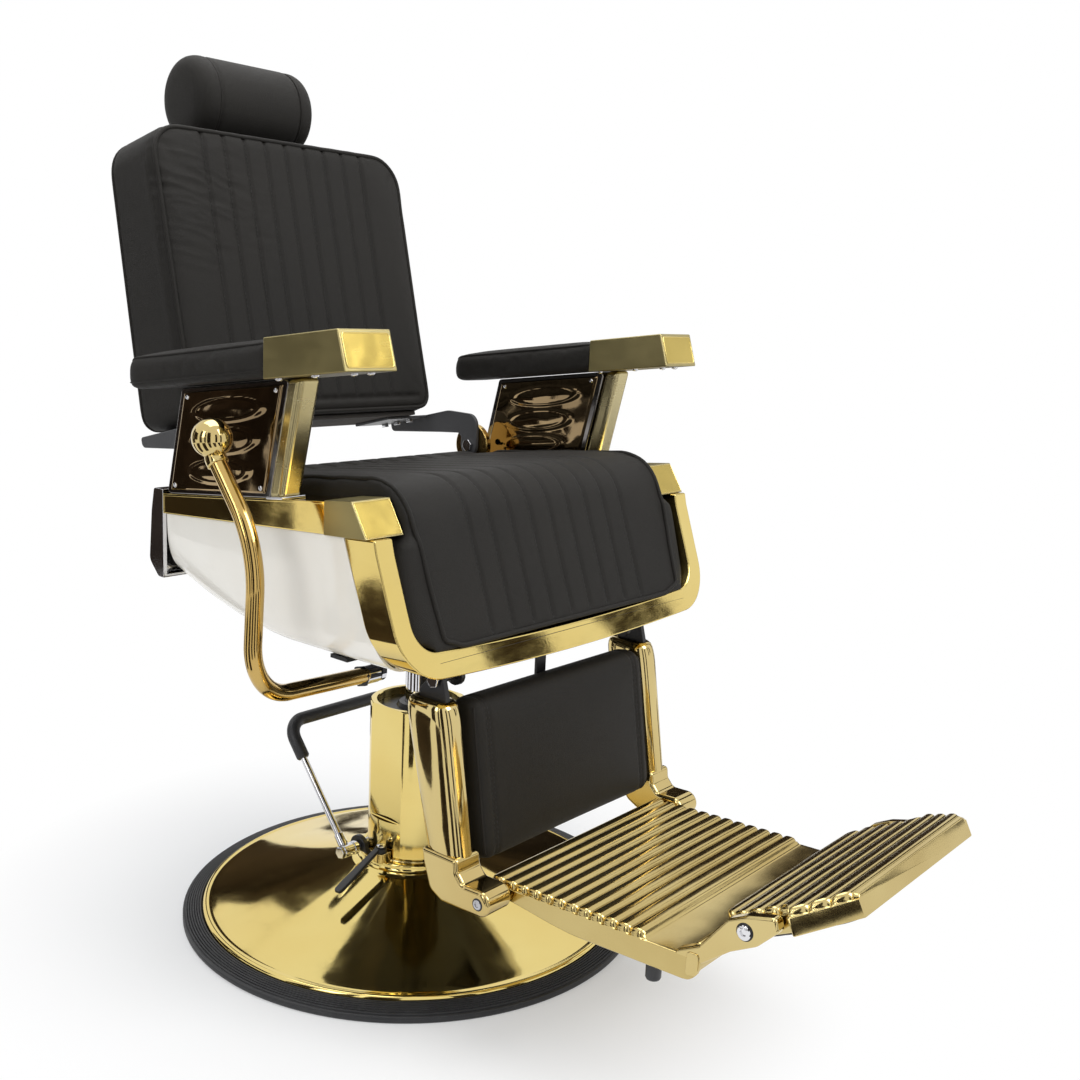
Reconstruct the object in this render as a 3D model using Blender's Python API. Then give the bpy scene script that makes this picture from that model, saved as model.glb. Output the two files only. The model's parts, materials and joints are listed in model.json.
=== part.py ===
"""Hydraulic barber chair: every piece modelled at its real size, in metres.

The chair faces -Y, +X is the side of the sitter's left hand and +Z is up. The origin is on the
column's axis, at the bottom of the base. Pieces that turn or slide are carried by an empty that
lies on their joint's axis.
"""

import math

import bmesh
import bpy
from mathutils import Matrix, Vector

GAP = 0.0003
"""Seating gap between two touching pieces."""
RUN = 0.0010
"""Running clearance beside a piece that turns."""
BASE_STEPS = 48
"""Flats round each large turned piece."""

# Base and column
RING_R = 0.330
RING_INNER_R = 0.288
RING_H = 0.017
PLATE_T = 0.006
DISH_RIM_R = 0.303
DISH_T = 0.003
DISH_TOP_Z = 0.078
COLUMN_R = 0.0686
COLUMN_WALL = 0.004
COLUMN_TOP_Z = 0.312
COLUMN_FLAT_X = 0.061
COLUMN_FLAT_Z = 0.145
COLLAR_R = 0.080
COLLAR_H = 0.012
CYLINDER_R = 0.0260
RAM_R = 0.0190
RAM_FOOT_Z = 0.030
RAM_TRAVEL = 0.180

# Pump lever and swivel lock
PUMP_Y = 0.038
PUMP_Z = 0.096
PUMP_SHAFT_R = 0.0070
PUMP_HALF_WIDTH = 0.100
PUMP_REACH = 0.207
PUMP_ANGLE = math.radians(50.0)
PUMP_ROD_R = 0.0050
PUMP_SLEEVE_R = 0.0100
PUMP_GRIP_R = 0.0095
PUMP_BEND = 0.028
LOCK_X = -0.080
LOCK_Y = -0.013
LOCK_BLOCK_W = 0.018
LOCK_BLOCK_H = 0.014
LOCK_PIN_R = 0.0030
LOCK_LENGTH = 0.090
LOCK_DROP = 0.026

# Seat
RAIL_X = 0.310
RAIL_W = 0.0565
RAIL_REAR_Y = 0.163
RAIL_FRONT_Y = -0.199
RAIL_REAR_TOP_Z = 0.616
RAIL_FRONT_TOP_Z = 0.654
RAIL_REAR_H = 0.026
RAIL_FRONT_H = 0.040
BLOCK_RAKE = 0.025
BLOCK_LENGTH = 0.046
BLOCK_PROUD = 0.0015
SEAT_Z = 0.446
FRAME_TUBE_H = 0.020
FRAME_X = 0.150
OUTRIGGER_X = 0.270
SHELL_T = 0.004
SHELL_TURN = 0.050
SHELL_LOW_Z = 0.457
SHELL_FLAT_Y = -0.060
SHELL_REAR_RISE = 0.048
BAND_TOP_Y = -0.222
BAND_LOW_Y = -0.292
BAND_LOW_Z = 0.458
BAND_DEPTH = 0.055
BAND_T = 0.028
BAND_LIP_H = 0.030
BAND_SAG = 0.006
BAND_CORNER_R = 0.062
REAR_PANEL_T = 0.026
REAR_PANEL_LOW_Z = 0.505
BOARD_T = 0.015
CUSHION_HALF_W = 0.2525
CUSHION_REAR_Y = 0.100
CUSHION_TAIL_HALF_W = 0.232
CUSHION_REAR_TOP_Z = 0.646
CUSHION_FRONT_TOP_Z = 0.678

# Arms
ARM_PAD_X = 0.2995
ARM_PAD_W = 0.075
ARM_PAD_H = 0.046
ARM_REAR_Y = 0.197
ARM_CAP_Y = -0.076
ARM_FRONT_Y = -0.202
ARM_REAR_TOP_Z = 0.792
ARM_SLOPE = 0.128
ARM_FRAME_T = 0.028
ARM_SKIN_T = 0.0030
ARM_POST_D = 0.026
ARM_PANEL_REAR_TOP_Y = 0.121
ARM_PANEL_FRONT_TOP_Y = -0.090
ARM_PANEL_FRONT_LOW_Y = -0.056
ARM_PANEL_REAR_LOW_Y = 0.155

# Back
RECLINE = math.radians(13.8)
BACK_Y = 0.200
BACK_Z = 0.649
BACK_BOTTOM = 0.055
BACK_TOP = 0.467
BACK_W = 0.462
BACK_T = 0.132
BACK_TOP_T = 0.112
HINGE_Y = 0.140
HINGE_Z = 0.650
HINGE_R = 0.034
HINGE_TONGUE_W = 0.036
HINGE_TONGUE_Z = 0.600
HINGE_ARM_X = 0.2360
HINGE_PIN_R = 0.0060
RECLINE_FOOT_X = 0.150
RECLINE_ARM_T = 0.006
HEAD_POST_X = 0.065
HEAD_POST_R = 0.0060
HEAD_POST_DEPTH = 0.170
HEAD_POST_IN = 0.076
HEAD_TRAVEL = 0.090
PILLOW_W = 0.213
PILLOW_ROUND = 0.025
PILLOW_R = 0.0645
PILLOW_RY = 0.0595
PILLOW_Y = 0.420
PILLOW_Z = 1.151

# Recline lever
LEVER_X = -0.370
LEVER_R = 0.0105
LEVER_BALL_R = 0.0235
LEVER_PIVOT_X = -0.130
LEVER_PIVOT_Y = -0.046
LEVER_PIVOT_Z = 0.387
LEVER_LOW_Y = -0.124
LEVER_LOW_Z = 0.447
LEVER_KNEE_Y = -0.109
LEVER_KNEE_Z = 0.596
LEVER_BALL_Y = -0.026
LEVER_BALL_Z = 0.711

# Leg rest
LEG_X = 0.200
LEG_W = 0.044
LEG_EDGE = 0.008
LEG_HINGE_Y = -0.232
LEG_HINGE_Z = 0.436
LEG_PLATE_T = 0.008
LEG_PIN_R = 0.0055
LEG_TOP_Z = 0.402
PAD_TOP_Y = -0.268
PAD_TOP_Z = 0.414
PAD_LOW_Y = -0.299
PAD_LOW_Z = 0.212
PAD_HALF_W = 0.174
PAD_T = 0.042
FOOT_Y = -0.328
FOOT_Z = 0.190
FOOT_BOSS_R = 0.0160
FOOT_ROD_R = 0.0060

# Foot plate and flap
PLATE_SLOPE = math.radians(2.8)
PLATE_HALF_W = 0.175
PLATE_RISE = 0.014
PLATE_LENGTH = 0.275
PLATE_WALL = 0.005
PLATE_RIB_START = -0.024
PLATE_RIBS = 12
PLATE_LIP_H = 0.009
PLATE_SKIRT_H = 0.036
PLATE_SKIRT_START = 0.040
PLATE_POCKET_START = 0.024
FOOT_BARREL_R = 0.0090
PLATE_SKIN = 0.006
RIB_PITCH = 0.0187
RIB_H = 0.0045
FLAP_SLOPE = math.radians(27.0)
FLAP_Y = -0.652
FLAP_Z = 0.261
FLAP_RISE = 0.016
FLAP_BACK = 0.046
FLAP_FRONT = 0.117
FLAP_SKIRT_H = 0.024
FLAP_PAD_T = 0.016
FLAP_NOTCH = 0.044
FLAP_TIP_HALF_W = 0.137
FLAP_PIN_R = 0.0050
ARM_LUG_T = 0.0150
FLAP_REAR_HALF_W = 0.157
FLAP_HALF_W = 0.172
FLAP_RIB_PITCH = 0.0185
BUMPER_X = 0.152
BUMPER_ALONG = 0.203
BUMPER_Z = 0.150
BUMPER_R = 0.009
BUMPER_SEAT = 0.0008


def clear_scene():
    """Remove every object of the startup scene."""
    for thing in list(bpy.data.objects):
        bpy.data.objects.remove(thing, do_unlink=True)


def make_material(name, colour, roughness, metallic):
    """A plain finish: colour, roughness and metallic value."""
    finish = bpy.data.materials.new(name)
    finish.use_nodes = True
    shader = finish.node_tree.nodes["Principled BSDF"]
    shader.inputs["Base Color"].default_value = (*colour, 1.0)
    shader.inputs["Roughness"].default_value = roughness
    shader.inputs["Metallic"].default_value = metallic
    finish.diffuse_color = (*colour, 1.0)
    return finish


def make_finishes():
    """Every finish of the chair, by name."""
    return {
        "gold": make_material("gold", (0.80, 0.58, 0.20), 0.08, 1.0),
        "chrome": make_material("chrome", (0.72, 0.72, 0.74), 0.10, 1.0),
        "dark_chrome": make_material("dark_chrome", (0.32, 0.30, 0.29), 0.12, 1.0),
        "black_steel": make_material("black_steel", (0.03, 0.03, 0.03), 0.45, 0.6),
        "steel": make_material("steel", (0.50, 0.50, 0.52), 0.30, 1.0),
        "rubber": make_material("rubber", (0.025, 0.025, 0.027), 0.70, 0.0),
        "leather": make_material("leather", (0.035, 0.034, 0.033), 0.50, 0.0),
        "pearl": make_material("pearl", (0.86, 0.83, 0.78), 0.15, 0.0),
        "plywood": make_material("plywood", (0.52, 0.38, 0.22), 0.70, 0.0),
    }


def add_mesh(name, mesh, finish):
    """Put a finished bmesh in the scene as one named object."""
    bmesh.ops.recalc_face_normals(mesh, faces=mesh.faces)
    data = bpy.data.meshes.new(name)
    mesh.to_mesh(data)
    mesh.free()
    data.materials.append(finish)
    data.shade_smooth()
    data.set_sharp_from_angle(angle=math.radians(35))
    thing = bpy.data.objects.new(name, data)
    bpy.context.scene.collection.objects.link(thing)
    return thing


def add_joint(name, place, parent=None):
    """An empty on a joint's axis, which carries the pieces that move there."""
    joint = bpy.data.objects.new(name, None)
    bpy.context.scene.collection.objects.link(joint)
    offset = Vector(place)
    joint["place"] = tuple(place)
    if parent is not None:
        joint.parent = parent
        offset = offset - Vector(parent["place"])
    joint.location = offset
    return joint


def carry(thing, joint):
    """Hang a piece, modelled in place, on a joint's empty without moving it."""
    thing.data.transform(Matrix.Translation(-Vector(joint["place"])))
    thing.parent = joint
    return thing


def arc(centre, radius, start, stop, steps):
    """Points of an arc in a plane, from one angle to another, both ends included."""
    turn = (stop - start) / steps
    angles = [start + turn * step for step in range(steps + 1)]
    return [(centre[0] + radius * math.cos(a), centre[1] + radius * math.sin(a)) for a in angles]


def rounded(points, radius, steps=4):
    """The same closed outline with each corner rounded, by one radius or by one for each corner."""
    outline = []
    count = len(points)
    radii = radius if isinstance(radius, (list, tuple)) else [radius] * count
    for index, corner in enumerate(points):
        here = Vector(corner)
        before = Vector(points[index - 1]) - here
        after = Vector(points[(index + 1) % count]) - here
        half = before.angle(after) / 2
        reach = radii[index] / math.tan(half)
        reach = min(reach, before.length * 0.49, after.length * 0.49)
        if reach < 1e-5:
            outline.append(tuple(here))
            continue
        first = here + before.normalized() * reach
        last = here + after.normalized() * reach
        for step in range(steps + 1):
            t = step / steps
            outline.append(tuple(first * (1 - t) ** 2 + here * 2 * t * (1 - t) + last * t ** 2))
    return outline


def loft(rings):
    """A closed solid through rings of points, each with as many points as the next."""
    mesh = bmesh.new()
    rows = [[mesh.verts.new(point) for point in ring] for ring in rings]
    for low, high in zip(rows, rows[1:]):
        for index in range(len(low)):
            after = (index + 1) % len(low)
            mesh.faces.new((low[index], low[after], high[after], high[index]))
    mesh.faces.new(list(reversed(rows[0])))
    mesh.faces.new(rows[-1])
    return mesh


def prism_x(outline, x_low, x_high):
    """An outline in (y, z) extruded from one x to another."""
    return loft([[(x, y, z) for y, z in outline] for x in (x_low, x_high)])


def shrunk(outline, amount):
    """The same outline with each point moved inwards, square to its two neighbouring edges."""
    area = sum(a[0] * b[1] - b[0] * a[1] for a, b in zip(outline, outline[1:] + outline[:1]))
    turn = 1.0 if area > 0 else -1.0
    points = []
    for index, corner in enumerate(outline):
        before = Vector(corner) - Vector(outline[index - 1])
        after = Vector(outline[(index + 1) % len(outline)]) - Vector(corner)
        first = Vector((-before.y, before.x)).normalized() * turn
        second = Vector((-after.y, after.x)).normalized() * turn
        inward = (first + second).normalized()
        points.append(tuple(Vector(corner) + inward * amount / max(inward.dot(first), 0.5)))
    return points


def soft_prism_x(outline, x_low, x_high, edge):
    """An outline in (y, z) extruded along x, with its rims rounded."""
    rings = []
    for x, inset in ((x_low, 1.0), (x_low + edge * 0.293, 0.293), (x_low + edge, 0.0),
                     (x_high - edge, 0.0), (x_high - edge * 0.293, 0.293), (x_high, 1.0)):
        rings.append([(x, y, z) for y, z in shrunk(outline, edge * inset)])
    return loft(rings)


def prism_z(outline, z_low, z_high):
    """An outline in (x, y) extruded from one height to another."""
    return loft([[(x, y, z) for x, y in outline] for z in (z_low, z_high)])


def turned(profile, steps, centre=(0.0, 0.0)):
    """A solid of revolution about a vertical axis, from a closed profile of (radius, z)."""
    mesh = bmesh.new()
    turns = [math.tau * step / steps for step in range(steps)]
    rows = []
    for radius, z in profile:
        if radius < 1e-6:
            rows.append([mesh.verts.new((centre[0], centre[1], z))])
            continue
        rows.append([mesh.verts.new((centre[0] + radius * math.cos(a),
                                     centre[1] + radius * math.sin(a), z)) for a in turns])
    for index in range(len(rows)):
        low = rows[index]
        high = rows[(index + 1) % len(rows)]
        if len(low) == 1 and len(high) == 1:
            continue
        for step in range(steps):
            after = (step + 1) % steps
            corners = [low[step % len(low)], low[after % len(low)]]
            corners += [high[after % len(high)], high[step % len(high)]]
            mesh.faces.new(list(dict.fromkeys(corners)))
    return mesh


def rod(start, end, radius, steps=16):
    """A round bar between two points."""
    first = Vector(start)
    along = Vector(end) - first
    side = along.orthogonal().normalized() * radius
    other = along.normalized().cross(side)
    rings = []
    for centre in (first, first + along):
        turns = [math.tau * step / steps for step in range(steps)]
        rings.append([centre + side * math.cos(a) + other * math.sin(a) for a in turns])
    return loft(rings)


def bent_tube(points, radius, bend, steps=10, bend_steps=4):
    """A round bar along a path whose corners are bent to one radius."""
    path = [Vector(points[0])]
    for before, corner, after in zip(points, points[1:], points[2:]):
        here = Vector(corner)
        back = Vector(before) - here
        ahead = Vector(after) - here
        reach = min(bend / math.tan(back.angle(ahead) / 2), back.length * 0.49, ahead.length * 0.49)
        first = here + back.normalized() * reach
        last = here + ahead.normalized() * reach
        for step in range(bend_steps + 1):
            t = step / bend_steps
            path.append(first * (1 - t) ** 2 + here * 2 * t * (1 - t) + last * t ** 2)
    path.append(Vector(points[-1]))
    tangents = [(path[1] - path[0]).normalized()]
    tangents += [(c - a).normalized() for a, c in zip(path, path[2:])]
    tangents.append((path[-1] - path[-2]).normalized())
    side = tangents[0].orthogonal().normalized()
    rings = []
    for centre, tangent in zip(path, tangents):
        side = (side - tangent * side.dot(tangent)).normalized()
        other = tangent.cross(side)
        turns = [math.tau * step / steps for step in range(steps)]
        rings.append([centre + (side * math.cos(a) + other * math.sin(a)) * radius for a in turns])
    return loft(rings)


def block(low, high):
    """A square-edged block between two corners."""
    outline = [(low[0], low[1]), (high[0], low[1]), (high[0], high[1]), (low[0], high[1])]
    return prism_z(outline, low[2], high[2])


def cut(thing, mesh, operation="DIFFERENCE"):
    """Cut a shape from a piece, or weld it on with the operation UNION."""
    cutter = add_mesh(thing.name + "_tool", mesh, thing.data.materials[0])
    cutter.hide_render = True
    cutter.display_type = "WIRE"
    step = thing.modifiers.new(operation.lower(), "BOOLEAN")
    step.operation = operation
    step.solver = "EXACT"
    step.object = cutter
    return thing


def weld(thing, mesh):
    """Weld a shape onto a piece."""
    return cut(thing, mesh, "UNION")


def round_edges(thing, width, segments=2):
    """Break the sharp edges of a piece."""
    step = thing.modifiers.new("edges", "BEVEL")
    step.width = width
    step.segments = segments
    step.limit_method = "ANGLE"
    step.angle_limit = math.radians(40)
    return thing


def sides():
    """The chair's two sides: the name's ending and the sign of x."""
    return (("right", -1.0), ("left", 1.0))


def build_base(finishes):
    """Floor ring, base plate, dish, column and the hydraulic cylinder inside it."""
    ridge = 0.0012
    groove = (RING_R - DISH_RIM_R) / 5
    top = [(RING_R - groove * (step + 0.5), RING_H - (ridge if step % 2 else 0.0) - 0.001 * (4 - step) / 4)
           for step in range(4)]
    profile = [(RING_R - 0.002, 0.0), (RING_R, 0.003), (RING_R, RING_H - 0.005)] + top
    profile += [(DISH_RIM_R + 0.001, RING_H - 0.002), (DISH_RIM_R + 0.001, 0.009)]
    profile += [(RING_INNER_R, 0.009), (RING_INNER_R, 0.0)]
    add_mesh("trim_ring", turned(profile, BASE_STEPS), finishes["rubber"])

    plate_r = RING_INNER_R - GAP
    plate = [(0.0, 0.0), (0.0, PLATE_T), (plate_r, PLATE_T), (plate_r, 0.0)]
    add_mesh("base_plate", turned(plate, BASE_STEPS), finishes["black_steel"])

    low = 0.009 + GAP
    span = DISH_RIM_R - COLLAR_R
    slope = [(DISH_RIM_R - span * t, low + 0.013 + (DISH_TOP_Z - low - 0.013) * (0.80 * t + 0.20 * t * t))
             for t in (0.06, 0.3, 0.6, 0.85, 1.0)]
    rim = [(DISH_RIM_R - 0.004, low), (DISH_RIM_R, low + 0.004), (DISH_RIM_R, low + 0.009),
           (DISH_RIM_R - 0.004, low + 0.013)]
    bore_r = COLUMN_R + GAP
    collar = [(COLLAR_R, DISH_TOP_Z + COLLAR_H * 0.6), (COLLAR_R - 0.004, DISH_TOP_Z + COLLAR_H),
              (bore_r, DISH_TOP_Z + COLLAR_H)]
    outside = rim + slope + collar
    inside = [(bore_r, DISH_TOP_Z - DISH_T)] + [(r, z - DISH_T) for r, z in reversed(slope)]
    inside += [(DISH_RIM_R - 0.016, low)]
    dish = add_mesh("base_dish", turned(outside + inside, BASE_STEPS), finishes["gold"])
    pump_hole = PUMP_SHAFT_R + RUN
    cut(dish, rod((-0.1, PUMP_Y, PUMP_Z), (0.1, PUMP_Y, PUMP_Z), pump_hole))

    foot = PLATE_T + GAP
    inner = COLUMN_R - COLUMN_WALL
    wall = [(COLUMN_R, foot), (COLUMN_R, COLUMN_TOP_Z - 0.002), (COLUMN_R - 0.002, COLUMN_TOP_Z),
            (inner - 0.006, COLUMN_TOP_Z), (inner - 0.006, foot)]
    column = add_mesh("column_shroud", turned(wall, BASE_STEPS), finishes["gold"])
    for name, side in sides():
        near = sorted((side * COLUMN_FLAT_X, side * (COLUMN_R + 0.02)))
        cut(column, block((near[0], -COLUMN_R, COLUMN_FLAT_Z), (near[1], COLUMN_R, COLUMN_TOP_Z + 0.01)))
    cut(column, rod((-0.1, PUMP_Y, PUMP_Z), (0.1, PUMP_Y, PUMP_Z), pump_hole))

    ram_hole = RAM_R + 0.0005
    tank = [(CYLINDER_R, foot), (CYLINDER_R, COLUMN_TOP_Z - 0.020), (ram_hole, COLUMN_TOP_Z - 0.020),
            (ram_hole, RAM_FOOT_Z - 0.010), (0.0, RAM_FOOT_Z - 0.010), (0.0, foot)]
    add_mesh("hydraulic_cylinder", turned(tank, 32), finishes["steel"])
    cap_r = inner - 0.006 - GAP
    cap_low = COLUMN_TOP_Z - 0.020 + GAP
    cap = [(ram_hole, cap_low), (cap_r, cap_low), (cap_r, cap_low + 0.008), (ram_hole + 0.012, cap_low + 0.010),
           (ram_hole + 0.008, cap_low + 0.016), (ram_hole, cap_low + 0.016)]
    add_mesh("column_cap", turned(cap, 40), finishes["black_steel"])


def build_pump(finishes, joint):
    """Cross shaft in the column's foot, its two bearings, the U-shaped pump lever and its grip."""
    for name, side in sides():
        reach = sorted((side * (COLUMN_R + 0.0015), side * (COLUMN_R + 0.0095)))
        outline = arc((PUMP_Y, PUMP_Z), 0.016, 0.0, math.pi, 10)
        outline += [(PUMP_Y - 0.020, DISH_TOP_Z + COLLAR_H + GAP), (PUMP_Y + 0.020, DISH_TOP_Z + COLLAR_H + GAP)]
        ear = add_mesh("pump_bearing_" + name, prism_x(outline, *reach), finishes["black_steel"])
        cut(ear, rod((reach[0] - 0.01, PUMP_Y, PUMP_Z), (reach[1] + 0.01, PUMP_Y, PUMP_Z), PUMP_SHAFT_R + 0.0005))

    end = PUMP_HALF_WIDTH + 0.008
    shaft = add_mesh("pump_shaft", rod((-end, PUMP_Y, PUMP_Z), (end, PUMP_Y, PUMP_Z), PUMP_SHAFT_R),
                     finishes["steel"])
    up = Vector((0.0, math.cos(PUMP_ANGLE), math.sin(PUMP_ANGLE)))
    pivot = Vector((0.0, PUMP_Y, PUMP_Z))
    bow = pivot + up * PUMP_REACH
    right = Vector((-PUMP_HALF_WIDTH, 0.0, 0.0))
    left = Vector((PUMP_HALF_WIDTH, 0.0, 0.0))
    root = up * (PUMP_SLEEVE_R - 0.002)
    bail = [pivot + root + right, bow + right, bow + left, pivot + root + left]
    lever = add_mesh("pump_lever", bent_tube(bail, PUMP_ROD_R, PUMP_BEND), finishes["chrome"])
    for name, side in sides():
        inner = sorted((side * (COLUMN_R + 0.012), side * (PUMP_HALF_WIDTH + 0.007)))
        weld(lever, rod((inner[0], PUMP_Y, PUMP_Z), (inner[1], PUMP_Y, PUMP_Z), PUMP_SLEEVE_R))
        cut(lever, rod((inner[0] - 0.01, PUMP_Y, PUMP_Z), (inner[1] + 0.01, PUMP_Y, PUMP_Z), PUMP_SHAFT_R + GAP))
    carry(lever, joint)
    sleeve_start = up * (PUMP_REACH - PUMP_BEND * 2.1)
    cover = [pivot + sleeve_start + right, bow + right, bow + left, pivot + sleeve_start + left]
    grip = add_mesh("pump_grip", bent_tube(cover, PUMP_GRIP_R, PUMP_BEND), finishes["rubber"])
    cut(grip, bent_tube([cover[0] - up * 0.01, *cover[1:3], cover[3] - up * 0.01], PUMP_ROD_R + 2 * GAP, PUMP_BEND))
    carry(grip, joint)
    carry(shaft, joint)


def build_lock(finishes, joint):
    """Small swivel lock lever on an upright pin, which stands on a block beside the column's foot."""
    low = DISH_TOP_Z + COLLAR_H + 2 * GAP
    top = low + LOCK_BLOCK_H
    inner = -math.sqrt(COLUMN_R ** 2 - (abs(LOCK_Y) - LOCK_BLOCK_W / 2) ** 2) - GAP
    boss = block((LOCK_X - 0.008, LOCK_Y - LOCK_BLOCK_W / 2, low), (inner, LOCK_Y + LOCK_BLOCK_W / 2, top))
    stand = add_mesh("lock_block", boss, finishes["steel"])
    weld(stand, rod((LOCK_X, LOCK_Y, top - 0.002), (LOCK_X, LOCK_Y, top + 0.011), LOCK_PIN_R, 12))

    floor = top + GAP
    hub = [(LOCK_PIN_R + 0.0005, floor), (0.0085, floor), (0.0085, floor + 0.007),
           (LOCK_PIN_R + 0.0005, floor + 0.007)]
    lever = add_mesh("lock_lever", turned(hub, 20, (LOCK_X, LOCK_Y)), finishes["black_steel"])
    root = Vector((LOCK_X - 0.0065, LOCK_Y, floor + 0.0045))
    tip = Vector((LOCK_X - LOCK_LENGTH, LOCK_Y - 0.011, floor - LOCK_DROP))
    side = (tip - root).cross(Vector((0.0, 0.0, 1.0))).normalized()
    rise = side.cross(tip - root).normalized() * 0.0026
    rings = []
    for centre, half in ((root, 0.0045), (root.lerp(tip, 0.15), 0.0045), (root.lerp(tip, 0.5), 0.0055),
                         (root.lerp(tip, 0.93), 0.0065), (tip, 0.0045)):
        wide = side * half
        rings.append([centre + wide + rise, centre - wide + rise, centre - wide - rise, centre + wide - rise])
    weld(lever, loft(rings))
    carry(lever, joint)


def build_ram(finishes, joint):
    """Hydraulic ram with the tapered seat for the swivel head on its top."""
    top = SEAT_Z - 0.012
    profile = [(0.0, RAM_FOOT_Z), (0.0, top + 0.020), (RAM_R - 0.003, top + 0.020), (RAM_R - 0.003, top),
               (RAM_R, top - 0.002), (RAM_R, RAM_FOOT_Z)]
    carry(add_mesh("hydraulic_ram", turned(profile, 32), finishes["steel"]), joint)


def rail_top(y):
    """Height of the rails' upper edge at y: the seat rises towards the front."""
    share = (RAIL_REAR_Y - y) / (RAIL_REAR_Y - RAIL_FRONT_Y)
    return RAIL_REAR_TOP_Z + (RAIL_FRONT_TOP_Z - RAIL_REAR_TOP_Z) * share


def rail_bottom(y):
    """Height of the rails' lower edge at y."""
    share = (RAIL_REAR_Y - y) / (RAIL_REAR_Y - RAIL_FRONT_Y)
    return rail_top(y) - (RAIL_REAR_H + (RAIL_FRONT_H - RAIL_REAR_H) * share)


def build_seat_frame(finishes, joint):
    """Swivel head on the ram, welded steel seat frame with the hangers of the leg rest, and the board."""
    head_low = SEAT_Z - 0.014 + GAP + 0.002
    bore = RAM_R - 0.003 + 0.0004
    head = [(bore, head_low), (0.034, head_low), (0.034, SEAT_Z - GAP), (bore, SEAT_Z - GAP)]
    carry(add_mesh("swivel_head", turned(head, 32), finishes["black_steel"]), joint)

    top = SEAT_Z + FRAME_TUBE_H
    rear = RAIL_REAR_Y - 0.020
    front = LEG_HINGE_Y + 0.050
    frame = add_mesh("seat_frame", block((-FRAME_X, -0.060, SEAT_Z), (FRAME_X, 0.070, SEAT_Z + 0.010)),
                     finishes["black_steel"])
    hang_y = LEG_HINGE_Y
    hang_z = LEG_HINGE_Z
    for name, side in sides():
        beam = sorted((side * (FRAME_X - 0.002), side * (FRAME_X + 0.024)))
        weld(frame, block((beam[0], front, SEAT_Z), (beam[1], rear, top)))
        outline = [(front + 0.010, SEAT_Z + 0.001), (front + 0.010, top - 0.001)]
        outline += [(hang_y + 0.006, top - 0.001)] + arc((hang_y, hang_z), 0.013, math.pi * 0.75, math.pi * 1.6, 6)
        plate = sorted((side * (FRAME_X + 0.016), side * (FRAME_X + 0.0225)))
        weld(frame, prism_x(outline, *plate))
        pin = sorted((side * (FRAME_X + 0.020), side * (LEG_X - LEG_PLATE_T / 2 + LEG_PLATE_T + 0.001)))
        weld(frame, rod((pin[0], hang_y, hang_z), (pin[1], hang_y, hang_z), LEG_PIN_R, 12))
    arm_y = SHELL_FLAT_Y - 0.075
    weld(frame, block((-OUTRIGGER_X, arm_y - 0.015, SEAT_Z + 0.006), (OUTRIGGER_X, arm_y + 0.015, SHELL_LOW_Z - GAP)))
    bore_hole = turned([(0.0, SEAT_Z - 0.005), (0.0, SEAT_Z + 0.009), (RAM_R - 0.002, SEAT_Z + 0.009),
                        (RAM_R - 0.002, SEAT_Z - 0.005)], 24)
    cut(frame, bore_hole)
    carry(frame, joint)


def shell_section(y, low):
    """Cross-section of the side shell at y, from the rail down and round to the inside."""
    high = rail_bottom(y) - GAP * 2
    depth = high - low
    outer = RAIL_X - 0.004
    points = [(outer, high), (outer - 0.001, high - depth * 0.35), (outer - 0.008, high - depth * 0.68),
              (outer - 0.022, high - depth * 0.88), (outer - SHELL_TURN, low)]
    inner = [(outer - SHELL_TURN, low + SHELL_T), (outer - 0.024, high - depth * 0.88 + SHELL_T * 0.8),
             (outer - 0.008 - SHELL_T, high - depth * 0.66), (outer - 0.001 - SHELL_T, high - depth * 0.35),
             (outer - SHELL_T, high)]
    return points + inner


def shell_low(y):
    """Height of the side shell's lower edge at y: a shallow bow that rises to the rear."""
    if y > SHELL_FLAT_Y:
        rise = (y - SHELL_FLAT_Y) / (RAIL_REAR_Y - SHELL_FLAT_Y)
        return SHELL_LOW_Z + SHELL_REAR_RISE * rise ** 1.8
    ahead = (SHELL_FLAT_Y - y) / (SHELL_FLAT_Y - BAND_LOW_Y)
    return SHELL_LOW_Z + 0.006 * ahead ** 2


def band_front(z):
    """Front edge of the U-shaped band's side face at a height z."""
    share = (rail_top(RAIL_FRONT_Y) - z) / (rail_top(RAIL_FRONT_Y) - BAND_LOW_Z)
    return BAND_TOP_Y + (BAND_LOW_Y - BAND_TOP_Y) * share


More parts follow.
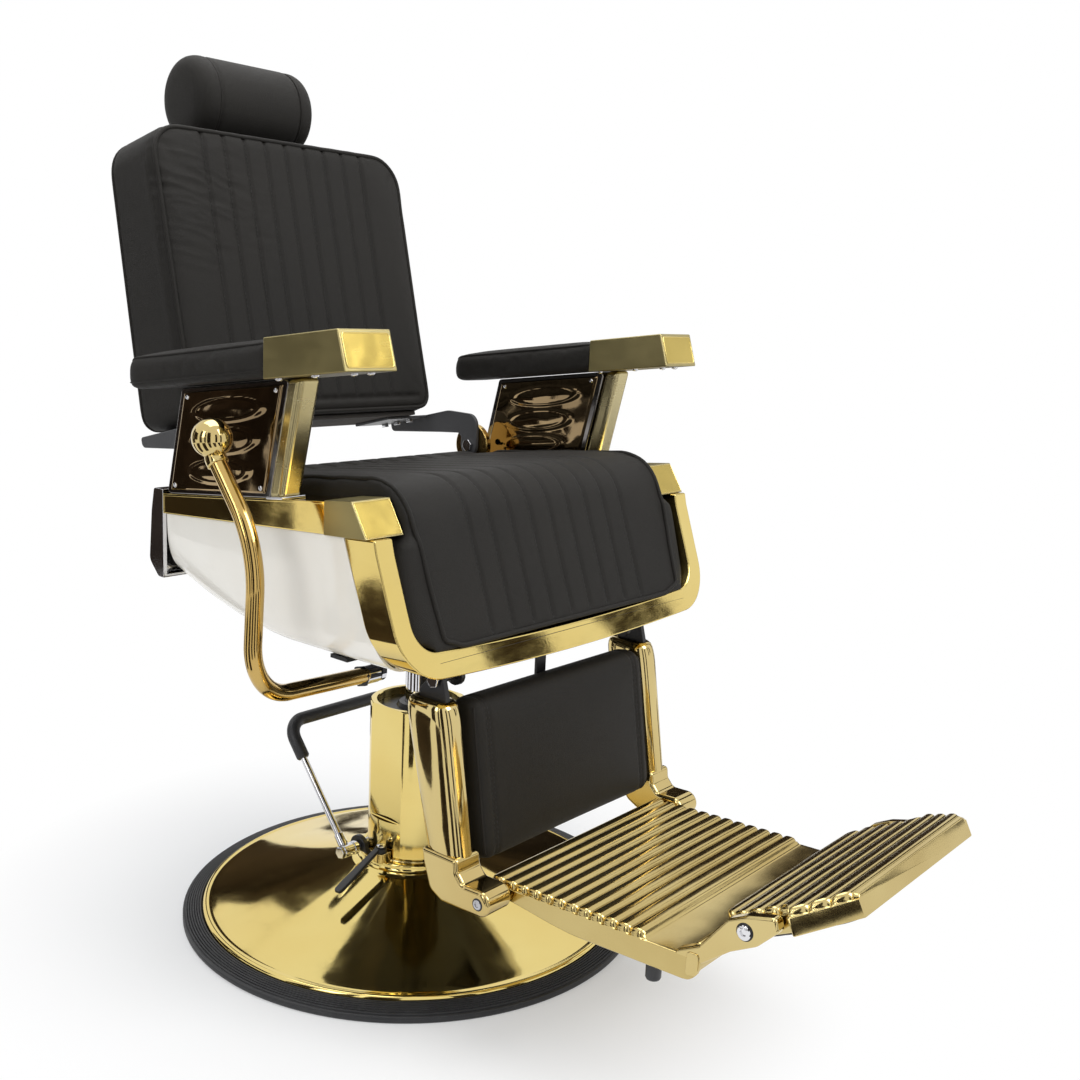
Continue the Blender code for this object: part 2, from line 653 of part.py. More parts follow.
def build_seat_body(finishes, joint):
    """Rails with their end blocks, side shells, front band and rear panel."""
    for name, side in sides():
        outer = side * RAIL_X
        inner = side * (RAIL_X - RAIL_W)
        rail = [(RAIL_REAR_Y, rail_bottom(RAIL_REAR_Y)), (RAIL_REAR_Y, rail_top(RAIL_REAR_Y)),
                (RAIL_FRONT_Y + 0.02, rail_top(RAIL_FRONT_Y + 0.02)),
                (RAIL_FRONT_Y + 0.02, rail_bottom(RAIL_FRONT_Y + 0.02))]
        beam = add_mesh("seat_rail_" + name, prism_x(rail, *sorted((outer, inner))), finishes["gold"])
        start = RAIL_FRONT_Y + BLOCK_LENGTH
        end_block = [(start, rail_bottom(start) - GAP), (start, rail_top(start) + BLOCK_PROUD),
                     (RAIL_FRONT_Y, rail_top(RAIL_FRONT_Y) + BLOCK_PROUD),
                     (RAIL_FRONT_Y - BLOCK_RAKE, rail_bottom(RAIL_FRONT_Y - BLOCK_RAKE) - GAP)]
        wide = sorted((outer + side * BLOCK_PROUD, inner - side * GAP))
        carry(weld(beam, prism_x(end_block, *wide)), joint)

        stations = [RAIL_REAR_Y - GAP, 0.12, 0.06, 0.0, -0.06, -0.12, band_rear(rail_bottom(-0.16)) + GAP]
        rings = []
        last = stations[-1]
        for y in stations:
            low = shell_low(y)
            ring = [(side * x, y, z) for x, z in shell_section(y, low)]
            if y == last:
                ring = [(x, band_rear(z) + GAP * 2, z) for x, _, z in ring]
            rings.append(ring)
        carry(add_mesh("side_shell_" + name, loft(rings), finishes["pearl"]), joint)

    outer_path = band_path(0.0)
    inner_path = band_path(BAND_T)
    rings = []
    for (x_out, z_out), (x_in, z_in) in zip(outer_path, inner_path):
        front_out, front_in = band_front(z_out), band_front(z_in)
        rings.append([(x_out, front_out, z_out), (x_in, front_in, z_in),
                      (x_in, front_in + BAND_DEPTH, z_in), (x_out, front_out + BAND_DEPTH, z_out)])
    carry(add_mesh("front_band", loft(rings), finishes["gold"]), joint)

    top_z = rail_top(RAIL_REAR_Y) + 0.006
    low_z = REAR_PANEL_LOW_Z
    front_y = RAIL_REAR_Y + GAP
    outline = [(front_y, top_z), (front_y, low_z), (front_y + 0.012, low_z), (front_y + REAR_PANEL_T + 0.006, low_z + 0.020),
               (front_y + REAR_PANEL_T, top_z - 0.030), (front_y + REAR_PANEL_T - 0.006, top_z)]
    outline = rounded(outline, [0.0005, 0.0005, 0.010, 0.014, 0.02, 0.003], 3)
    panel = add_mesh("rear_panel", prism_x(outline, -RAIL_X - 0.0015, RAIL_X + 0.0015), finishes["chrome"])
    wall = 0.004
    cut(panel, block((-RAIL_X + wall, front_y - 0.01, low_z + wall),
                     (RAIL_X - wall, front_y + REAR_PANEL_T - wall - 0.006, top_z - wall)))
    carry(panel, joint)


def band_rear(z):
    """Rear edge of the band's side face at a height z."""
    return band_front(z) + BAND_DEPTH


def band_path(inset):
    """The band's path in (x, z): down one side, along the front and up the other side."""
    top = rail_bottom(RAIL_FRONT_Y + BLOCK_LENGTH) - GAP * 2
    half = RAIL_X - inset
    low = BAND_LOW_Z + inset * BAND_LIP_H / BAND_T
    radius = BAND_CORNER_R - inset
    left = [(-half, top), (-half, low + radius * 1.4)]
    corner = arc((-half + radius, low + radius), radius, math.pi, math.pi * 1.5, 7)
    right = [(-x, z) for x, z in reversed(left + corner)]
    middle = [(-half * 0.5, low - BAND_SAG * 0.75), (0.0, low - BAND_SAG), (half * 0.5, low - BAND_SAG * 0.75)]
    return left + corner + middle + right


def build_cushion(finishes, joint):
    """Plywood seat board and the seat cushion with its waterfall front."""
    board_low = SEAT_Z + FRAME_TUBE_H + GAP
    board_top = board_low + BOARD_T
    board_front = band_rear(board_top + 0.010) + 0.003
    board = block((-CUSHION_HALF_W + 0.010, board_front, board_low),
                  (CUSHION_HALF_W - 0.010, CUSHION_REAR_Y - 0.004, board_top))
    base = add_mesh("seat_board", board, finishes["plywood"])
    tail_y = RAIL_REAR_Y - 0.004
    weld(base, block((-CUSHION_TAIL_HALF_W + 0.010, 0.0, board_low), (CUSHION_TAIL_HALF_W - 0.010, tail_y, board_top)))
    carry(base, joint)

    floor = board_top + GAP
    lip = BAND_LOW_Z + BAND_LIP_H + GAP * 2
    front_face = band_front(lip) + 0.006
    outline = [(CUSHION_REAR_Y, floor), (CUSHION_REAR_Y, CUSHION_REAR_TOP_Z),
               (band_front(CUSHION_FRONT_TOP_Z) + 0.010, CUSHION_FRONT_TOP_Z),
               (front_face, lip), (board_front - 0.001, lip), (board_front - 0.001, floor)]
    outline = rounded(outline, [0.004, 0.020, 0.060, 0.012, 0.0, 0.0], 5)
    cushion = add_mesh("seat_cushion", prism_x(outline, -CUSHION_HALF_W, CUSHION_HALF_W), finishes["leather"])
    tail = [(0.05, floor), (0.05, CUSHION_REAR_TOP_Z - 0.002), (tail_y, CUSHION_REAR_TOP_Z - 0.002), (tail_y, floor)]
    tail = rounded(tail, [0.0, 0.0, 0.018, 0.004])
    weld(cushion, prism_x(tail, -CUSHION_TAIL_HALF_W, CUSHION_TAIL_HALF_W))
    flank_top = rail_bottom(RAIL_FRONT_Y) - 0.004
    flank_low = BAND_LOW_Z + BAND_LIP_H + BAND_CORNER_R - BAND_T + 0.002
    flank = [(band_rear(flank_top) - 0.004, flank_top), (band_front(flank_top) + 0.007, flank_top),
             (band_front(flank_low) + 0.007, flank_low), (band_rear(flank_low) - 0.004, flank_low)]
    half = RAIL_X - BAND_T - GAP * 2
    weld(cushion, prism_x(flank, -half, half))
    carry(cushion, joint)


def arm_top(y):
    """Height of the arm pad's upper face at y."""
    return ARM_REAR_TOP_Z + ARM_SLOPE * (ARM_REAR_Y - y)


def build_arms(finishes, joint):
    """Arm supports with embossed skins, front posts, arm pads and their metal end caps."""
    for name, side in sides():
        def across(centre, width):
            return sorted((side * (centre - width / 2), side * (centre + width / 2)))

        def under_pad(y):
            return arm_top(y) - ARM_PAD_H - GAP

        frame_outer = RAIL_X + 0.0005
        frame_x = sorted((side * frame_outer, side * (frame_outer - ARM_FRAME_T)))
        outline = [(y, under_pad(y)) for y in (ARM_PANEL_REAR_TOP_Y, ARM_PANEL_FRONT_TOP_Y)]
        outline += [(y, rail_top(y) + GAP) for y in (ARM_PANEL_FRONT_LOW_Y, ARM_PANEL_REAR_LOW_Y)]
        frame = add_mesh("arm_frame_" + name, prism_x(outline, *frame_x), finishes["dark_chrome"])
        carry(round_edges(frame, 0.0020, 1), joint)

        centre = Vector((sum(y for y, _ in outline) / 4, sum(z for _, z in outline) / 4))
        window = [tuple(centre + (Vector(p) - centre) * 0.93) for p in outline]
        skin_x = sorted((side * (frame_outer + GAP), side * (frame_outer + GAP + ARM_SKIN_T)))
        skin = add_mesh("arm_skin_" + name, prism_x(rounded(window, 0.004, 2), *skin_x), finishes["gold"])
        carry(skin, joint)

        gap_y = GAP * 1.5
        post = [(ARM_PANEL_FRONT_TOP_Y - gap_y, under_pad(ARM_PANEL_FRONT_TOP_Y)),
                (ARM_PANEL_FRONT_TOP_Y - ARM_POST_D, under_pad(ARM_PANEL_FRONT_TOP_Y - ARM_POST_D)),
                (ARM_PANEL_FRONT_LOW_Y - ARM_POST_D, rail_top(ARM_PANEL_FRONT_LOW_Y - ARM_POST_D) + GAP),
                (ARM_PANEL_FRONT_LOW_Y - gap_y, rail_top(ARM_PANEL_FRONT_LOW_Y) + GAP)]
        body = add_mesh("arm_post_" + name, prism_x(post, *across(ARM_PAD_X, 0.032)), finishes["gold"])
        carry(round_edges(body, 0.007, 3), joint)

        pad = [(ARM_REAR_Y, arm_top(ARM_REAR_Y)), (ARM_CAP_Y + GAP, arm_top(ARM_CAP_Y)),
               (ARM_CAP_Y + GAP, arm_top(ARM_CAP_Y) - ARM_PAD_H), (ARM_REAR_Y, arm_top(ARM_REAR_Y) - ARM_PAD_H)]
        cushion = add_mesh("arm_pad_" + name, prism_x(rounded(pad, [0.012, 0, 0, 0.012], 3),
                           *across(ARM_PAD_X, ARM_PAD_W)), finishes["leather"])
        carry(round_edges(cushion, 0.005), joint)
        low = arm_top(ARM_FRONT_Y - 0.014) - ARM_PAD_H
        cap = [(ARM_CAP_Y, arm_top(ARM_CAP_Y) + 0.001), (ARM_FRONT_Y, arm_top(ARM_FRONT_Y) + 0.001),
               (ARM_FRONT_Y - 0.014, low), (ARM_CAP_Y, arm_top(ARM_CAP_Y) - ARM_PAD_H)]
        end_cap = add_mesh("arm_cap_" + name, prism_x(cap, *across(ARM_PAD_X, ARM_PAD_W + 0.001)), finishes["gold"])
        carry(round_edges(end_cap, 0.0015, 1), joint)


def back_point(x, up, depth):
    """A point of the back: across, up along the back and through its thickness from the front."""
    lean = Vector((0.0, math.sin(RECLINE), math.cos(RECLINE)))
    through = Vector((0.0, math.cos(RECLINE), -math.sin(RECLINE)))
    return Vector((x, BACK_Y, BACK_Z)) + lean * up + through * depth


def back_thickness(up):
    """Thickness of the back at a height along it: it thins towards the top."""
    return BACK_T + (BACK_TOP_T - BACK_T) * (up - BACK_BOTTOM) / (BACK_TOP - BACK_BOTTOM)


def build_back(finishes, joint):
    """Back cushion, its steel board, and the curved recline arms with their hinge discs."""
    half = BACK_W / 2
    rings = []
    for share, inset in ((0.0, 0.012), (0.05, 0.003), (0.16, 0.0), (0.9, 0.0), (0.985, 0.004), (1.0, 0.014)):
        corners = [(-half + inset, BACK_BOTTOM + inset), (half - inset, BACK_BOTTOM + inset),
                   (half - inset, BACK_TOP - inset), (-half + inset, BACK_TOP - inset)]
        outline = rounded(corners, [0.020, 0.020, 0.055, 0.055], 5)
        rings.append([back_point(x, up, back_thickness(up) * share) for x, up in outline])
    cushion = add_mesh("back_cushion", loft(rings), finishes["leather"])
    board_low = BACK_BOTTOM - 0.006 - GAP
    deep = back_thickness(BACK_BOTTOM)
    rings = []
    for up in (board_low, BACK_BOTTOM - GAP):
        rings.append([back_point(x, up, deep * share) for x, share in
                      ((-half + 0.030, 0.12), (half - 0.030, 0.12), (half - 0.030, 0.90), (-half + 0.030, 0.90))])
    board = add_mesh("back_bottom_board", loft(rings), finishes["plywood"])
    carry(board, joint)

    for name, side in sides():
        span = sorted((side * HINGE_ARM_X, side * (HINGE_ARM_X + RECLINE_ARM_T)))
        start = back_point(0.0, board_low - GAP, deep * 0.86)
        below = back_point(0.0, board_low - 0.026, deep * 0.86)
        bend_out = back_point(0.0, board_low - GAP, deep * -0.18)
        bend_in = back_point(0.0, board_low - 0.030, deep * 0.08)
        eye_r = 0.017
        outline = [(start.y, start.z), (bend_out.y, bend_out.z), (HINGE_Y - 0.016, HINGE_Z + 0.050),
                   (HINGE_Y - eye_r, HINGE_Z + 0.012)]
        outline += arc((HINGE_Y, HINGE_Z), eye_r, math.pi, math.tau, 8)
        outline += [(HINGE_Y + eye_r, HINGE_Z + 0.018), (bend_in.y - 0.010, bend_in.z), (below.y, below.z)]
        arm = add_mesh("recline_arm_" + name, prism_x(outline, *span), finishes["black_steel"])
        foot = []
        for up in (board_low - GAP - RECLINE_ARM_T, board_low - GAP):
            foot.append([back_point(side * x, up, deep * share) for x, share in
                         ((RECLINE_FOOT_X, 0.20), (HINGE_ARM_X + 0.001, 0.20),
                          (HINGE_ARM_X + 0.001, 0.80), (RECLINE_FOOT_X, 0.80))])
        weld(arm, loft(foot))
        hole = rod((span[0] - 0.01, HINGE_Y, HINGE_Z), (span[1] + 0.01, HINGE_Y, HINGE_Z), HINGE_PIN_R + 0.0005, 16)
        carry(cut(arm, hole), joint)
        post_x = side * HEAD_POST_X
        cut(cushion, rod(back_point(post_x, BACK_TOP - HEAD_POST_DEPTH - 0.010, HEAD_POST_IN),
                         back_point(post_x, BACK_TOP + 0.02, HEAD_POST_IN), HEAD_POST_R + 0.0008, 12))
    carry(cushion, joint)


def build_hinge_discs(finishes, joint):
    """Round hinge plates on the rails' inner faces, each with the pin that a recline arm turns on."""
    for name, side in sides():
        inner = RAIL_X - RAIL_W - GAP
        disc_x = sorted((side * inner, side * (HINGE_ARM_X + RECLINE_ARM_T + RUN)))
        spread = math.asin(HINGE_TONGUE_W / 2 / HINGE_R)
        outline = arc((HINGE_Y, HINGE_Z), HINGE_R, spread - math.pi / 2, math.pi * 1.5 - spread, 20)
        outline += [(HINGE_Y - HINGE_TONGUE_W / 2, HINGE_TONGUE_Z), (HINGE_Y + HINGE_TONGUE_W / 2, HINGE_TONGUE_Z)]
        disc = add_mesh("hinge_disc_" + name, prism_x(outline, *disc_x), finishes["gold"])
        pin = sorted((side * (HINGE_ARM_X - 0.004), side * (inner - 0.002)))
        weld(disc, rod((pin[0], HINGE_Y, HINGE_Z), (pin[1], HINGE_Y, HINGE_Z), HINGE_PIN_R))
        carry(disc, joint)


def build_headrest(finishes, joint):
    """Headrest pillow on two posts that slide in the back."""
    lean = Vector((0.0, math.sin(RECLINE), math.cos(RECLINE)))
    rings = []
    half = PILLOW_W / 2
    turns = [math.radians(angle) for angle in (90, 70, 50, 30, 0)]
    ends = [(half - PILLOW_ROUND * (1 - math.sin(turn)), 1 - PILLOW_ROUND / PILLOW_RY * (1 - math.cos(turn)))
            for turn in turns]
    for x, size in [(-x, size) for x, size in ends] + ends[::-1]:
        ring = arc((0.0, 0.0), 1.0, 0.0, math.tau * 23 / 24, 23)
        rings.append([(x, PILLOW_Y + y * PILLOW_RY * size, PILLOW_Z + z * PILLOW_R * size) for y, z in ring])
    pillow = add_mesh("headrest_pillow", loft(rings), finishes["leather"])
    for name, side in sides():
        low = back_point(side * HEAD_POST_X, BACK_TOP - HEAD_POST_DEPTH, HEAD_POST_IN)
        high = low + lean * (HEAD_POST_DEPTH + 0.040)
        carry(add_mesh("headrest_post_" + name, rod(low, high, HEAD_POST_R, 12), finishes["chrome"]), joint)
        cut(pillow, rod(low, high + lean * GAP, HEAD_POST_R + GAP, 12))
    carry(pillow, joint)


def build_recline_lever(finishes, seat, lever_joint):
    """Release lever of the recline lock: bracket under the seat, cranked tube and ball."""
    x, y, z = LEVER_PIVOT_X, LEVER_PIVOT_Y, LEVER_PIVOT_Z
    pin_r = 0.006
    outline = [(y + 0.012, SEAT_Z - GAP), (y - 0.012, SEAT_Z - GAP)]
    outline += arc((y, z), 0.012, math.pi, math.tau, 6)
    bracket = add_mesh("lever_bracket", prism_x(outline, x + 0.004, x + 0.012), finishes["chrome"])
    weld(bracket, rod((x + 0.006, y, z), (x - 0.016, y, z), pin_r, 12))
    carry(bracket, seat)
    hub = add_mesh("recline_lever", rod((x - 0.020, y, z), (x + 0.003, y, z), 0.0125, 16), finishes["gold"])
    path = [(x - 0.016, y, z), (LEVER_X + 0.055, y - 0.040, z + 0.022), (LEVER_X, LEVER_LOW_Y - 0.004, LEVER_LOW_Z),
            (LEVER_X, LEVER_KNEE_Y, LEVER_KNEE_Z), (LEVER_X, LEVER_BALL_Y - 0.006, LEVER_BALL_Z - LEVER_BALL_R * 0.93)]
    weld(hub, bent_tube(path, LEVER_R, 0.05, 12, 4))
    cut(hub, rod((x - 0.016 - GAP, y, z), (x + 0.01, y, z), pin_r + 0.0005, 16))
    carry(hub, lever_joint)
    steps = 16
    ring = [(LEVER_BALL_R * math.sin(math.pi * i / 10), LEVER_BALL_Z + LEVER_BALL_R * math.cos(math.pi * i / 10))
            for i in range(11)]
    ball = add_mesh("lever_ball", turned(ring, steps, (LEVER_X, LEVER_BALL_Y)), finishes["gold"])
    start = Vector(path[-2])
    end = Vector(path[-1])
    ahead = (end - start).normalized()
    cut(ball, rod(end - ahead * 0.02, end + ahead * GAP, LEVER_R + GAP, 12))
    carry(ball, lever_joint)


def build_leg_rest(finishes, joint):
    """Cast legs with their hinge plates, the calf pad and its steel backing with the middle strap."""
    for name, side in sides():
        leg_x = sorted((side * (LEG_X - LEG_W / 2), side * (LEG_X + LEG_W / 2)))
        boss = (FOOT_Y, FOOT_Z)
        outline = [(-0.190, LEG_TOP_Z), (-0.236, 0.215), (-0.248, 0.182), (-0.268, 0.172)]
        outline += arc(boss, FOOT_BOSS_R, -math.pi * 0.5, -math.pi * 1.5, 8)
        outline += [(-0.303, 0.205), (-0.293, 0.216), (-0.262, LEG_TOP_Z - 0.004), (-0.245, LEG_TOP_Z + 0.010),
                    (-0.205, LEG_TOP_Z + 0.010)]
        leg = add_mesh("leg_" + name, soft_prism_x(outline, *leg_x, LEG_EDGE), finishes["gold"])
        hole = rod((leg_x[0] - 0.01, FOOT_Y, FOOT_Z), (leg_x[1] + 0.01, FOOT_Y, FOOT_Z), FOOT_ROD_R + GAP)
        slot_x = sorted((side * (LEG_X - LEG_PLATE_T / 2 - GAP), side * (LEG_X + LEG_PLATE_T / 2 + GAP)))
        slot = block((slot_x[0], -0.2500 - GAP, LEG_TOP_Z - 0.030 - GAP), (slot_x[1], -0.2050 + GAP, LEG_TOP_Z + 0.05))
        cut(leg, hole)
        cut(leg, slot)
        carry(leg, joint)

        plate_x = sorted((side * (LEG_X - LEG_PLATE_T / 2), side * (LEG_X + LEG_PLATE_T / 2)))
        plate = [(-0.205, LEG_TOP_Z - 0.030), (-0.205, LEG_TOP_Z + 0.018)]
        plate += arc((LEG_HINGE_Y, LEG_HINGE_Z), 0.012, 0.0, math.pi, 8)
        plate += [(-0.250, LEG_TOP_Z + 0.012), (-0.250, LEG_TOP_Z - 0.030)]
        hinge = add_mesh("leg_plate_" + name, prism_x(plate, *plate_x), finishes["black_steel"])
        eye = rod((plate_x[0] - 0.01, LEG_HINGE_Y, LEG_HINGE_Z), (plate_x[1] + 0.01, LEG_HINGE_Y, LEG_HINGE_Z),
                  LEG_PIN_R + 0.0005, 12)
        carry(cut(hinge, eye), joint)

    rise = Vector((PAD_LOW_Y - PAD_TOP_Y, PAD_LOW_Z - PAD_TOP_Z)).normalized()
    back = Vector((-rise.y, rise.x)) * -1.0
    if back.x < 0:
        back = -back
    top = Vector((PAD_TOP_Y, PAD_TOP_Z))
    low = Vector((PAD_LOW_Y, PAD_LOW_Z))
    front_pad = [tuple(top), tuple(low), tuple(low + back * PAD_T), tuple(top + back * PAD_T)]
    pad = add_mesh("calf_pad", prism_x(rounded(front_pad, [0.022, 0.012, 0.003, 0.003], 4), -PAD_HALF_W, PAD_HALF_W),
                   finishes["leather"])
    carry(round_edges(pad, 0.006), joint)
    near = PAD_T + GAP
    far = near + 0.004
    board = [tuple(top - rise * -0.012 + back * near), tuple(low - rise * 0.012 + back * near),
             tuple(low - rise * 0.012 + back * far), tuple(top + rise * 0.012 + back * far)]
    half = LEG_X - LEG_W / 2 - GAP
    backing = add_mesh("calf_backing", prism_x(board, -half, half), finishes["black_steel"])
    strap_top = LEG_HINGE_Z + 0.010
    root = top + rise * 0.020 + back * near
    strap_y = top.x + back.x * near + GAP
    strap = [(strap_y, root.y - 0.010), (strap_y + 0.004, root.y - 0.010), (strap_y + 0.004, strap_top),
             (strap_y, strap_top)]
    weld(backing, prism_x(strap, -0.009, 0.009))
    carry(backing, joint)
    reach = LEG_X + LEG_W / 2 - 0.002
    carry(add_mesh("foot_hinge_rod", rod((-reach, FOOT_Y, FOOT_Z), (reach, FOOT_Y, FOOT_Z), FOOT_ROD_R),
                   finishes["steel"]), joint)


def tread(slope, start, rise):
    """Placing function for a ribbed tread: along it and up from it, as (y, z)."""
    ahead = Vector((-math.cos(slope), math.sin(slope)))
    up = Vector((math.sin(slope), math.cos(slope)))

    def place(along, height):
        spot = Vector(start) + ahead * along + up * (height + rise)
        return (spot.x, spot.y)
    return place


def ribbed_top(place, first, last, pitch, height):
    """Outline of a ribbed face from its rear to its front: low rounded ribs side by side."""
    points = []
    count = round((last - first) / pitch)
    for index in range(count):
        low = first + (last - first) * index / count
        high = first + (last - first) * (index + 1) / count
        points.append(place(low, -height))
        for share in (0.16, 0.34, 0.66, 0.84):
            crest = height * (1.0 if 0.3 < share < 0.7 else 0.72)
            points.append(place(low + (high - low) * share, crest - height))
    points.append(place(last, -height))
    return points


def slab(place, outline, low, high):
    """An outline in (x, along a tread) extruded through its thickness."""
    return loft([[(x, *place(along, height)) for x, along in outline] for height in (low, high)])


def build_foot_plate(finishes, joint):
    """Ribbed foot plate with its hinge barrel, the lugs of the flap, and two rubber bumpers."""
    place = tread(PLATE_SLOPE, (FOOT_Y, FOOT_Z), PLATE_RISE)
    ribs_end = PLATE_RIB_START + RIB_PITCH * PLATE_RIBS
    ribs = ribbed_top(place, PLATE_RIB_START, ribs_end, RIB_PITCH, RIB_H)
    recess = -RIB_H - 0.004
    outline = ribs + [place(ribs_end + 0.004, recess), place(PLATE_LENGTH - 0.014, recess),
                      place(PLATE_LENGTH - 0.007, PLATE_LIP_H), place(PLATE_LENGTH, PLATE_LIP_H),
                      place(PLATE_LENGTH, -0.010), place(PLATE_LENGTH - 0.014, -PLATE_SKIRT_H + 0.004),
                      place(PLATE_LENGTH - 0.022, -PLATE_SKIRT_H), place(PLATE_SKIRT_START, -PLATE_SKIRT_H),
                      place(PLATE_RIB_START + 0.010, -PLATE_SKIRT_H * 0.55)]
    plate = add_mesh("foot_plate", prism_x(outline, -PLATE_HALF_W, PLATE_HALF_W), finishes["gold"])
    inner = PLATE_HALF_W - PLATE_WALL
    front = PLATE_LENGTH - 0.024
    pocket = [(-inner, PLATE_POCKET_START), (inner, PLATE_POCKET_START), (inner, front), (-inner, front)]
    cut(plate, slab(place, pocket, -PLATE_SKIRT_H - 0.02, recess - PLATE_SKIN))
    barrel_half = LEG_X - LEG_W / 2 - RUN * 1.5
    weld(plate, rod((-barrel_half, FOOT_Y, FOOT_Z), (barrel_half, FOOT_Y, FOOT_Z), FOOT_BARREL_R, 20))
    for name, side in sides():
        lug_x = sorted((side * (PLATE_HALF_W - ARM_LUG_T), side * (PLATE_HALF_W - 0.0003)))
        start = (FOOT_Y - PLATE_LENGTH * math.cos(PLATE_SLOPE), FOOT_Z + PLATE_LENGTH * math.sin(PLATE_SLOPE))
        lug = [(start[0] + 0.040, start[1] - 0.012), (start[0] + 0.018, start[1] - 0.013),
               (FLAP_Y + 0.016, FLAP_Z - 0.029), (FLAP_Y - 0.014, FLAP_Z - 0.012), (FLAP_Y - 0.038, FLAP_Z + 0.013),
               (FLAP_Y - 0.034, FLAP_Z + 0.027), (FLAP_Y, FLAP_Z + 0.0175), (FLAP_Y + 0.022, FLAP_Z + 0.006),
               (start[0] + 0.004, start[1] + 0.022), (start[0] + 0.030, start[1] + 0.008)]
        weld(plate, prism_x(rounded(lug, 0.006, 2), *lug_x))
        cut(plate, rod((lug_x[0] - 0.01, FLAP_Y, FLAP_Z), (lug_x[1] + 0.01, FLAP_Y, FLAP_Z), FLAP_PIN_R + GAP, 12))
        ceiling = recess - PLATE_SKIN
        spot = place(BUMPER_ALONG, ceiling - BUMPER_SEAT)
        stop = add_mesh("foot_bumper_" + name, rod((side * BUMPER_X, *spot), (side * BUMPER_X, spot[0], BUMPER_Z),
                                                  BUMPER_R, 14), finishes["rubber"])
        carry(round_edges(stop, 0.003), joint)
    reach = LEG_X + LEG_W / 2 + 0.01
    cut(plate, rod((-reach, FOOT_Y, FOOT_Z), (reach, FOOT_Y, FOOT_Z), FOOT_ROD_R + 0.0005))
    carry(plate, joint)
    return place


def build_flap(finishes, joint, plate_joint):
    """Ribbed end flap with its padded underside, and the rod it folds back on."""
    place = tread(FLAP_SLOPE, (FLAP_Y, FLAP_Z), FLAP_RISE)
    ribs_end = FLAP_FRONT - 0.006
    ribs = ribbed_top(place, -FLAP_BACK, ribs_end, FLAP_RIB_PITCH, RIB_H)
    outline = ribs + [place(FLAP_FRONT, -RIB_H), place(FLAP_FRONT + 0.002, -FLAP_SKIRT_H),
                      place(-FLAP_BACK + 0.004, -FLAP_SKIRT_H)]
    flap = add_mesh("foot_flap", prism_x(outline, -FLAP_HALF_W, FLAP_HALF_W), finishes["gold"])
    for name, side in sides():
        rear = [(side * FLAP_REAR_HALF_W, -0.07), (side * 0.2, -0.07), (side * 0.2, FLAP_NOTCH),
                (side * FLAP_REAR_HALF_W, FLAP_NOTCH)]
        cut(flap, slab(place, rear, -0.05, 0.02))
        taper = [(side * FLAP_HALF_W, FLAP_NOTCH + 0.010), (side * 0.2, FLAP_NOTCH + 0.010),
                 (side * 0.2, FLAP_FRONT + 0.02), (side * (FLAP_TIP_HALF_W - 0.008), FLAP_FRONT + 0.02)]
        cut(flap, slab(place, taper, -0.05, 0.02))
    ceiling = -RIB_H - PLATE_SKIN
    wall = PLATE_WALL
    pocket = pad_outline(wall)
    cut(flap, slab(place, pocket, -FLAP_SKIRT_H - 0.03, ceiling))
    barrel = FLAP_REAR_HALF_W - 0.001
    weld(flap, rod((-barrel, FLAP_Y, FLAP_Z), (barrel, FLAP_Y, FLAP_Z), FLAP_PIN_R + 0.005, 16))
    reach = PLATE_HALF_W + 0.01
    cut(flap, rod((-reach, FLAP_Y, FLAP_Z), (reach, FLAP_Y, FLAP_Z), FLAP_PIN_R + 0.0005, 16))
    carry(flap, joint)
    end = PLATE_HALF_W - 0.001
    carry(add_mesh("flap_hinge_rod", rod((-end, FLAP_Y, FLAP_Z), (end, FLAP_Y, FLAP_Z), FLAP_PIN_R, 16),
                   finishes["steel"]), plate_joint)

    pad = add_mesh("flap_pad", slab(place, pad_outline(wall + GAP * 2), -FLAP_SKIRT_H - FLAP_PAD_T * 0.5, ceiling - GAP),
                   finishes["leather"])
    reach = FLAP_REAR_HALF_W + 0.01
    cut(pad, rod((-reach, FLAP_Y, FLAP_Z), (reach, FLAP_Y, FLAP_Z), FLAP_PIN_R + 0.005 + GAP, 16))
    carry(pad, joint)


def pad_outline(inset):
    """Outline of the padded underside of the flap, as (x, along), by its distance from the flap's edge."""
    rear = FLAP_REAR_HALF_W - inset
    tip = FLAP_TIP_HALF_W - inset
    corners = [(-rear, -FLAP_BACK + inset + 0.002), (rear, -FLAP_BACK + inset + 0.002), (rear, FLAP_NOTCH + inset),
               (tip, FLAP_FRONT - inset), (-tip, FLAP_FRONT - inset), (-rear, FLAP_NOTCH + inset)]
    return corners


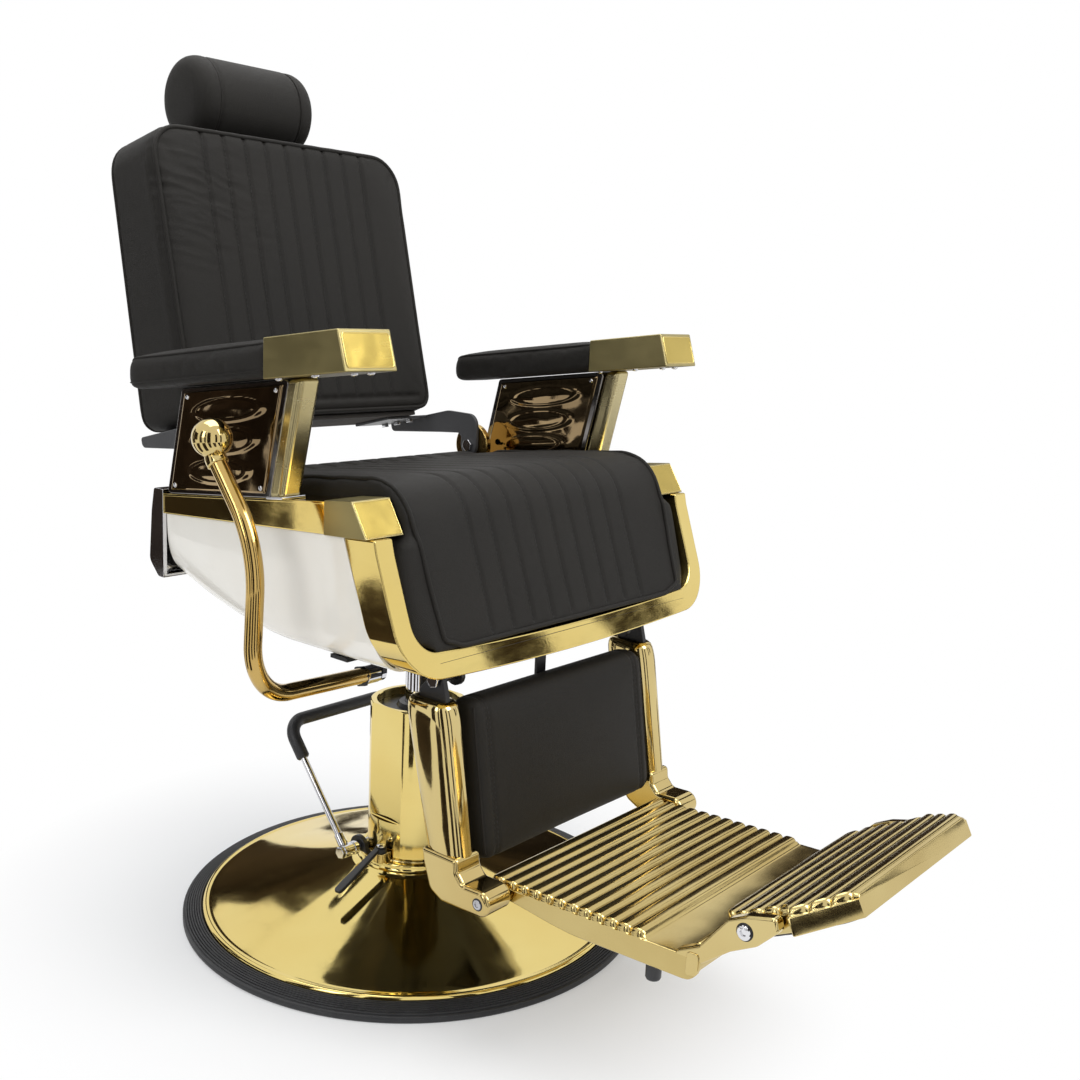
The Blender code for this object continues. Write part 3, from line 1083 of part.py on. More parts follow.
def main():
    """Build the chair from the floor up."""
    clear_scene()
    finishes = make_finishes()
    build_base(finishes)
    build_pump(finishes, add_joint("pump_axis", (0.0, PUMP_Y, PUMP_Z)))
    build_lock(finishes, add_joint("lock_axis", (LOCK_X, LOCK_Y, DISH_TOP_Z)))
    ram = add_joint("ram_axis", (0.0, 0.0, 0.0))
    build_ram(finishes, ram)
    seat = add_joint("swivel_axis", (0.0, 0.0, SEAT_Z), ram)
    build_seat_frame(finishes, seat)
    build_seat_body(finishes, seat)
    build_cushion(finishes, seat)
    build_arms(finishes, seat)
    build_hinge_discs(finishes, seat)
    back = add_joint("recline_axis", (0.0, HINGE_Y, HINGE_Z), seat)
    build_back(finishes, back)
    build_headrest(finishes, add_joint("headrest_axis", (0.0, PILLOW_Y, PILLOW_Z), back))
    lever = add_joint("recline_lever_axis", (LEVER_PIVOT_X, LEVER_PIVOT_Y, LEVER_PIVOT_Z), seat)
    build_recline_lever(finishes, seat, lever)
    leg = add_joint("leg_rest_axis", (0.0, LEG_HINGE_Y, LEG_HINGE_Z), seat)
    build_leg_rest(finishes, leg)
    foot = add_joint("foot_plate_axis", (0.0, FOOT_Y, FOOT_Z), leg)
    build_foot_plate(finishes, foot)
    build_flap(finishes, add_joint("foot_flap_axis", (0.0, FLAP_Y, FLAP_Z), foot), foot)


if __name__ == "__main__":
    main()
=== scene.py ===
"""Hydraulic barber chair: the dressed model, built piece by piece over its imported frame.

Each sub-assembly is a class that holds its sizes in metres and builds its meshes. Each finish is a small
frozen class that builds one procedural material. The frame's bodies carry every piece.
"""

from __future__ import annotations

import json
import logging
from dataclasses import dataclass
from enum import Enum
from math import asin, atan2, comb, copysign, cos, exp, hypot, pi, radians, sin, sqrt, tan, tau
from typing import Callable, Mapping, Sequence, Union

import bmesh
import bpy
import numpy as np
from mathutils import Matrix, Vector, noise

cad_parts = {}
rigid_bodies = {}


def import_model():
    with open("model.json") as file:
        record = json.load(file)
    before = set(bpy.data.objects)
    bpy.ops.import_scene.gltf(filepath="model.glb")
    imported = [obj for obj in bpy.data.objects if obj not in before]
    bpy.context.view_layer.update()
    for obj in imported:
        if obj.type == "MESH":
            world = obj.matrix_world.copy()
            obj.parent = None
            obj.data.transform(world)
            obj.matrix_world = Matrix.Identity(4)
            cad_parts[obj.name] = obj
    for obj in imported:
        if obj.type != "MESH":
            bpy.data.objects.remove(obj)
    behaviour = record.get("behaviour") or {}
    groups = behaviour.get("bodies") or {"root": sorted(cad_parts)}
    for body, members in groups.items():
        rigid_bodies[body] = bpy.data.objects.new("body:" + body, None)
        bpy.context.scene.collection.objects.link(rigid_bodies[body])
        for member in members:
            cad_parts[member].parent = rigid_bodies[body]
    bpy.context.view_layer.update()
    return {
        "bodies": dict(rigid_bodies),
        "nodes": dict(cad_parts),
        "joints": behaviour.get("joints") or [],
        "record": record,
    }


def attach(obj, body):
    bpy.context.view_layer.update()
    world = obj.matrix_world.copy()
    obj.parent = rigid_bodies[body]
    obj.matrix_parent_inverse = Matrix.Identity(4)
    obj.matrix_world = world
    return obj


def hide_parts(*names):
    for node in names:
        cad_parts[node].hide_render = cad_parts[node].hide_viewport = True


LOG = logging.getLogger("barber_chair")
GAP = 0.0003

# Angles in degrees above which an edge stays sharp, by the way that a piece is made.
HEX_EDGE = 25.0
BAR_EDGE = 30.0
TREAD_EDGE = 38.0
TUBE_EDGE = 40.0
CAST_EDGE = 45.0
PRESSED_EDGE = 50.0
NO_EDGE = 180.0

Point = Sequence[float]
Pair = tuple[float, float]
Triple = tuple[float, float, float]
Ring = list[Triple]
Thing = bpy.types.Object
Mesh = bmesh.types.BMesh


class Body(str, Enum):
    """The frame's bodies, by name."""

    BASE = "base"
    PUMP = "pump"
    LOCK = "swivel_lock"
    RAM = "ram"
    SEAT = "seat"
    BACK = "back"
    HEADREST = "headrest"
    RELEASE = "recline_release"
    LEGS = "leg_rest"
    FOOT = "foot_rest"
    FLAP = "toe_flap"


class Side(Enum):
    """The sitter's right and left: the name's ending and the sign of x."""

    RIGHT = ("right", -1.0)
    LEFT = ("left", 1.0)

    @property
    def label(self) -> str:
        """Ending of the names of this side's pieces."""
        return self.value[0]

    @property
    def sign(self) -> float:
        """Sign of x on this side."""
        return self.value[1]

    def span(self, one: float, other: float) -> Pair:
        """Two distances from the middle plane as x on this side, lowest first."""
        return tuple(sorted((self.sign * one, self.sign * other)))


# ---------------------------------------------------------------- shader graph


def operator(operation: str, reflected: bool = False) -> Callable[["Wire", "Value"], "Wire"]:
    """A method for one of Python's operators.

    Args:
        operation: The Math node's operation.
        reflected: Whether the wire stands on the right of the sign.

    Returns:
        The method, which adds the node.
    """
    def apply(wire: "Wire", other: "Value") -> "Wire":
        """Add the Math node."""
        return wire.mixed(operation, other, wire) if reflected else wire.mixed(operation, wire, other)

    return apply


class Wire:
    """One output of a node. Arithmetic on it adds Math nodes."""

    def __init__(self, graph: "Graph", socket: bpy.types.NodeSocket) -> None:
        """Wrap a socket.

        Args:
            graph: The graph that owns the node.
            socket: The node's output.
        """
        self.graph = graph
        self.socket = socket

    def mixed(self, operation: str, first: "Value", second: "Value" = 0.0) -> "Wire":
        """Add one Math node.

        Args:
            operation: The Math node's operation.
            first: Its first value.
            second: Its second value.

        Returns:
            The node's output.
        """
        return self.graph.node("ShaderNodeMath", {"operation": operation}, {0: first, 1: second})

    __add__, __radd__ = operator("ADD"), operator("ADD", True)
    __sub__, __rsub__ = operator("SUBTRACT"), operator("SUBTRACT", True)
    __mul__, __rmul__ = operator("MULTIPLY"), operator("MULTIPLY", True)
    __truediv__, __pow__ = operator("DIVIDE"), operator("POWER")

    def at_least(self, other: "Value") -> "Wire":
        """The larger of two values."""
        return self.mixed("MAXIMUM", self, other)

    def clipped(self) -> "Wire":
        """The value kept from 0 to 1."""
        return self.mixed("MINIMUM", self.mixed("MAXIMUM", self, 0.0), 1.0)

    def ramp(self, low: float, high: float) -> "Wire":
        """0 at low, 1 at high and straight between them.

        Args:
            low: Value that gives 0.
            high: Value that gives 1.

        Returns:
            The clipped share.
        """
        return ((self - low) / (high - low)).clipped()


Value = Union[Wire, float, int, tuple]


class Graph:
    """The node graph of one material."""

    def __init__(self, name: str) -> None:
        """Start an empty material with a Principled BSDF.

        Args:
            name: The material's name.
        """
        self.material = bpy.data.materials.new(name)
        self.material.use_nodes = True
        self.tree = self.material.node_tree
        self.shader = self.tree.nodes["Principled BSDF"]

    def node(self, kind: str, settings: Mapping[str, object] | None = None,
             sockets: Mapping[Union[str, int], Value] | None = None, output: Union[str, int] = 0) -> Wire:
        """Add a node of any kind.

        Args:
            kind: The node's type.
            settings: Its properties, set first. The key stops fills a colour ramp.
            sockets: Values or links of its inputs.
            output: The output that is returned.

        Returns:
            The chosen output.
        """
        made = self.tree.nodes.new(kind)
        for key, value in (settings or {}).items():
            if key == "stops":
                elements = made.color_ramp.elements
                while len(elements) < len(value):
                    elements.new(0.5)
                for element, (place, colour) in zip(elements, value):
                    element.position = place
                    element.color = (*colour, 1.0)
            else:
                setattr(made, key, value)
        for key, value in (sockets or {}).items():
            self._feed(made.inputs[key], value)
        return Wire(self, made.outputs[output])

    def _feed(self, entry: bpy.types.NodeSocket, value: Value) -> None:
        """Link a wire to an input, or set its value."""
        if isinstance(value, Wire):
            self.tree.links.new(value.socket, entry)
        elif isinstance(value, tuple) and len(value) == 3 and entry.type == "RGBA":
            entry.default_value = (*value, 1.0)
        else:
            entry.default_value = value

    def position(self) -> Wire:
        """The surface point at rest, in metres."""
        return self.node("ShaderNodeTexCoord", output="Object")

    def stretched(self, scale: Point) -> Wire:
        """The surface point, scaled along each axis.

        Args:
            scale: Factor along x, y and z.

        Returns:
            The scaled point.
        """
        return self.node("ShaderNodeVectorMath", {"operation": "MULTIPLY"}, {0: self.position(), 1: tuple(scale)})

    def noise(self, scale: float, detail: float = 2.0, roughness: float = 0.5, vector: Wire | None = None) -> Wire:
        """Fractal noise from about 0 to 1.

        Args:
            scale: Waves per metre.
            detail: Octaves.
            roughness: Weight of the finer octaves.
            vector: Point to read at, or the surface point.

        Returns:
            The noise value.
        """
        place = vector or self.position()
        return self.node("ShaderNodeTexNoise", None,
                         {"Vector": place, "Scale": scale, "Detail": detail, "Roughness": roughness})

    def cells(self, scale: float, feature: str = "F1", randomness: float = 1.0, vector: Wire | None = None) -> Wire:
        """Distance to the nearest cell centre or cell edge.

        Args:
            scale: Cells per metre.
            feature: F1 or DISTANCE_TO_EDGE.
            randomness: From an even grid, 0, to a random one, 1.
            vector: Point to read at, or the surface point.

        Returns:
            The distance.
        """
        place = vector or self.position()
        return self.node("ShaderNodeTexVoronoi", {"feature": feature},
                         {"Vector": place, "Scale": scale, "Randomness": randomness}, "Distance")

    def blend(self, share: Value, first: Value, second: Value) -> Wire:
        """Mix two colours.

        Args:
            share: 0 gives the first, 1 the second.
            first: A colour.
            second: A colour.

        Returns:
            The mixed colour.
        """
        made = self.tree.nodes.new("ShaderNodeMix")
        made.data_type = "RGBA"
        colours = [entry for entry in made.inputs if entry.type == "RGBA"]
        self._feed(made.inputs[0], share)
        self._feed(colours[0], first)
        self._feed(colours[1], second)
        return Wire(self, next(out for out in made.outputs if out.type == "RGBA"))

    def bump(self, height: Wire, distance: float, strength: float = 1.0) -> None:
        """Feed a height to the shader's normal.

        Args:
            height: The height, about 0 to 1.
            distance: Metres that a height of 1 stands for.
            strength: Share of the effect.
        """
        normal = self.node("ShaderNodeBump", None, {"Height": height, "Distance": distance, "Strength": strength},
                           "Normal")
        self.feed(Normal=normal)

    def feed(self, **values: Value) -> None:
        """Set or link inputs of the Principled BSDF, with spaces in their names written as underscores."""
        for key, value in values.items():
            self._feed(self.shader.inputs[key.replace("_", " ")], value)


# ---------------------------------------------------------------- finishes


@dataclass(frozen=True)
class Coating:
    """A finish: the material's name, its slot in the record, which is not used, and its main colour."""

    name: str
    slot: str
    colour: Triple

    def build(self) -> bpy.types.Material:
        """Build the material."""
        graph = Graph(self.name)
        self.paint(graph)
        return graph.material

    def paint(self, graph: Graph) -> None:
        """Lay the nodes. Each finish has its own."""
        raise NotImplementedError


@dataclass(frozen=True)
class MirrorPlate(Coating):
    """Polished plating on sheet or castings, with slow waves in the metal and faint handling marks."""

    deep: Triple
    roughness: float = 0.06
    wave: float = 0.0016
    wave_scale: float = 9.0

    def paint(self, graph: Graph) -> None:
        """Lay the nodes."""
        cloud = graph.noise(5.0, 3.0)
        wipe = graph.noise(26.0, 5.0, 0.65, graph.stretched((1.0, 1.0, 2.4)))
        specks = graph.cells(420.0).ramp(0.16, 0.05)
        graph.feed(Base_Color=graph.blend(cloud.ramp(0.35, 0.7), self.colour, self.deep), Metallic=1.0)
        graph.feed(Roughness=self.roughness + wipe.ramp(0.45, 0.8) * 0.07 + specks * 0.03)
        waves = graph.noise(self.wave_scale, 1.0, 0.4)
        peel = graph.noise(330.0, 2.0, 0.5)
        graph.bump(waves + peel * 0.006, self.wave)


@dataclass(frozen=True)
class Hide(Coating):
    """Soft black upholstery leather: fine pebbled grain, slow creases and a worn sheen."""

    colour: Triple = (0.0125, 0.0112, 0.0095)
    worn: Triple = (0.02, 0.018, 0.0155)
    grain: float = 620.0

    def paint(self, graph: Graph) -> None:
        """Lay the nodes."""
        patch = graph.noise(7.0, 4.0, 0.6)
        grain = graph.cells(self.grain, "DISTANCE_TO_EDGE")
        pores = graph.noise(1900.0, 2.0, 0.6)
        tone = patch.ramp(0.35, 0.72) * 0.75 + grain.ramp(0.0, 0.14) * 0.25
        graph.feed(Base_Color=graph.blend(tone, self.colour, self.worn))
        graph.feed(Roughness=0.56 + patch.ramp(0.3, 0.7) * 0.1 - grain.ramp(0.0, 0.2) * 0.05)
        graph.shader.inputs["Specular IOR Level"].default_value = 0.17
        graph.shader.inputs["Sheen Weight"].default_value = 0.02
        graph.shader.inputs["Sheen Roughness"].default_value = 0.45
        creases = graph.noise(38.0, 4.0, 0.55, graph.stretched((1.0, 1.0, 0.45)))
        graph.bump(grain.ramp(0.0, 0.22) * 0.3 + pores * 0.12 + creases * 0.5, 0.0008, 0.7)


@dataclass(frozen=True)
class Rubber(Coating):
    """Black moulded rubber with a dull skin and dust in its hollows."""

    colour: Triple = (0.016, 0.016, 0.017)
    roughness: float = 0.55

    def paint(self, graph: Graph) -> None:
        """Lay the nodes."""
        dust = graph.noise(45.0, 5.0, 0.65)
        skin = graph.noise(900.0, 2.0)
        graph.feed(Base_Color=graph.blend(dust.ramp(0.45, 0.8), self.colour, (0.036, 0.036, 0.037)))
        graph.feed(Roughness=self.roughness + dust.ramp(0.4, 0.8) * 0.15)
        graph.bump(skin * 0.5 + dust, 0.0004, 0.7)


@dataclass(frozen=True)
class BlackPaint(Coating):
    """Black paint over steel: slight orange peel, edges rubbed towards grey."""

    colour: Triple = (0.018, 0.018, 0.02)
    roughness: float = 0.32

    def paint(self, graph: Graph) -> None:
        """Lay the nodes."""
        peel = graph.noise(260.0, 2.0)
        rub = graph.noise(30.0, 5.0, 0.7)
        graph.feed(Base_Color=graph.blend(rub.ramp(0.62, 0.85), self.colour, (0.075, 0.075, 0.078)))
        graph.feed(Roughness=self.roughness + rub.ramp(0.4, 0.8) * 0.14, Metallic=0.2)
        graph.bump(peel, 0.00025, 0.7)


@dataclass(frozen=True)
class Pearl(Coating):
    """Glossy pearl-white moulded shell with a faint cloudy depth."""

    colour: Triple = (0.81, 0.775, 0.7)

    def paint(self, graph: Graph) -> None:
        """Lay the nodes."""
        cloud = graph.noise(8.0, 4.0, 0.55)
        flake = graph.cells(1500.0).ramp(0.35, 0.1)
        tone = cloud.ramp(0.3, 0.75) * 0.8 + flake * 0.2
        graph.feed(Base_Color=graph.blend(tone, self.colour, (0.86, 0.835, 0.77)))
        graph.feed(Roughness=0.16 + cloud.ramp(0.3, 0.8) * 0.08)
        graph.shader.inputs["Coat Weight"].default_value = 0.6
        graph.shader.inputs["Coat Roughness"].default_value = 0.05
        graph.bump(graph.noise(240.0, 2.0) * 0.05 + cloud, 0.0008, 0.5)


@dataclass(frozen=True)
class GroundSteel(Coating):
    """Ground and oiled steel with fine turning marks along z."""

    colour: Triple = (0.52, 0.52, 0.54)

    def paint(self, graph: Graph) -> None:
        """Lay the nodes."""
        lines = graph.noise(900.0, 2.0, 0.5, graph.stretched((0.08, 0.08, 1.0)))
        film = graph.noise(22.0, 4.0)
        graph.feed(Base_Color=graph.blend(film.ramp(0.4, 0.8), self.colour, (0.36, 0.35, 0.34)), Metallic=1.0)
        graph.feed(Roughness=0.18 + lines.ramp(0.3, 0.7) * 0.12)
        graph.bump(lines, 0.0001, 0.5)


@dataclass(frozen=True)
class Plywood(Coating):
    """Plywood under thin black lining cloth: a woven surface over faint ply layers."""

    colour: Triple = (0.03, 0.027, 0.024)

    def paint(self, graph: Graph) -> None:
        """Lay the nodes."""
        warp = graph.node("ShaderNodeTexWave", {"wave_type": "BANDS", "bands_direction": "X"},
                          {"Vector": graph.position(), "Scale": 260.0, "Distortion": 0.6}, "Fac")
        weft = graph.node("ShaderNodeTexWave", {"wave_type": "BANDS", "bands_direction": "Y"},
                          {"Vector": graph.position(), "Scale": 260.0, "Distortion": 0.6}, "Fac")
        ply = graph.noise(60.0, 3.0, 0.5, graph.stretched((0.2, 0.2, 4.0)))
        graph.feed(Base_Color=graph.blend(ply.ramp(0.35, 0.75), self.colour, (0.062, 0.052, 0.042)))
        graph.feed(Roughness=0.82 + ply * 0.1)
        graph.bump(warp * weft, 0.0002, 0.8)


@dataclass(frozen=True)
class Thread(Coating):
    """Waxed black stitching thread with its twist."""

    colour: Triple = (0.012, 0.012, 0.012)

    def paint(self, graph: Graph) -> None:
        """Lay the nodes."""
        twist = graph.noise(1600.0, 1.0, 0.5)
        graph.feed(Base_Color=graph.blend(twist, self.colour, (0.035, 0.033, 0.031)), Roughness=0.6 + twist * 0.2)
        graph.bump(twist, 0.0002, 0.8)


GOLD = MirrorPlate("plated_gold_sheet", "gold_sheet", (0.78, 0.625, 0.235), (0.74, 0.56, 0.185))
GOLD_CAST = MirrorPlate("plated_gold_casting", "gold_cast", (0.67, 0.54, 0.245), (0.58, 0.44, 0.18), 0.07, 0.001,
                        14.0)
GOLD_TREAD = MirrorPlate("worn_gold_tread", "gold_sheet", (0.62, 0.495, 0.215), (0.5, 0.37, 0.135), 0.13, 0.0012,
                         12.0)
GOLD_SATIN = MirrorPlate("rubbed_gold_face", "gold_sheet", (0.6, 0.46, 0.13), (0.42, 0.31, 0.075), 0.24, 0.001, 30.0)
GOLD_TUBE = MirrorPlate("plated_gold_tube", "gold_sheet", (0.62, 0.44, 0.16), (0.55, 0.37, 0.12), 0.09, 0.0004, 20.0)
# Darker, rougher copy of the gold for the arm caps and the rail end blocks. The satin roughness is the finish; the
# darker colour is painted shade, standing in for the dark surroundings that these faces reflect.
GOLD_CAP = MirrorPlate("cap_gold_darkened_painted_shade", "gold_sheet", (0.46, 0.39, 0.185), (0.34, 0.285, 0.125), 0.34, 0.001, 24.0)
GOLD_POST = MirrorPlate("champagne_post", "gold_sheet", (0.62, 0.54, 0.31), (0.5, 0.42, 0.21), 0.24, 0.0008, 18.0)
BRONZE_SKIN = MirrorPlate("bronze_mirror_skin", "gold_sheet", (0.4, 0.29, 0.155), (0.2, 0.14, 0.075), 0.05, 0.003,
                          16.0)
CHROME = MirrorPlate("bright_chrome", "chrome", (0.78, 0.78, 0.8), (0.7, 0.7, 0.73), 0.06, 0.0006, 14.0)
SMOKED = MirrorPlate("smoked_chrome", "dark_chrome", (0.3, 0.28, 0.27), (0.2, 0.19, 0.18), 0.08, 0.0008, 14.0)
HIDE = Hide("soft_black_leather", "black_leather")
RUBBER = Rubber("ribbed_black_rubber", "black_rubber", (0.02, 0.02, 0.022), 0.42)
PAINT = BlackPaint("black_frame_paint", "black_steel")
GREY_PAINT = BlackPaint("grey_bracket_paint", "black_steel", (0.08, 0.08, 0.083), 0.34)
PEARL = Pearl("pearl_shell_gloss", "pearl_shell")
STEEL = GroundSteel("ground_steel", "bare_steel")
PLYWOOD = Plywood("lined_plywood", "plywood")
THREAD = Thread("stitch_thread", "black_leather")


class Finishes:
    """Builds each finish once and hands out its material."""

    def __init__(self) -> None:
        """Start with no material built."""
        self._made: dict[str, bpy.types.Material] = {}

    def material(self, finish: Coating) -> bpy.types.Material:
        """The material of a finish.

        Args:
            finish: The finish to look up or build.

        Returns:
            Its material.
        """
        if finish.name not in self._made:
            self._made[finish.name] = finish.build()
        return self._made[finish.name]


# ---------------------------------------------------------------- shapes


def arc(centre: Point, radius: float, start: float, end: float, steps: int) -> list[Pair]:
    """Points of an arc in a plane.

    Args:
        centre: Its centre.
        radius: Its radius.
        start: First angle in radians.
        end: Last angle in radians.
        steps: Number of chords.

    Returns:
        The points, both ends among them.
    """
    return [(centre[0] + radius * cos(start + (end - start) * i / steps), centre[1]
             + radius * sin(start + (end - start) * i / steps)) for i in range(steps + 1)]


def rounded(points: Sequence[Point], radii: Union[float, Sequence[float]], steps: int = 5) -> list[Pair]:
    """A closed outline with its corners rounded.

    Args:
        points: The outline's corners.
        radii: One radius, or one for each corner.
        steps: Chords in each corner.

    Returns:
        The rounded outline.
    """
    sizes = [radii] * len(points) if isinstance(radii, (int, float)) else list(radii)
    made: list[Pair] = []
    for index, (corner, radius) in enumerate(zip(points, sizes)):
        here = Vector(corner).to_2d()
        back = Vector(points[index - 1]).to_2d() - here
        ahead = Vector(points[(index + 1) % len(points)]).to_2d() - here
        if radius <= 0 or back.length < 1e-9 or ahead.length < 1e-9:
            made.append((here.x, here.y))
            continue
        half = back.angle(ahead) / 2
        reach = min(radius / tan(half), back.length * 0.48, ahead.length * 0.48)
        first = here + back.normalized() * reach
        last = here + ahead.normalized() * reach
        real = reach * tan(half)
        middle = here + (back.normalized() + ahead.normalized()).normalized() * (real / sin(half))
        one = (first - middle)
        two = (last - middle)
        turn = one.angle(two) * (1 if one.x * two.y - one.y * two.x > 0 else -1)
        begin = atan2(one.y, one.x)
        made += [tuple(middle + Vector((cos(begin + turn * i / steps), sin(begin + turn * i / steps))) * real)
                 for i in range(steps + 1)]
    return made


def rounded_loop(corners: Sequence[Vector], radius: float) -> list[Vector]:
    """A closed loop through corners, with each corner rounded."""
    made = []
    for index, here in enumerate(corners):
        back = (corners[index - 1] - here).normalized() * radius
        ahead = (corners[(index + 1) % len(corners)] - here).normalized() * radius
        for step in range(6):
            t = step / 5
            made.append((here + back) * (1 - t) ** 2 + here * 2 * t * (1 - t) + (here + ahead) * t ** 2)
    return made


def loft(rings: Sequence[Sequence[Point]], capped: bool = True) -> Mesh:
    """A skin through rings of points, closed at both ends unless told otherwise.

    Args:
        rings: Rings with the same number of points.
        capped: Whether the first and last ring are filled.

    Returns:
        The mesh.
    """
    mesh = bmesh.new()
    rows = [[mesh.verts.new(point) for point in ring] for ring in rings]
    for low, high in zip(rows, rows[1:]):
        for index in range(len(low)):
            after = (index + 1) % len(low)
            mesh.faces.new((low[index], low[after], high[after], high[index]))
    if capped:
        mesh.faces.new(list(reversed(rows[0])))
        mesh.faces.new(rows[-1])
    return mesh


def looped(rings: Sequence[Sequence[Point]]) -> Mesh:
    """A skin through rings whose last ring joins the first, such as a closed piping.

    Args:
        rings: Rings with the same number of points.

    Returns:
        The mesh.
    """
    mesh = bmesh.new()
    rows = [[mesh.verts.new(point) for point in ring] for ring in rings]
    for row, low in enumerate(rows):
        high = rows[(row + 1) % len(rows)]
        for index in range(len(low)):
            after = (index + 1) % len(low)
            mesh.faces.new((low[index], low[after], high[after], high[index]))
    return mesh


def prism_x(outline: Sequence[Point], x_low: float, x_high: float) -> Mesh:
    """An outline in (y, z) extruded from one x to another."""
    return loft([[(x, y, z) for y, z in outline] for x in (x_low, x_high)])


def across(side: Side, centre: float, width: float) -> Pair:
    """The two x of a strip on one side, lowest first."""
    return side.span(centre - width / 2, centre + width / 2)


def turned(profile: Sequence[Point], steps: int = 96, axis: Point = (0.0, 0.0)) -> Mesh:
    """A closed profile of (radius, z) turned about an upright axis.

    Args:
        profile: Closed outline in radius and height. A radius of 0 makes a pole.
        steps: Sides round the axis.
        axis: x and y of the axis.

    Returns:
        The mesh.
    """
    rings = []
    for step in range(steps):
        angle = tau * step / steps
        rings.append([(axis[0] + r * cos(angle), axis[1] + r * sin(angle), z) for r, z in profile])
    mesh = looped(rings)
    bmesh.ops.remove_doubles(mesh, verts=mesh.verts, dist=1e-6)
    return mesh


def frame_along(path: Sequence[Vector], closed: bool = False) -> list[tuple[Vector, Vector, Vector]]:
    """Tangent and two square directions at each point of a path, without twist.

    Args:
        path: Points along the way.
        closed: Whether the last point joins the first.

    Returns:
        Tangent, side and other for each point.
    """
    count = len(path)
    tangents = []
    for index in range(count):
        before = path[index - 1] if index or closed else path[0]
        after = path[(index + 1) % count] if index < count - 1 or closed else path[-1]
        tangents.append((after - before).normalized())
    side = tangents[0].orthogonal().normalized()
    made = []
    for tangent in tangents:
        side = (side - tangent * side.dot(tangent)).normalized()
        made.append((tangent, side, tangent.cross(side)))
    return made


def bent_path(points: Sequence[Point], bends: Union[float, Sequence[float]], steps: int = 12) -> list[Vector]:
    """A path of straight runs with each corner bent to a radius.

    Args:
        points: The corners.
        bends: One radius, or one for each inner corner.
        steps: Points in each bend.

    Returns:
        The path.
    """
    path = [Vector(points[0])]
    sizes = [bends] * len(points) if isinstance(bends, (int, float)) else list(bends)
    for bend, before, corner, after in zip(sizes, points, points[1:], points[2:]):
        here = Vector(corner)
        back = Vector(before) - here
        ahead = Vector(after) - here
        half = back.angle(ahead) / 2
        reach = min(bend / tan(half), back.length * 0.495, ahead.length * 0.495)
        first = here + back.normalized() * reach
        middle = here + (back.normalized() + ahead.normalized()).normalized() * (reach / cos(half))
        axis = (first - middle).cross(here + ahead.normalized() * reach - middle)
        for step in range(steps + 1):
            turn = Matrix.Rotation((pi - 2 * half) * step / steps, 3, axis)
            path.append(middle + turn @ (first - middle))
    path.append(Vector(points[-1]))
    return path


def tube(path: Sequence[Vector], radius: Union[float, Sequence[float]], sides: int = 24,
         closed: bool = False) -> Mesh:
    """A round bar along a path.

    Args:
        path: Points along the way.
        radius: One radius, or one at each point.
        sides: Sides of the bar.
        closed: Whether it closes on itself.

    Returns:
        The mesh.
    """
    radii = [radius] * len(path) if isinstance(radius, (int, float)) else list(radius)
    rings = []
    for centre, size, (_, side, other) in zip(path, radii, frame_along(path, closed)):
        turns = [tau * step / sides for step in range(sides)]
        rings.append([centre + (side * cos(a) + other * sin(a)) * size for a in turns])
    return looped(rings) if closed else loft(rings)


def bar(start: Point, end: Point, radius: float, sides: int = 32, chamfer: float = 0.0006) -> Mesh:
    """A straight round bar with chamfered ends.

    Args:
        start: Centre of one end.
        end: Centre of the other.
        radius: Its radius.
        sides: Sides of the bar.
        chamfer: Width of the chamfers.

    Returns:
        The mesh.
    """
    one, two = Vector(start), Vector(end)
    ahead = (two - one).normalized() * chamfer
    return tube([one, one + ahead, two - ahead, two], [radius - chamfer, radius, radius, radius - chamfer], sides)


def joined(*meshes: Mesh) -> Mesh:
    """Several meshes as one, each still a body of its own."""
    whole = meshes[0]
    for mesh in meshes[1:]:
        data = bpy.data.meshes.new("part")
        mesh.to_mesh(data)
        mesh.free()
        whole.from_mesh(data)
        bpy.data.meshes.remove(data)
    return whole


def placed(name: str, data: bpy.types.ID) -> Thing:
    """A new object of the scene that shows a mesh, a lamp or a camera."""
    thing = bpy.data.objects.new(name, data)
    bpy.context.scene.collection.objects.link(thing)
    return thing


def solid(name: str, mesh: Mesh) -> Thing:
    """A new object from a working mesh, which is used up."""
    bmesh.ops.recalc_face_normals(mesh, faces=mesh.faces)
    data = bpy.data.meshes.new(name)
    mesh.to_mesh(data)
    mesh.free()
    return placed(name, data)


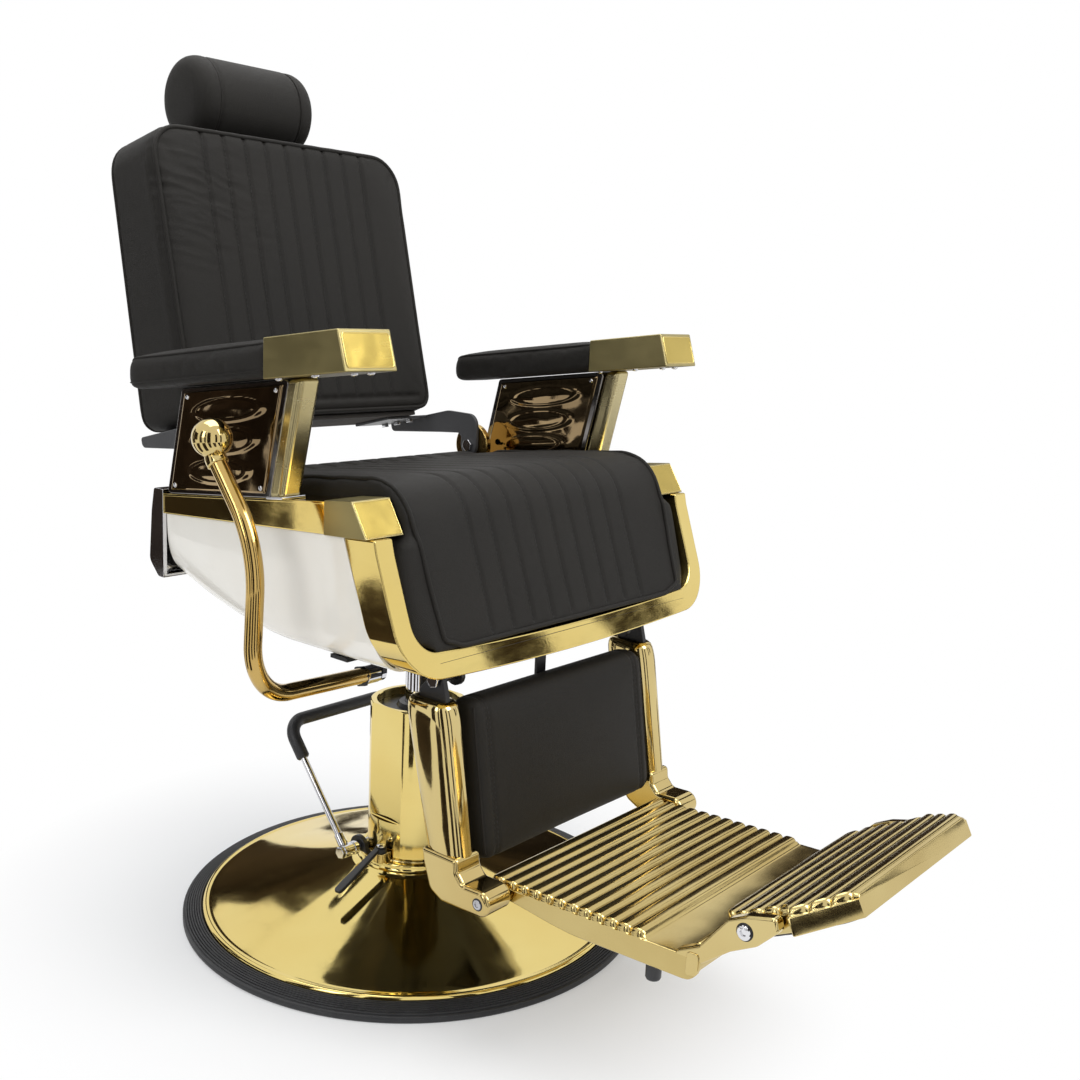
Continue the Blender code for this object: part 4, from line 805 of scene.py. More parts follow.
class Workshop:
    """Turns meshes into finished, placed pieces."""

    def __init__(self, frame: Mapping[str, Mapping[str, object]]) -> None:
        """Keep the frame and start the finishes.
        """
        self.nodes = frame["nodes"]
        self.finishes = Finishes()
        self.count = 0

    def piece(self, name: str, mesh: Mesh, finish: Coating, body: Body, replaces: Sequence[str] = (),
              bevel: float = 0.0, segments: int = 3, sharp: float = 35.0) -> Thing:
        """Place one finished piece on its body.

        Args:
            name: The piece's name.
            mesh: Its mesh, which is used up.
            finish: Its finish.
            body: The body that it rides on.
            replaces: Frame nodes that it stands for.
            bevel: Width of its rounded edges, or 0.
            segments: Faces across each rounded edge.
            sharp: Angle in degrees above which an edge stays sharp.

        Returns:
            The placed object.
        """
        return self.dress(solid(name, mesh), finish, body, replaces, bevel, segments, sharp)

    def dress(self, thing: Thing, finish: Coating, body: Body, replaces: Sequence[str] = (), bevel: float = 0.0,
              segments: int = 3, sharp: float = 35.0) -> Thing:
        """Give an object its finish, its edges and its body, as in piece()."""
        thing.data.materials.clear()
        thing.data.materials.append(self.finishes.material(finish))
        thing.data.shade_smooth()
        if sharp < NO_EDGE:
            thing.data.set_sharp_from_angle(angle=radians(sharp))
        if bevel:
            step = thing.modifiers.new("edges", "BEVEL")
            step.width = bevel
            step.segments = segments
            step.limit_method = "ANGLE"
            step.angle_limit = radians(sharp)
            step.harden_normals = True
        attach(thing, body.value)
        if replaces:
            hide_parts(*replaces)
        self.count += 1
        return thing

    def finish_node(self, finish: Coating, *names: str) -> None:
        """Give frame nodes that stay in view a finish of their own."""
        for name in names:
            node = self.nodes[name]
            node.data.materials.clear()
            node.data.materials.append(self.finishes.material(finish))

    def carve(self, thing: Thing, mesh: Mesh) -> None:
        """Cut a shape from a piece at once.

        Args:
            thing: The piece.
            mesh: The shape, which is used up.
        """
        cutter = solid("cutter", mesh)
        data = cutter.data
        step = thing.modifiers.new("carve", "BOOLEAN")
        step.operation = "DIFFERENCE"
        step.solver = "EXACT"
        step.object = cutter
        while thing.modifiers[0] != step:
            thing.modifiers.move(len(thing.modifiers) - 1, 0)
        bpy.context.view_layer.update()
        graph = bpy.context.evaluated_depsgraph_get()
        others = [m for m in thing.modifiers if m != step]
        for other in others:
            other.show_viewport = False
        made = bpy.data.meshes.new_from_object(thing.evaluated_get(graph))
        for other in others:
            other.show_viewport = True
        thing.modifiers.remove(step)
        old = thing.data
        thing.data = made
        made.name = old.name
        bpy.data.meshes.remove(old)
        bpy.data.objects.remove(cutter)
        bpy.data.meshes.remove(data)


# ---------------------------------------------------------------- upholstery


def coordinates(thing: Thing) -> np.ndarray:
    """The mesh's points as an array of rows."""
    flat = np.empty(len(thing.data.vertices) * 3)
    thing.data.vertices.foreach_get("co", flat)
    return flat.reshape(-1, 3)


def facing(thing: Thing) -> np.ndarray:
    """The normals at the mesh's points as an array of rows."""
    return np.array([vertex.normal for vertex in thing.data.vertices])


def place_points(thing: Thing, points: np.ndarray) -> None:
    """Give the mesh's points new places."""
    thing.data.vertices.foreach_set("co", points.ravel())
    thing.data.update()


def bake(thing: Thing) -> None:
    """Replace an object's mesh by what its modifiers make of it."""
    bpy.context.view_layer.update()
    graph = bpy.context.evaluated_depsgraph_get()
    made = bpy.data.meshes.new_from_object(thing.evaluated_get(graph), depsgraph=graph)
    thing.modifiers.clear()
    old = thing.data
    thing.data = made
    bpy.data.meshes.remove(old)


@dataclass(frozen=True)
class Stuffing:
    """How a cushion is filled: the cover is cut a little larger than the foam, which presses it out."""

    voxel: float = 0.0052
    pressure: float = 4.0
    slack: float = 0.02
    most: float = 0.01
    stiffness: float = 14.0
    bending: float = 0.35
    frames: int = 14
    fill: float = 0.9
    soften: int = 4


class Upholsterer:
    """Makes stuffed cushions with seams, stitches and piping."""

    PIPING_R = 0.003
    STITCH_PITCH = 0.0062
    STITCH_R = 0.00055

    def __init__(self, shop: Workshop) -> None:
        """Keep the workshop.

        Args:
            shop: Where the pieces are finished.
        """
        self.shop = shop

    def cushion(self, name: str, mesh: Mesh, body: Body, replaces: Sequence[str], stuffing: Stuffing,
                held: Callable[[Vector], bool]) -> Thing:
        """Turn a closed block into a stuffed cushion.

        Args:
            name: The piece's name.
            mesh: Closed bodies that together make the foam block.
            body: The body that it rides on.
            replaces: Frame nodes that it stands for.
            stuffing: How it is filled.
            held: Tells whether the cover is sewn or glued down at a point.

        Returns:
            The cushion.
        """
        thing = solid(name, mesh)
        voxels = thing.modifiers.new("voxels", "REMESH")
        voxels.mode = "VOXEL"
        voxels.voxel_size = stuffing.voxel
        soften = thing.modifiers.new("soften", "SMOOTH")
        soften.factor = 0.5
        soften.iterations = stuffing.soften
        bake(thing)
        self._blow(thing, stuffing, held)
        finer = thing.modifiers.new("finer", "SUBSURF")
        finer.levels = 1
        finer.render_levels = 1
        bake(thing)
        self.shop.dress(thing, HIDE, body, replaces, sharp=NO_EDGE)
        LOG.info("%s: %d points", name, len(thing.data.vertices))
        return thing

    def _blow(self, thing: Thing, stuffing: Stuffing, held: Callable[[Vector], bool]) -> None:
        """Press the cover out as cloth, for a few frames, and keep where it comes to rest."""
        rest = coordinates(thing)
        pins = thing.vertex_groups.new(name="held")
        pins.add([i for i, point in enumerate(rest) if held(Vector(point))], 1.0, "REPLACE")
        step = thing.modifiers.new("stuffing", "CLOTH")
        cloth = step.settings
        cloth.quality = 4
        cloth.mass = 0.25
        cloth.air_damping = 4.0
        cloth.tension_stiffness = stuffing.stiffness
        cloth.compression_stiffness = stuffing.stiffness
        cloth.shear_stiffness = stuffing.stiffness * 0.6
        cloth.bending_stiffness = stuffing.bending
        cloth.use_pressure = True
        cloth.uniform_pressure_force = stuffing.pressure
        cloth.shrink_min = -stuffing.slack
        cloth.effector_weights.gravity = 0.0
        cloth.vertex_group_mass = "held"
        step.collision_settings.use_collision = False
        step.point_cache.frame_start = 1
        step.point_cache.frame_end = stuffing.frames
        scene = bpy.context.scene
        for frame in range(1, stuffing.frames + 1):
            scene.frame_set(frame)
        graph = bpy.context.evaluated_depsgraph_get()
        blown = thing.evaluated_get(graph).to_mesh()
        flat = np.empty(len(blown.vertices) * 3)
        blown.vertices.foreach_get("co", flat)
        thing.evaluated_get(graph).to_mesh_clear()
        thing.modifiers.remove(step)
        scene.frame_set(1)
        shift = flat.reshape(-1, 3) - rest
        length = np.linalg.norm(shift, axis=1, keepdims=True)
        shift *= np.minimum(1.0, stuffing.most / np.maximum(length, 1e-9))
        place_points(thing, rest + shift)

    def groove(self, thing: Thing, places: Sequence[float], depth: float, width: float,
               share: Callable[[np.ndarray, np.ndarray], np.ndarray]) -> None:
        """Press seams along planes of constant x into a cushion.

        Args:
            thing: The cushion.
            places: x of each seam.
            depth: Depth of the seams.
            width: Half width of the valley.
            share: Gives 0 to 1 for points and normals: where the seams run.
        """
        points = coordinates(thing)
        normals = facing(thing)
        part = share(points, normals)
        column = self.STITCH_PITCH * 0.22
        moved = points.copy()
        for place in places:
            near = (np.abs(points[:, 0] - place) < column) & (part > 0.3)
            moved[near, 0] = place
        distance = np.min(np.abs(moved[:, 0:1] - np.array(places)[None, :]), axis=1)
        press = depth * np.exp(-(distance / width) ** 2) * part
        place_points(thing, moved - normals * press[:, None])

    def ray(self, thing: Thing, start: Vector, ahead: Vector) -> tuple[Vector, Vector] | None:
        """The first point of a cushion along a ray.

        Args:
            thing: The cushion.
            start: A point outside it.
            ahead: Direction of the ray.

        Returns:
            Point and normal, or None.
        """
        hit, where, normal, _ = thing.ray_cast(start, ahead.normalized())
        return (where.copy(), normal.copy()) if hit else None

    def nearest(self, thing: Thing, path: Sequence[Vector], lift: float) -> list[Vector]:
        """A path laid onto a cushion's surface.

        Args:
            thing: The cushion.
            path: Points near its surface.
            lift: Height above the surface.

        Returns:
            The laid path, evened out.
        """
        laid = []
        for point in path:
            _, where, normal, _ = thing.closest_point_on_mesh(point)
            laid.append(where + normal * lift)
        even = [(a + b * 2 + c) / 4 for a, b, c in zip(laid, laid[1:], laid[2:])]
        return [laid[0], *even, laid[-1]]

    def piping(self, name: str, thing: Thing, path: Sequence[Vector], body: Body, closed: bool = False,
               radius: float = PIPING_R) -> None:
        """Lay a piped edge on a cushion.

        Args:
            name: The piece's name.
            thing: The cushion.
            path: Points near its surface.
            body: The body that it rides on.
            closed: Whether it closes on itself.
            radius: Radius of the cord.
        """
        laid = self.nearest(thing, path, radius * 0.25)
        made = self.shop.piece(name, tube(laid, radius, 12, closed), HIDE, body, sharp=NO_EDGE)

    def stitches(self, name: str, lines: Sequence[Sequence[Vector]], body: Body) -> None:
        """Sew rows of short stitches along lines on a surface.

        Args:
            name: The piece's name.
            lines: Lines of points along the seams.
            body: The body that it rides on.
        """
        mesh = bmesh.new()
        for line in lines:
            lengths = [0.0]
            for a, b in zip(line, line[1:]):
                lengths.append(lengths[-1] + (b - a).length)
            for count in range(int(lengths[-1] / self.STITCH_PITCH)):
                start = count * self.STITCH_PITCH + 0.001
                ends = [self._along(line, lengths, start), self._along(line, lengths, start
                                                                       + self.STITCH_PITCH * 0.62)]
                _, side, other = frame_along(ends)[0]
                middle = ends[0].lerp(ends[1], 0.5)
                stops = ((ends[0], 0.35), (middle, 1.0), (ends[1], 0.35))
                rows = [[mesh.verts.new(spot + (side * cos(a) + other * sin(a)) * self.STITCH_R * size)
                         for a in (0.0, 1.571, 3.142, 4.712)] for spot, size in stops]
                for low, high in zip(rows, rows[1:]):
                    for corner in range(4):
                        after = (corner + 1) % 4
                        mesh.faces.new((low[corner], low[after], high[after], high[corner]))
                mesh.faces.new(rows[0][::-1])
                mesh.faces.new(rows[-1])
        self.shop.piece(name, mesh, THREAD, body, sharp=NO_EDGE)

    @staticmethod
    def _along(line: Sequence[Vector], lengths: Sequence[float], reach: float) -> Vector:
        """The point at a length along a line."""
        index = min(int(np.searchsorted(lengths, reach)), len(line) - 1)
        before = max(index - 1, 0)
        span = max(lengths[index] - lengths[before], 1e-9)
        return line[before].lerp(line[index], min(max((reach - lengths[before]) / span, 0.0), 1.0))


def creased(point: Vector, scale: float, seed: float) -> float:
    """Slow noise from −1 to 1 for creases.

    Args:
        point: Where it is read.
        scale: Waves per metre.
        seed: Shift that gives another pattern.

    Returns:
        The noise value.
    """
    return noise.noise(point * scale + Vector((seed, seed * 0.7, -seed)))


# ---------------------------------------------------------------- base, pump and ram


@dataclass(frozen=True)
class BasePedestal:
    """Floor ring, dish, column and what stands in the column."""

    rim_r: float = 0.303
    ring_margin: float = 0.027
    ring_h: float = 0.017
    dish_top: float = 0.078
    dish_t: float = 0.003
    collar_r: float = 0.08
    collar_h: float = 0.012
    column_r: float = 0.0686
    wall: float = 0.004
    top: float = 0.312
    flat_x: float = 0.061
    flat_low: float = 0.145
    ridges: int = 7

    def build(self, shop: Workshop) -> None:
        """Build the pedestal.

        Args:
            shop: Where the pieces are finished.
        """
        shop.piece("rubber_floor_ring", turned(self._ring(), 160), RUBBER, Body.BASE, ["trim_ring"],
                   sharp=PRESSED_EDGE)
        shop.piece("dish_plated", turned(self._dish(), 192), GOLD, Body.BASE, ["base_dish"], sharp=PRESSED_EDGE)
        column = shop.piece("column_plated", turned(self._column(), 160), GOLD, Body.BASE, ["column_shroud"],
                            bevel=0.0012, sharp=20.0)
        for side in Side:
            shop.carve(column, self._facet(side.sign))
        shop.finish_node(PAINT, "base_plate", "column_cap")
        shop.finish_node(STEEL, "hydraulic_cylinder")
        foot = [(self.column_r + 0.0003, self.dish_top + 0.0115), (self.column_r + 0.0034, self.dish_top + 0.0112),
                (self.column_r + 0.0044, self.dish_top + 0.0126), (self.column_r + 0.003, self.dish_top + 0.0146),
                (self.column_r + 0.0003, self.dish_top + 0.015)]
        shop.piece("column_foot_bead", turned(foot, 128), GOLD_CAST, Body.BASE, sharp=NO_EDGE)

    def _ring(self) -> list[Pair]:
        """Profile of the ribbed rubber ring."""
        outer = self.rim_r + self.ring_margin
        first, last = self.rim_r + 0.0012, outer - 0.003
        pitch = (last - first) / self.ridges
        top = []
        for index in range(self.ridges):
            centre = last - pitch * (index + 0.5)
            high = self.ring_h - 0.0046 * (1 - (index + 0.5) / self.ridges) ** 1.6
            top += [(centre + pitch * 0.46, high - 0.002), (centre + pitch * 0.34, high - 0.0003),
                    (centre + pitch * 0.12, high), (centre - pitch * 0.2, high),
                    (centre - pitch * 0.36, high - 0.0003), (centre - pitch * 0.46, high - 0.002)]
        side = [(outer - 0.0025, 0.0), (outer, 0.0025), (outer, 0.0065), (outer - 0.0007, 0.0072),
                (outer - 0.0007, 0.008), (outer, 0.0085), (outer, 0.0098), (outer - 0.002, 0.0112)]
        inner = [(first, 0.009), (self.rim_r - 0.015, 0.009), (self.rim_r - 0.015, 0.0)]
        return side + top + inner

    def _dish(self) -> list[Pair]:
        """Profile of the dish: rolled rim, slightly hollow cone and the collar round the column."""
        low = 0.009 + GAP
        rim = arc((self.rim_r - 0.0055, low + 0.0062), 0.0055, -pi * 0.45, pi * 0.58, 12)
        start = (self.rim_r - 0.01, low + 0.0113)
        step = (self.rim_r - 0.0128, low + 0.0118)
        slope = []
        for index in range(1, 25):
            t = index / 24
            r = step[0] + (self.collar_r + 0.006 - step[0]) * t
            slope.append((r, step[1] + (self.dish_top - step[1]) * (0.8 * t + 0.2 * t * t)))
        collar = arc((self.collar_r + 0.0052, self.dish_top + 0.0068), 0.0052, -pi * 0.5, -pi, 6)
        collar += arc((self.collar_r - 0.003, self.dish_top + self.collar_h - 0.003), 0.003, 0.0, pi * 0.5, 6)
        bore = self.column_r + GAP
        outside = rim + [start, step] + slope + collar + [(bore, self.dish_top + self.collar_h)]
        inside = [(bore, self.dish_top - self.dish_t)] + [(r, z - self.dish_t) for r, z in reversed(slope)]
        return outside + inside + [(self.rim_r - 0.016, low)]

    def _column(self) -> list[Pair]:
        """Profile of the column's wall."""
        inner = self.column_r - self.wall - 0.006
        lip = arc((self.column_r - 0.0025, self.top - 0.0025), 0.0025, 0.0, pi / 2, 5)
        return [(self.column_r, 0.0063)] + lip + [(inner + 0.001, self.top), (inner, self.top - 0.001),
                                                  (inner, 0.0063)]

    def _facet(self, sign: float) -> Mesh:
        """The shape milled off one side of the column: a flat that ends in a narrow ledge."""
        reach = self.column_r + 0.02
        run = [(reach, self.flat_low), (self.flat_x + 0.001, self.flat_low), (self.flat_x, self.flat_low + 0.001),
               (self.flat_x, self.top + 0.01), (reach, self.top + 0.01)]
        return loft([[(sign * x, y, z) for x, z in run] for y in (-self.column_r, self.column_r)])


@dataclass(frozen=True)
class PumpPedal:
    """Cross shaft, its bearings, the U-shaped pump lever and its grip."""

    y: float = 0.038
    z: float = 0.096
    shaft_r: float = 0.007
    half: float = 0.1
    reach: float = 0.207
    angle: float = radians(50.0)
    rod_r: float = 0.005
    sleeve_r: float = 0.01
    grip_r: float = 0.0095
    bend: float = 0.028
    column_r: float = 0.0686
    collar_z: float = 0.09

    def build(self, shop: Workshop) -> None:
        """Build the pump's linkage."""
        for side in Side:
            self._bearing(shop, side)
        up = Vector((0.0, cos(self.angle), sin(self.angle)))
        pivot = Vector((0.0, self.y, self.z))
        bow = pivot + up * self.reach
        right = Vector((-self.half, 0.0, 0.0))
        left = -right
        end = self.half + 0.008
        shop.piece("pump_cross_shaft", bar((-end, self.y, self.z), (end, self.y, self.z), self.shaft_r), STEEL,
                   Body.PUMP, ["pump_shaft"])
        root = up * (self.sleeve_r - 0.003)
        bail = bent_path([pivot + root + right, bow + right, bow + left, pivot + root + left], self.bend)
        shop.piece("pump_bail", tube(bail, self.rod_r, 28), CHROME, Body.PUMP, ["pump_lever"])
        for side in Side:
            x = side.sign
            inner, outer = self.column_r + 0.012, self.half + 0.007
            hub = self._hub(inner * x, outer * x)
            shop.piece("pump_hub_" + side.label, hub, CHROME, Body.PUMP, bevel=0.001)
            foot = pivot + Vector((x * self.half, 0.0, 0.0))
            ferrule = tube([foot + up * 0.009, foot + up * 0.0095, foot + up * 0.026, foot + up * 0.027],
                           [0.006, 0.0072, 0.0066, 0.0054], 28)
            shop.piece("pump_ferrule_" + side.label, ferrule, CHROME, Body.PUMP, sharp=TUBE_EDGE)
            nut = bar((x * (outer + 0.0003), self.y, self.z), (x * (outer + 0.0052), self.y, self.z), 0.0092, 6)
            shop.piece("pump_nut_" + side.label, nut, CHROME, Body.PUMP, bevel=0.0007, sharp=HEX_EDGE)
        start = up * (self.reach - self.bend * 2.1)
        cover = bent_path([pivot + start + right, bow + right, bow + left, pivot + start + left], self.bend, 16)
        radii = [self.grip_r] * len(cover)
        radii[0] = radii[-1] = self.grip_r - 0.002
        cover = [cover[0], cover[0] + up * 0.0025, *cover[1:-1], cover[-1] + up * 0.0025, cover[-1]]
        radii = [radii[0], self.grip_r, *radii[1:-1], self.grip_r, radii[-1]]
        shop.piece("pump_grip_sleeve", tube(cover, radii, 32), RUBBER, Body.PUMP, ["pump_grip"], sharp=PRESSED_EDGE)

    def _hub(self, inner: float, outer: float) -> Mesh:
        """Sleeve on the shaft at the foot of one rod of the lever."""
        span = (outer - inner)
        stops = (0.0, 0.04, 0.3, 0.34, 0.96, 1.0)
        radii = [self.sleeve_r - 0.001, self.sleeve_r, self.sleeve_r, self.sleeve_r - 0.0008, self.sleeve_r - 0.0008,
                 self.sleeve_r - 0.0018]
        path = [Vector((inner + span * share, self.y, self.z)) for share in stops]
        return tube(path, radii, 40)

    def _bearing(self, shop: Workshop, side: Side) -> None:
        """Black bearing ear that holds the shaft."""
        reach = side.span(self.column_r + 0.0015, self.column_r + 0.0095)
        outline = arc((self.y, self.z), 0.016, 0.0, pi, 24)
        outline += [(self.y - 0.02, self.collar_z + GAP), (self.y + 0.02, self.collar_z + GAP)]
        shop.piece("pump_bearing_ear_" + side.label, prism_x(outline, *reach), PAINT, Body.BASE,
                   ["pump_bearing_" + side.label], bevel=0.0014)


@dataclass(frozen=True)
class SwivelLock:
    """Small lever beside the column's foot that locks the swivel."""

    x: float = -0.08
    y: float = -0.013
    low: float = 0.0906
    width: float = 0.018
    height: float = 0.014
    length: float = 0.09
    drop: float = 0.026
    column_r: float = 0.0686

    def build(self, shop: Workshop) -> None:
        """Build the block, the hub and the blade."""
        inner = -sqrt(self.column_r ** 2 - (abs(self.y) - self.width / 2) ** 2) - GAP
        top = self.low + self.height
        outline = [(self.x - 0.008, self.y - self.width / 2), (inner, self.y - self.width / 2),
                   (inner, self.y + self.width / 2), (self.x - 0.008, self.y + self.width / 2)]
        outline = rounded(outline, [0.005, 0.0, 0.0, 0.005])
        stand = loft([[(x, y, z) for x, y in outline] for z in (self.low, top)])
        shop.piece("lock_stand", stand, GOLD_CAST, Body.BASE, ["lock_block"], bevel=0.001)
        cap = [(0.0, top + 0.0078), (0.0032, top + 0.0078), (0.0058, top + 0.0086), (0.0058, top + 0.0104),
               (0.0042, top + 0.0116), (0.0, top + 0.0122)]
        shop.piece("lock_pin_cap", turned(cap, 40, (self.x, self.y)), CHROME, Body.BASE, sharp=TUBE_EDGE)
        floor = top + GAP
        hub = [(0.0035, floor), (0.0078, floor), (0.0085, floor + 0.0007), (0.0085, floor + 0.0063),
               (0.0078, floor + 0.007), (0.0035, floor + 0.007)]
        shop.piece("lock_hub", turned(hub, 48, (self.x, self.y)), PAINT, Body.LOCK, ["lock_lever"], sharp=TUBE_EDGE)
        root = Vector((self.x - 0.0065, self.y, floor + 0.0045))
        tip = Vector((self.x - self.length, self.y - 0.011, floor - self.drop))
        side = (tip - root).cross(Vector((0.0, 0.0, 1.0))).normalized()
        up = side.cross(tip - root).normalized()
        blade, edge = [], []
        for share, half in ((0.0, 0.004), (0.12, 0.0045), (0.45, 0.0055), (0.85, 0.0066), (0.96, 0.006),
                            (1.0, 0.004)):
            centre = root.lerp(tip, share)
            blade.append([centre + side * half + up * 0.002, centre - side * half + up * 0.002, centre - side * half
                          - up * 0.0024, centre + side * half - up * 0.0024])
            edge.append([centre + side * half * 0.9 + up * 0.0031, centre - side * half * 0.9 + up * 0.0031, centre
                         - side * half * 0.9 + up * 0.0021, centre + side * half * 0.9 + up * 0.0021])
        shop.piece("lock_blade", loft(blade), PAINT, Body.LOCK, bevel=0.0012)
        shop.piece("lock_blade_edge", loft(edge), GREY_PAINT, Body.LOCK, bevel=0.0004)


@dataclass(frozen=True)
class Ram:
    """Polished hydraulic ram."""

    radius: float = 0.019
    low: float = 0.03
    top: float = 0.434

    def build(self, shop: Workshop) -> None:
        """Build the ram."""
        profile = [(0.0, self.low), (self.radius, self.low), (self.radius, self.top - 0.002),
                   (self.radius - 0.003, self.top), (self.radius - 0.003, self.top + 0.02), (0.0, self.top + 0.02)]
        shop.piece("ram_polished", turned(profile, 96), CHROME, Body.RAM, ["hydraulic_ram"], sharp=BAR_EDGE)


# ---------------------------------------------------------------- seat


@dataclass(frozen=True)
class SeatLines:
    """Lines that the seat's pieces share: the rising rails and the raked front band."""

    rail_x: float = 0.31
    rail_w: float = 0.0565
    rear_y: float = 0.163
    front_y: float = -0.199
    rear_top: float = 0.616
    front_top: float = 0.654
    rear_h: float = 0.026
    front_h: float = 0.04
    band_top_y: float = -0.222
    band_low_y: float = -0.292
    band_low_z: float = 0.458
    band_depth: float = 0.055
    band_t: float = 0.028
    lip_h: float = 0.03
    sag: float = 0.006
    corner_r: float = 0.062
    block_length: float = 0.046

    def rail_top(self, y: float) -> float:
        """Height of the rails' upper edge at y."""
        share = (self.rear_y - y) / (self.rear_y - self.front_y)
        return self.rear_top + (self.front_top - self.rear_top) * share

    def rail_bottom(self, y: float) -> float:
        """Height of the rails' lower edge at y."""
        share = (self.rear_y - y) / (self.rear_y - self.front_y)
        return self.rail_top(y) - (self.rear_h + (self.front_h - self.rear_h) * share)

    def band_front(self, z: float) -> float:
        """Front edge of the band's side face at z."""
        top = self.rail_top(self.front_y)
        share = (top - z) / (top - self.band_low_z)
        return self.band_top_y + (self.band_low_y - self.band_top_y) * share

    def band_rear(self, z: float) -> float:
        """Rear edge of the band's side face at z."""
        return self.band_front(z) + self.band_depth

    def band_path(self, inset: float) -> list[Pair]:
        """The band's path in (x, z), by its distance from the outer face."""
        top = self.rail_bottom(self.front_y + self.block_length) - GAP * 2
        half = self.rail_x - inset
        low = self.band_low_z + inset * self.lip_h / self.band_t
        radius = self.corner_r - inset
        straight = [(-half, top + (low + radius * 1.4 - top) * i / 6) for i in range(7)]
        corner = arc((-half + radius, low + radius), radius, pi, pi * 1.5, 18)
        left = straight + corner
        floor = []
        for index in range(1, 16):
            x = corner[-1][0] * (1 - index / 8)
            floor.append((x, low - self.sag * (1 - (x / corner[-1][0]) ** 2)))
        return left + floor + [(-x, z) for x, z in reversed(left)]


@dataclass(frozen=True)
class SeatBody:
    """Gold rails with framed end blocks, pearl side shells, front band and chrome rear panel."""

    lines: SeatLines = SeatLines()
    rake: float = 0.025
    proud: float = 0.0015
    shell_t: float = 0.004
    shell_turn: float = 0.05
    shell_low: float = 0.457
    flat_y: float = -0.06
    rear_rise: float = 0.048
    panel_t: float = 0.026
    panel_low: float = 0.505
    band_in: float = 0.003
    band_in_low: float = 0.006
    band_back: float = 0.005

    def build(self, shop: Workshop) -> None:
        """Build the seat's body."""
        for side in Side:
            self._rail(shop, side)
            self._end_block(shop, side)
            self._shell(shop, side)
        self._band(shop)
        self._rear_panel(shop)
        shop.finish_node(PAINT, "swivel_head", "seat_frame")
        shop.finish_node(PLYWOOD, "seat_board")

    def _rail(self, shop: Workshop, side: Side) -> None:
        """One tapered rail with a folded lip along its upper edge."""
        at = self.lines
        outer, inner = side.sign * at.rail_x, side.sign * (at.rail_x - at.rail_w)
        ends = (at.rear_y, at.front_y + 0.02)
        outline = [(y, at.rail_bottom(y)) for y in ends] + [(y, at.rail_top(y)) for y in reversed(ends)]
        shop.piece("rail_plated_" + side.label, prism_x(outline, *sorted((outer, inner))), GOLD, Body.SEAT,
                   ["seat_rail_" + side.label], bevel=0.002)
        fold = [(y, at.rail_top(y) - 0.003) for y in ends] + [(y, at.rail_top(y) + 0.0003) for y in reversed(ends)]
        edge = sorted((outer + side.sign * 0.0008, outer - side.sign * 0.0025))
        shop.piece("rail_fold_" + side.label, prism_x(fold, *edge), GOLD, Body.SEAT, bevel=0.0008)

    def _end_block(self, shop: Workshop, side: Side) -> None:
        """One raked end block with a raised frame round its front face."""
        at = self.lines
        start = at.front_y + at.block_length
        low_y = at.front_y - self.rake
        outline = [(start, at.rail_bottom(start) - GAP), (start, at.rail_top(start) + self.proud),
                   (at.front_y, at.rail_top(at.front_y) + self.proud), (low_y, at.rail_bottom(low_y) - GAP)]
        wide = side.span(at.rail_x + self.proud, at.rail_x - at.rail_w - GAP)
        shop.piece("rail_block_" + side.label, prism_x(outline, *wide), GOLD_CAP, Body.SEAT, bevel=0.0012)
        top = Vector((0.0, *outline[2]))
        low = Vector((0.0, *outline[3]))
        out = Vector((0.0, -(top - low).z, (top - low).y)).normalized()
        inset, rib = 0.0022, 0.0014
        face = [[Vector((x, *top.lerp(low, share).yz)) + out * lift for x, share in
                 ((wide[0] + 0.003, 0.06), (wide[1] - 0.003, 0.06), (wide[1] - 0.003, 0.94), (wide[0] + 0.003, 0.94))]
                for lift in (-0.001, 0.00035)]
        shop.piece("block_face_" + side.label, loft(face), GOLD_SATIN, Body.SEAT, bevel=0.0003)
        corners = [(wide[0] + inset, top.lerp(low, 0.05)), (wide[1] - inset, top.lerp(low, 0.05)),
                   (wide[1] - inset, top.lerp(low, 0.95)), (wide[0] + inset, top.lerp(low, 0.95))]
        path = [Vector((x, point.y, point.z)) + out * 0.0001 for x, point in corners]
        frame = rounded_loop(path, 0.003)
        shop.piece("block_frame_" + side.label, tube(frame, rib / 2, 10, True), GOLD, Body.SEAT, sharp=NO_EDGE)

    def _shell(self, shop: Workshop, side: Side) -> None:
        """One pearl side shell, which rounds in under the seat."""
        at = self.lines
        first, last = at.rear_y - GAP, at.band_rear(at.rail_bottom(-0.16)) + GAP
        rings = []
        for index in range(41):
            y = first + (last - first) * index / 40
            ring = self._section(y)
            if index == 40:
                placed = [(side.sign * x, at.band_rear(z) + GAP * 2, z) for x, z in ring]
            else:
                share = max(0.0, (index - 30) / 10)
                placed = [(side.sign * x, y + (at.band_rear(z) + GAP * 2 - last) * share, z) for x, z in ring]
            rings.append(placed)
        shop.piece("shell_pearl_" + side.label, loft(rings), PEARL, Body.SEAT, ["side_shell_" + side.label],
                   sharp=60.0)

    def _section(self, y: float) -> list[Pair]:
        """Cross-section of a shell at y, in x and z."""
        at = self.lines
        if y > self.flat_y:
            low = self.shell_low + self.rear_rise * ((y - self.flat_y) / (at.rear_y - self.flat_y)) ** 1.8
        else:
            low = self.shell_low + 0.006 * ((self.flat_y - y) / (self.flat_y - at.band_low_y)) ** 2
        high = at.rail_bottom(y) - GAP * 2
        outer = at.rail_x - 0.004
        corners = [(outer, high), (outer - 0.0005, high - (high - low) * 0.45), (outer - 0.002, low + 0.02),
                   (outer - 0.018, low), (outer - self.shell_turn, low)]
        skin = self._curve(corners, 22)
        inner = [(x - self.shell_t * 0.9, z + self.shell_t * 0.25) for x, z in skin[:-4]]
        inner += [(x, z + self.shell_t) for x, z in skin[-4:]]
        return skin + list(reversed(inner))

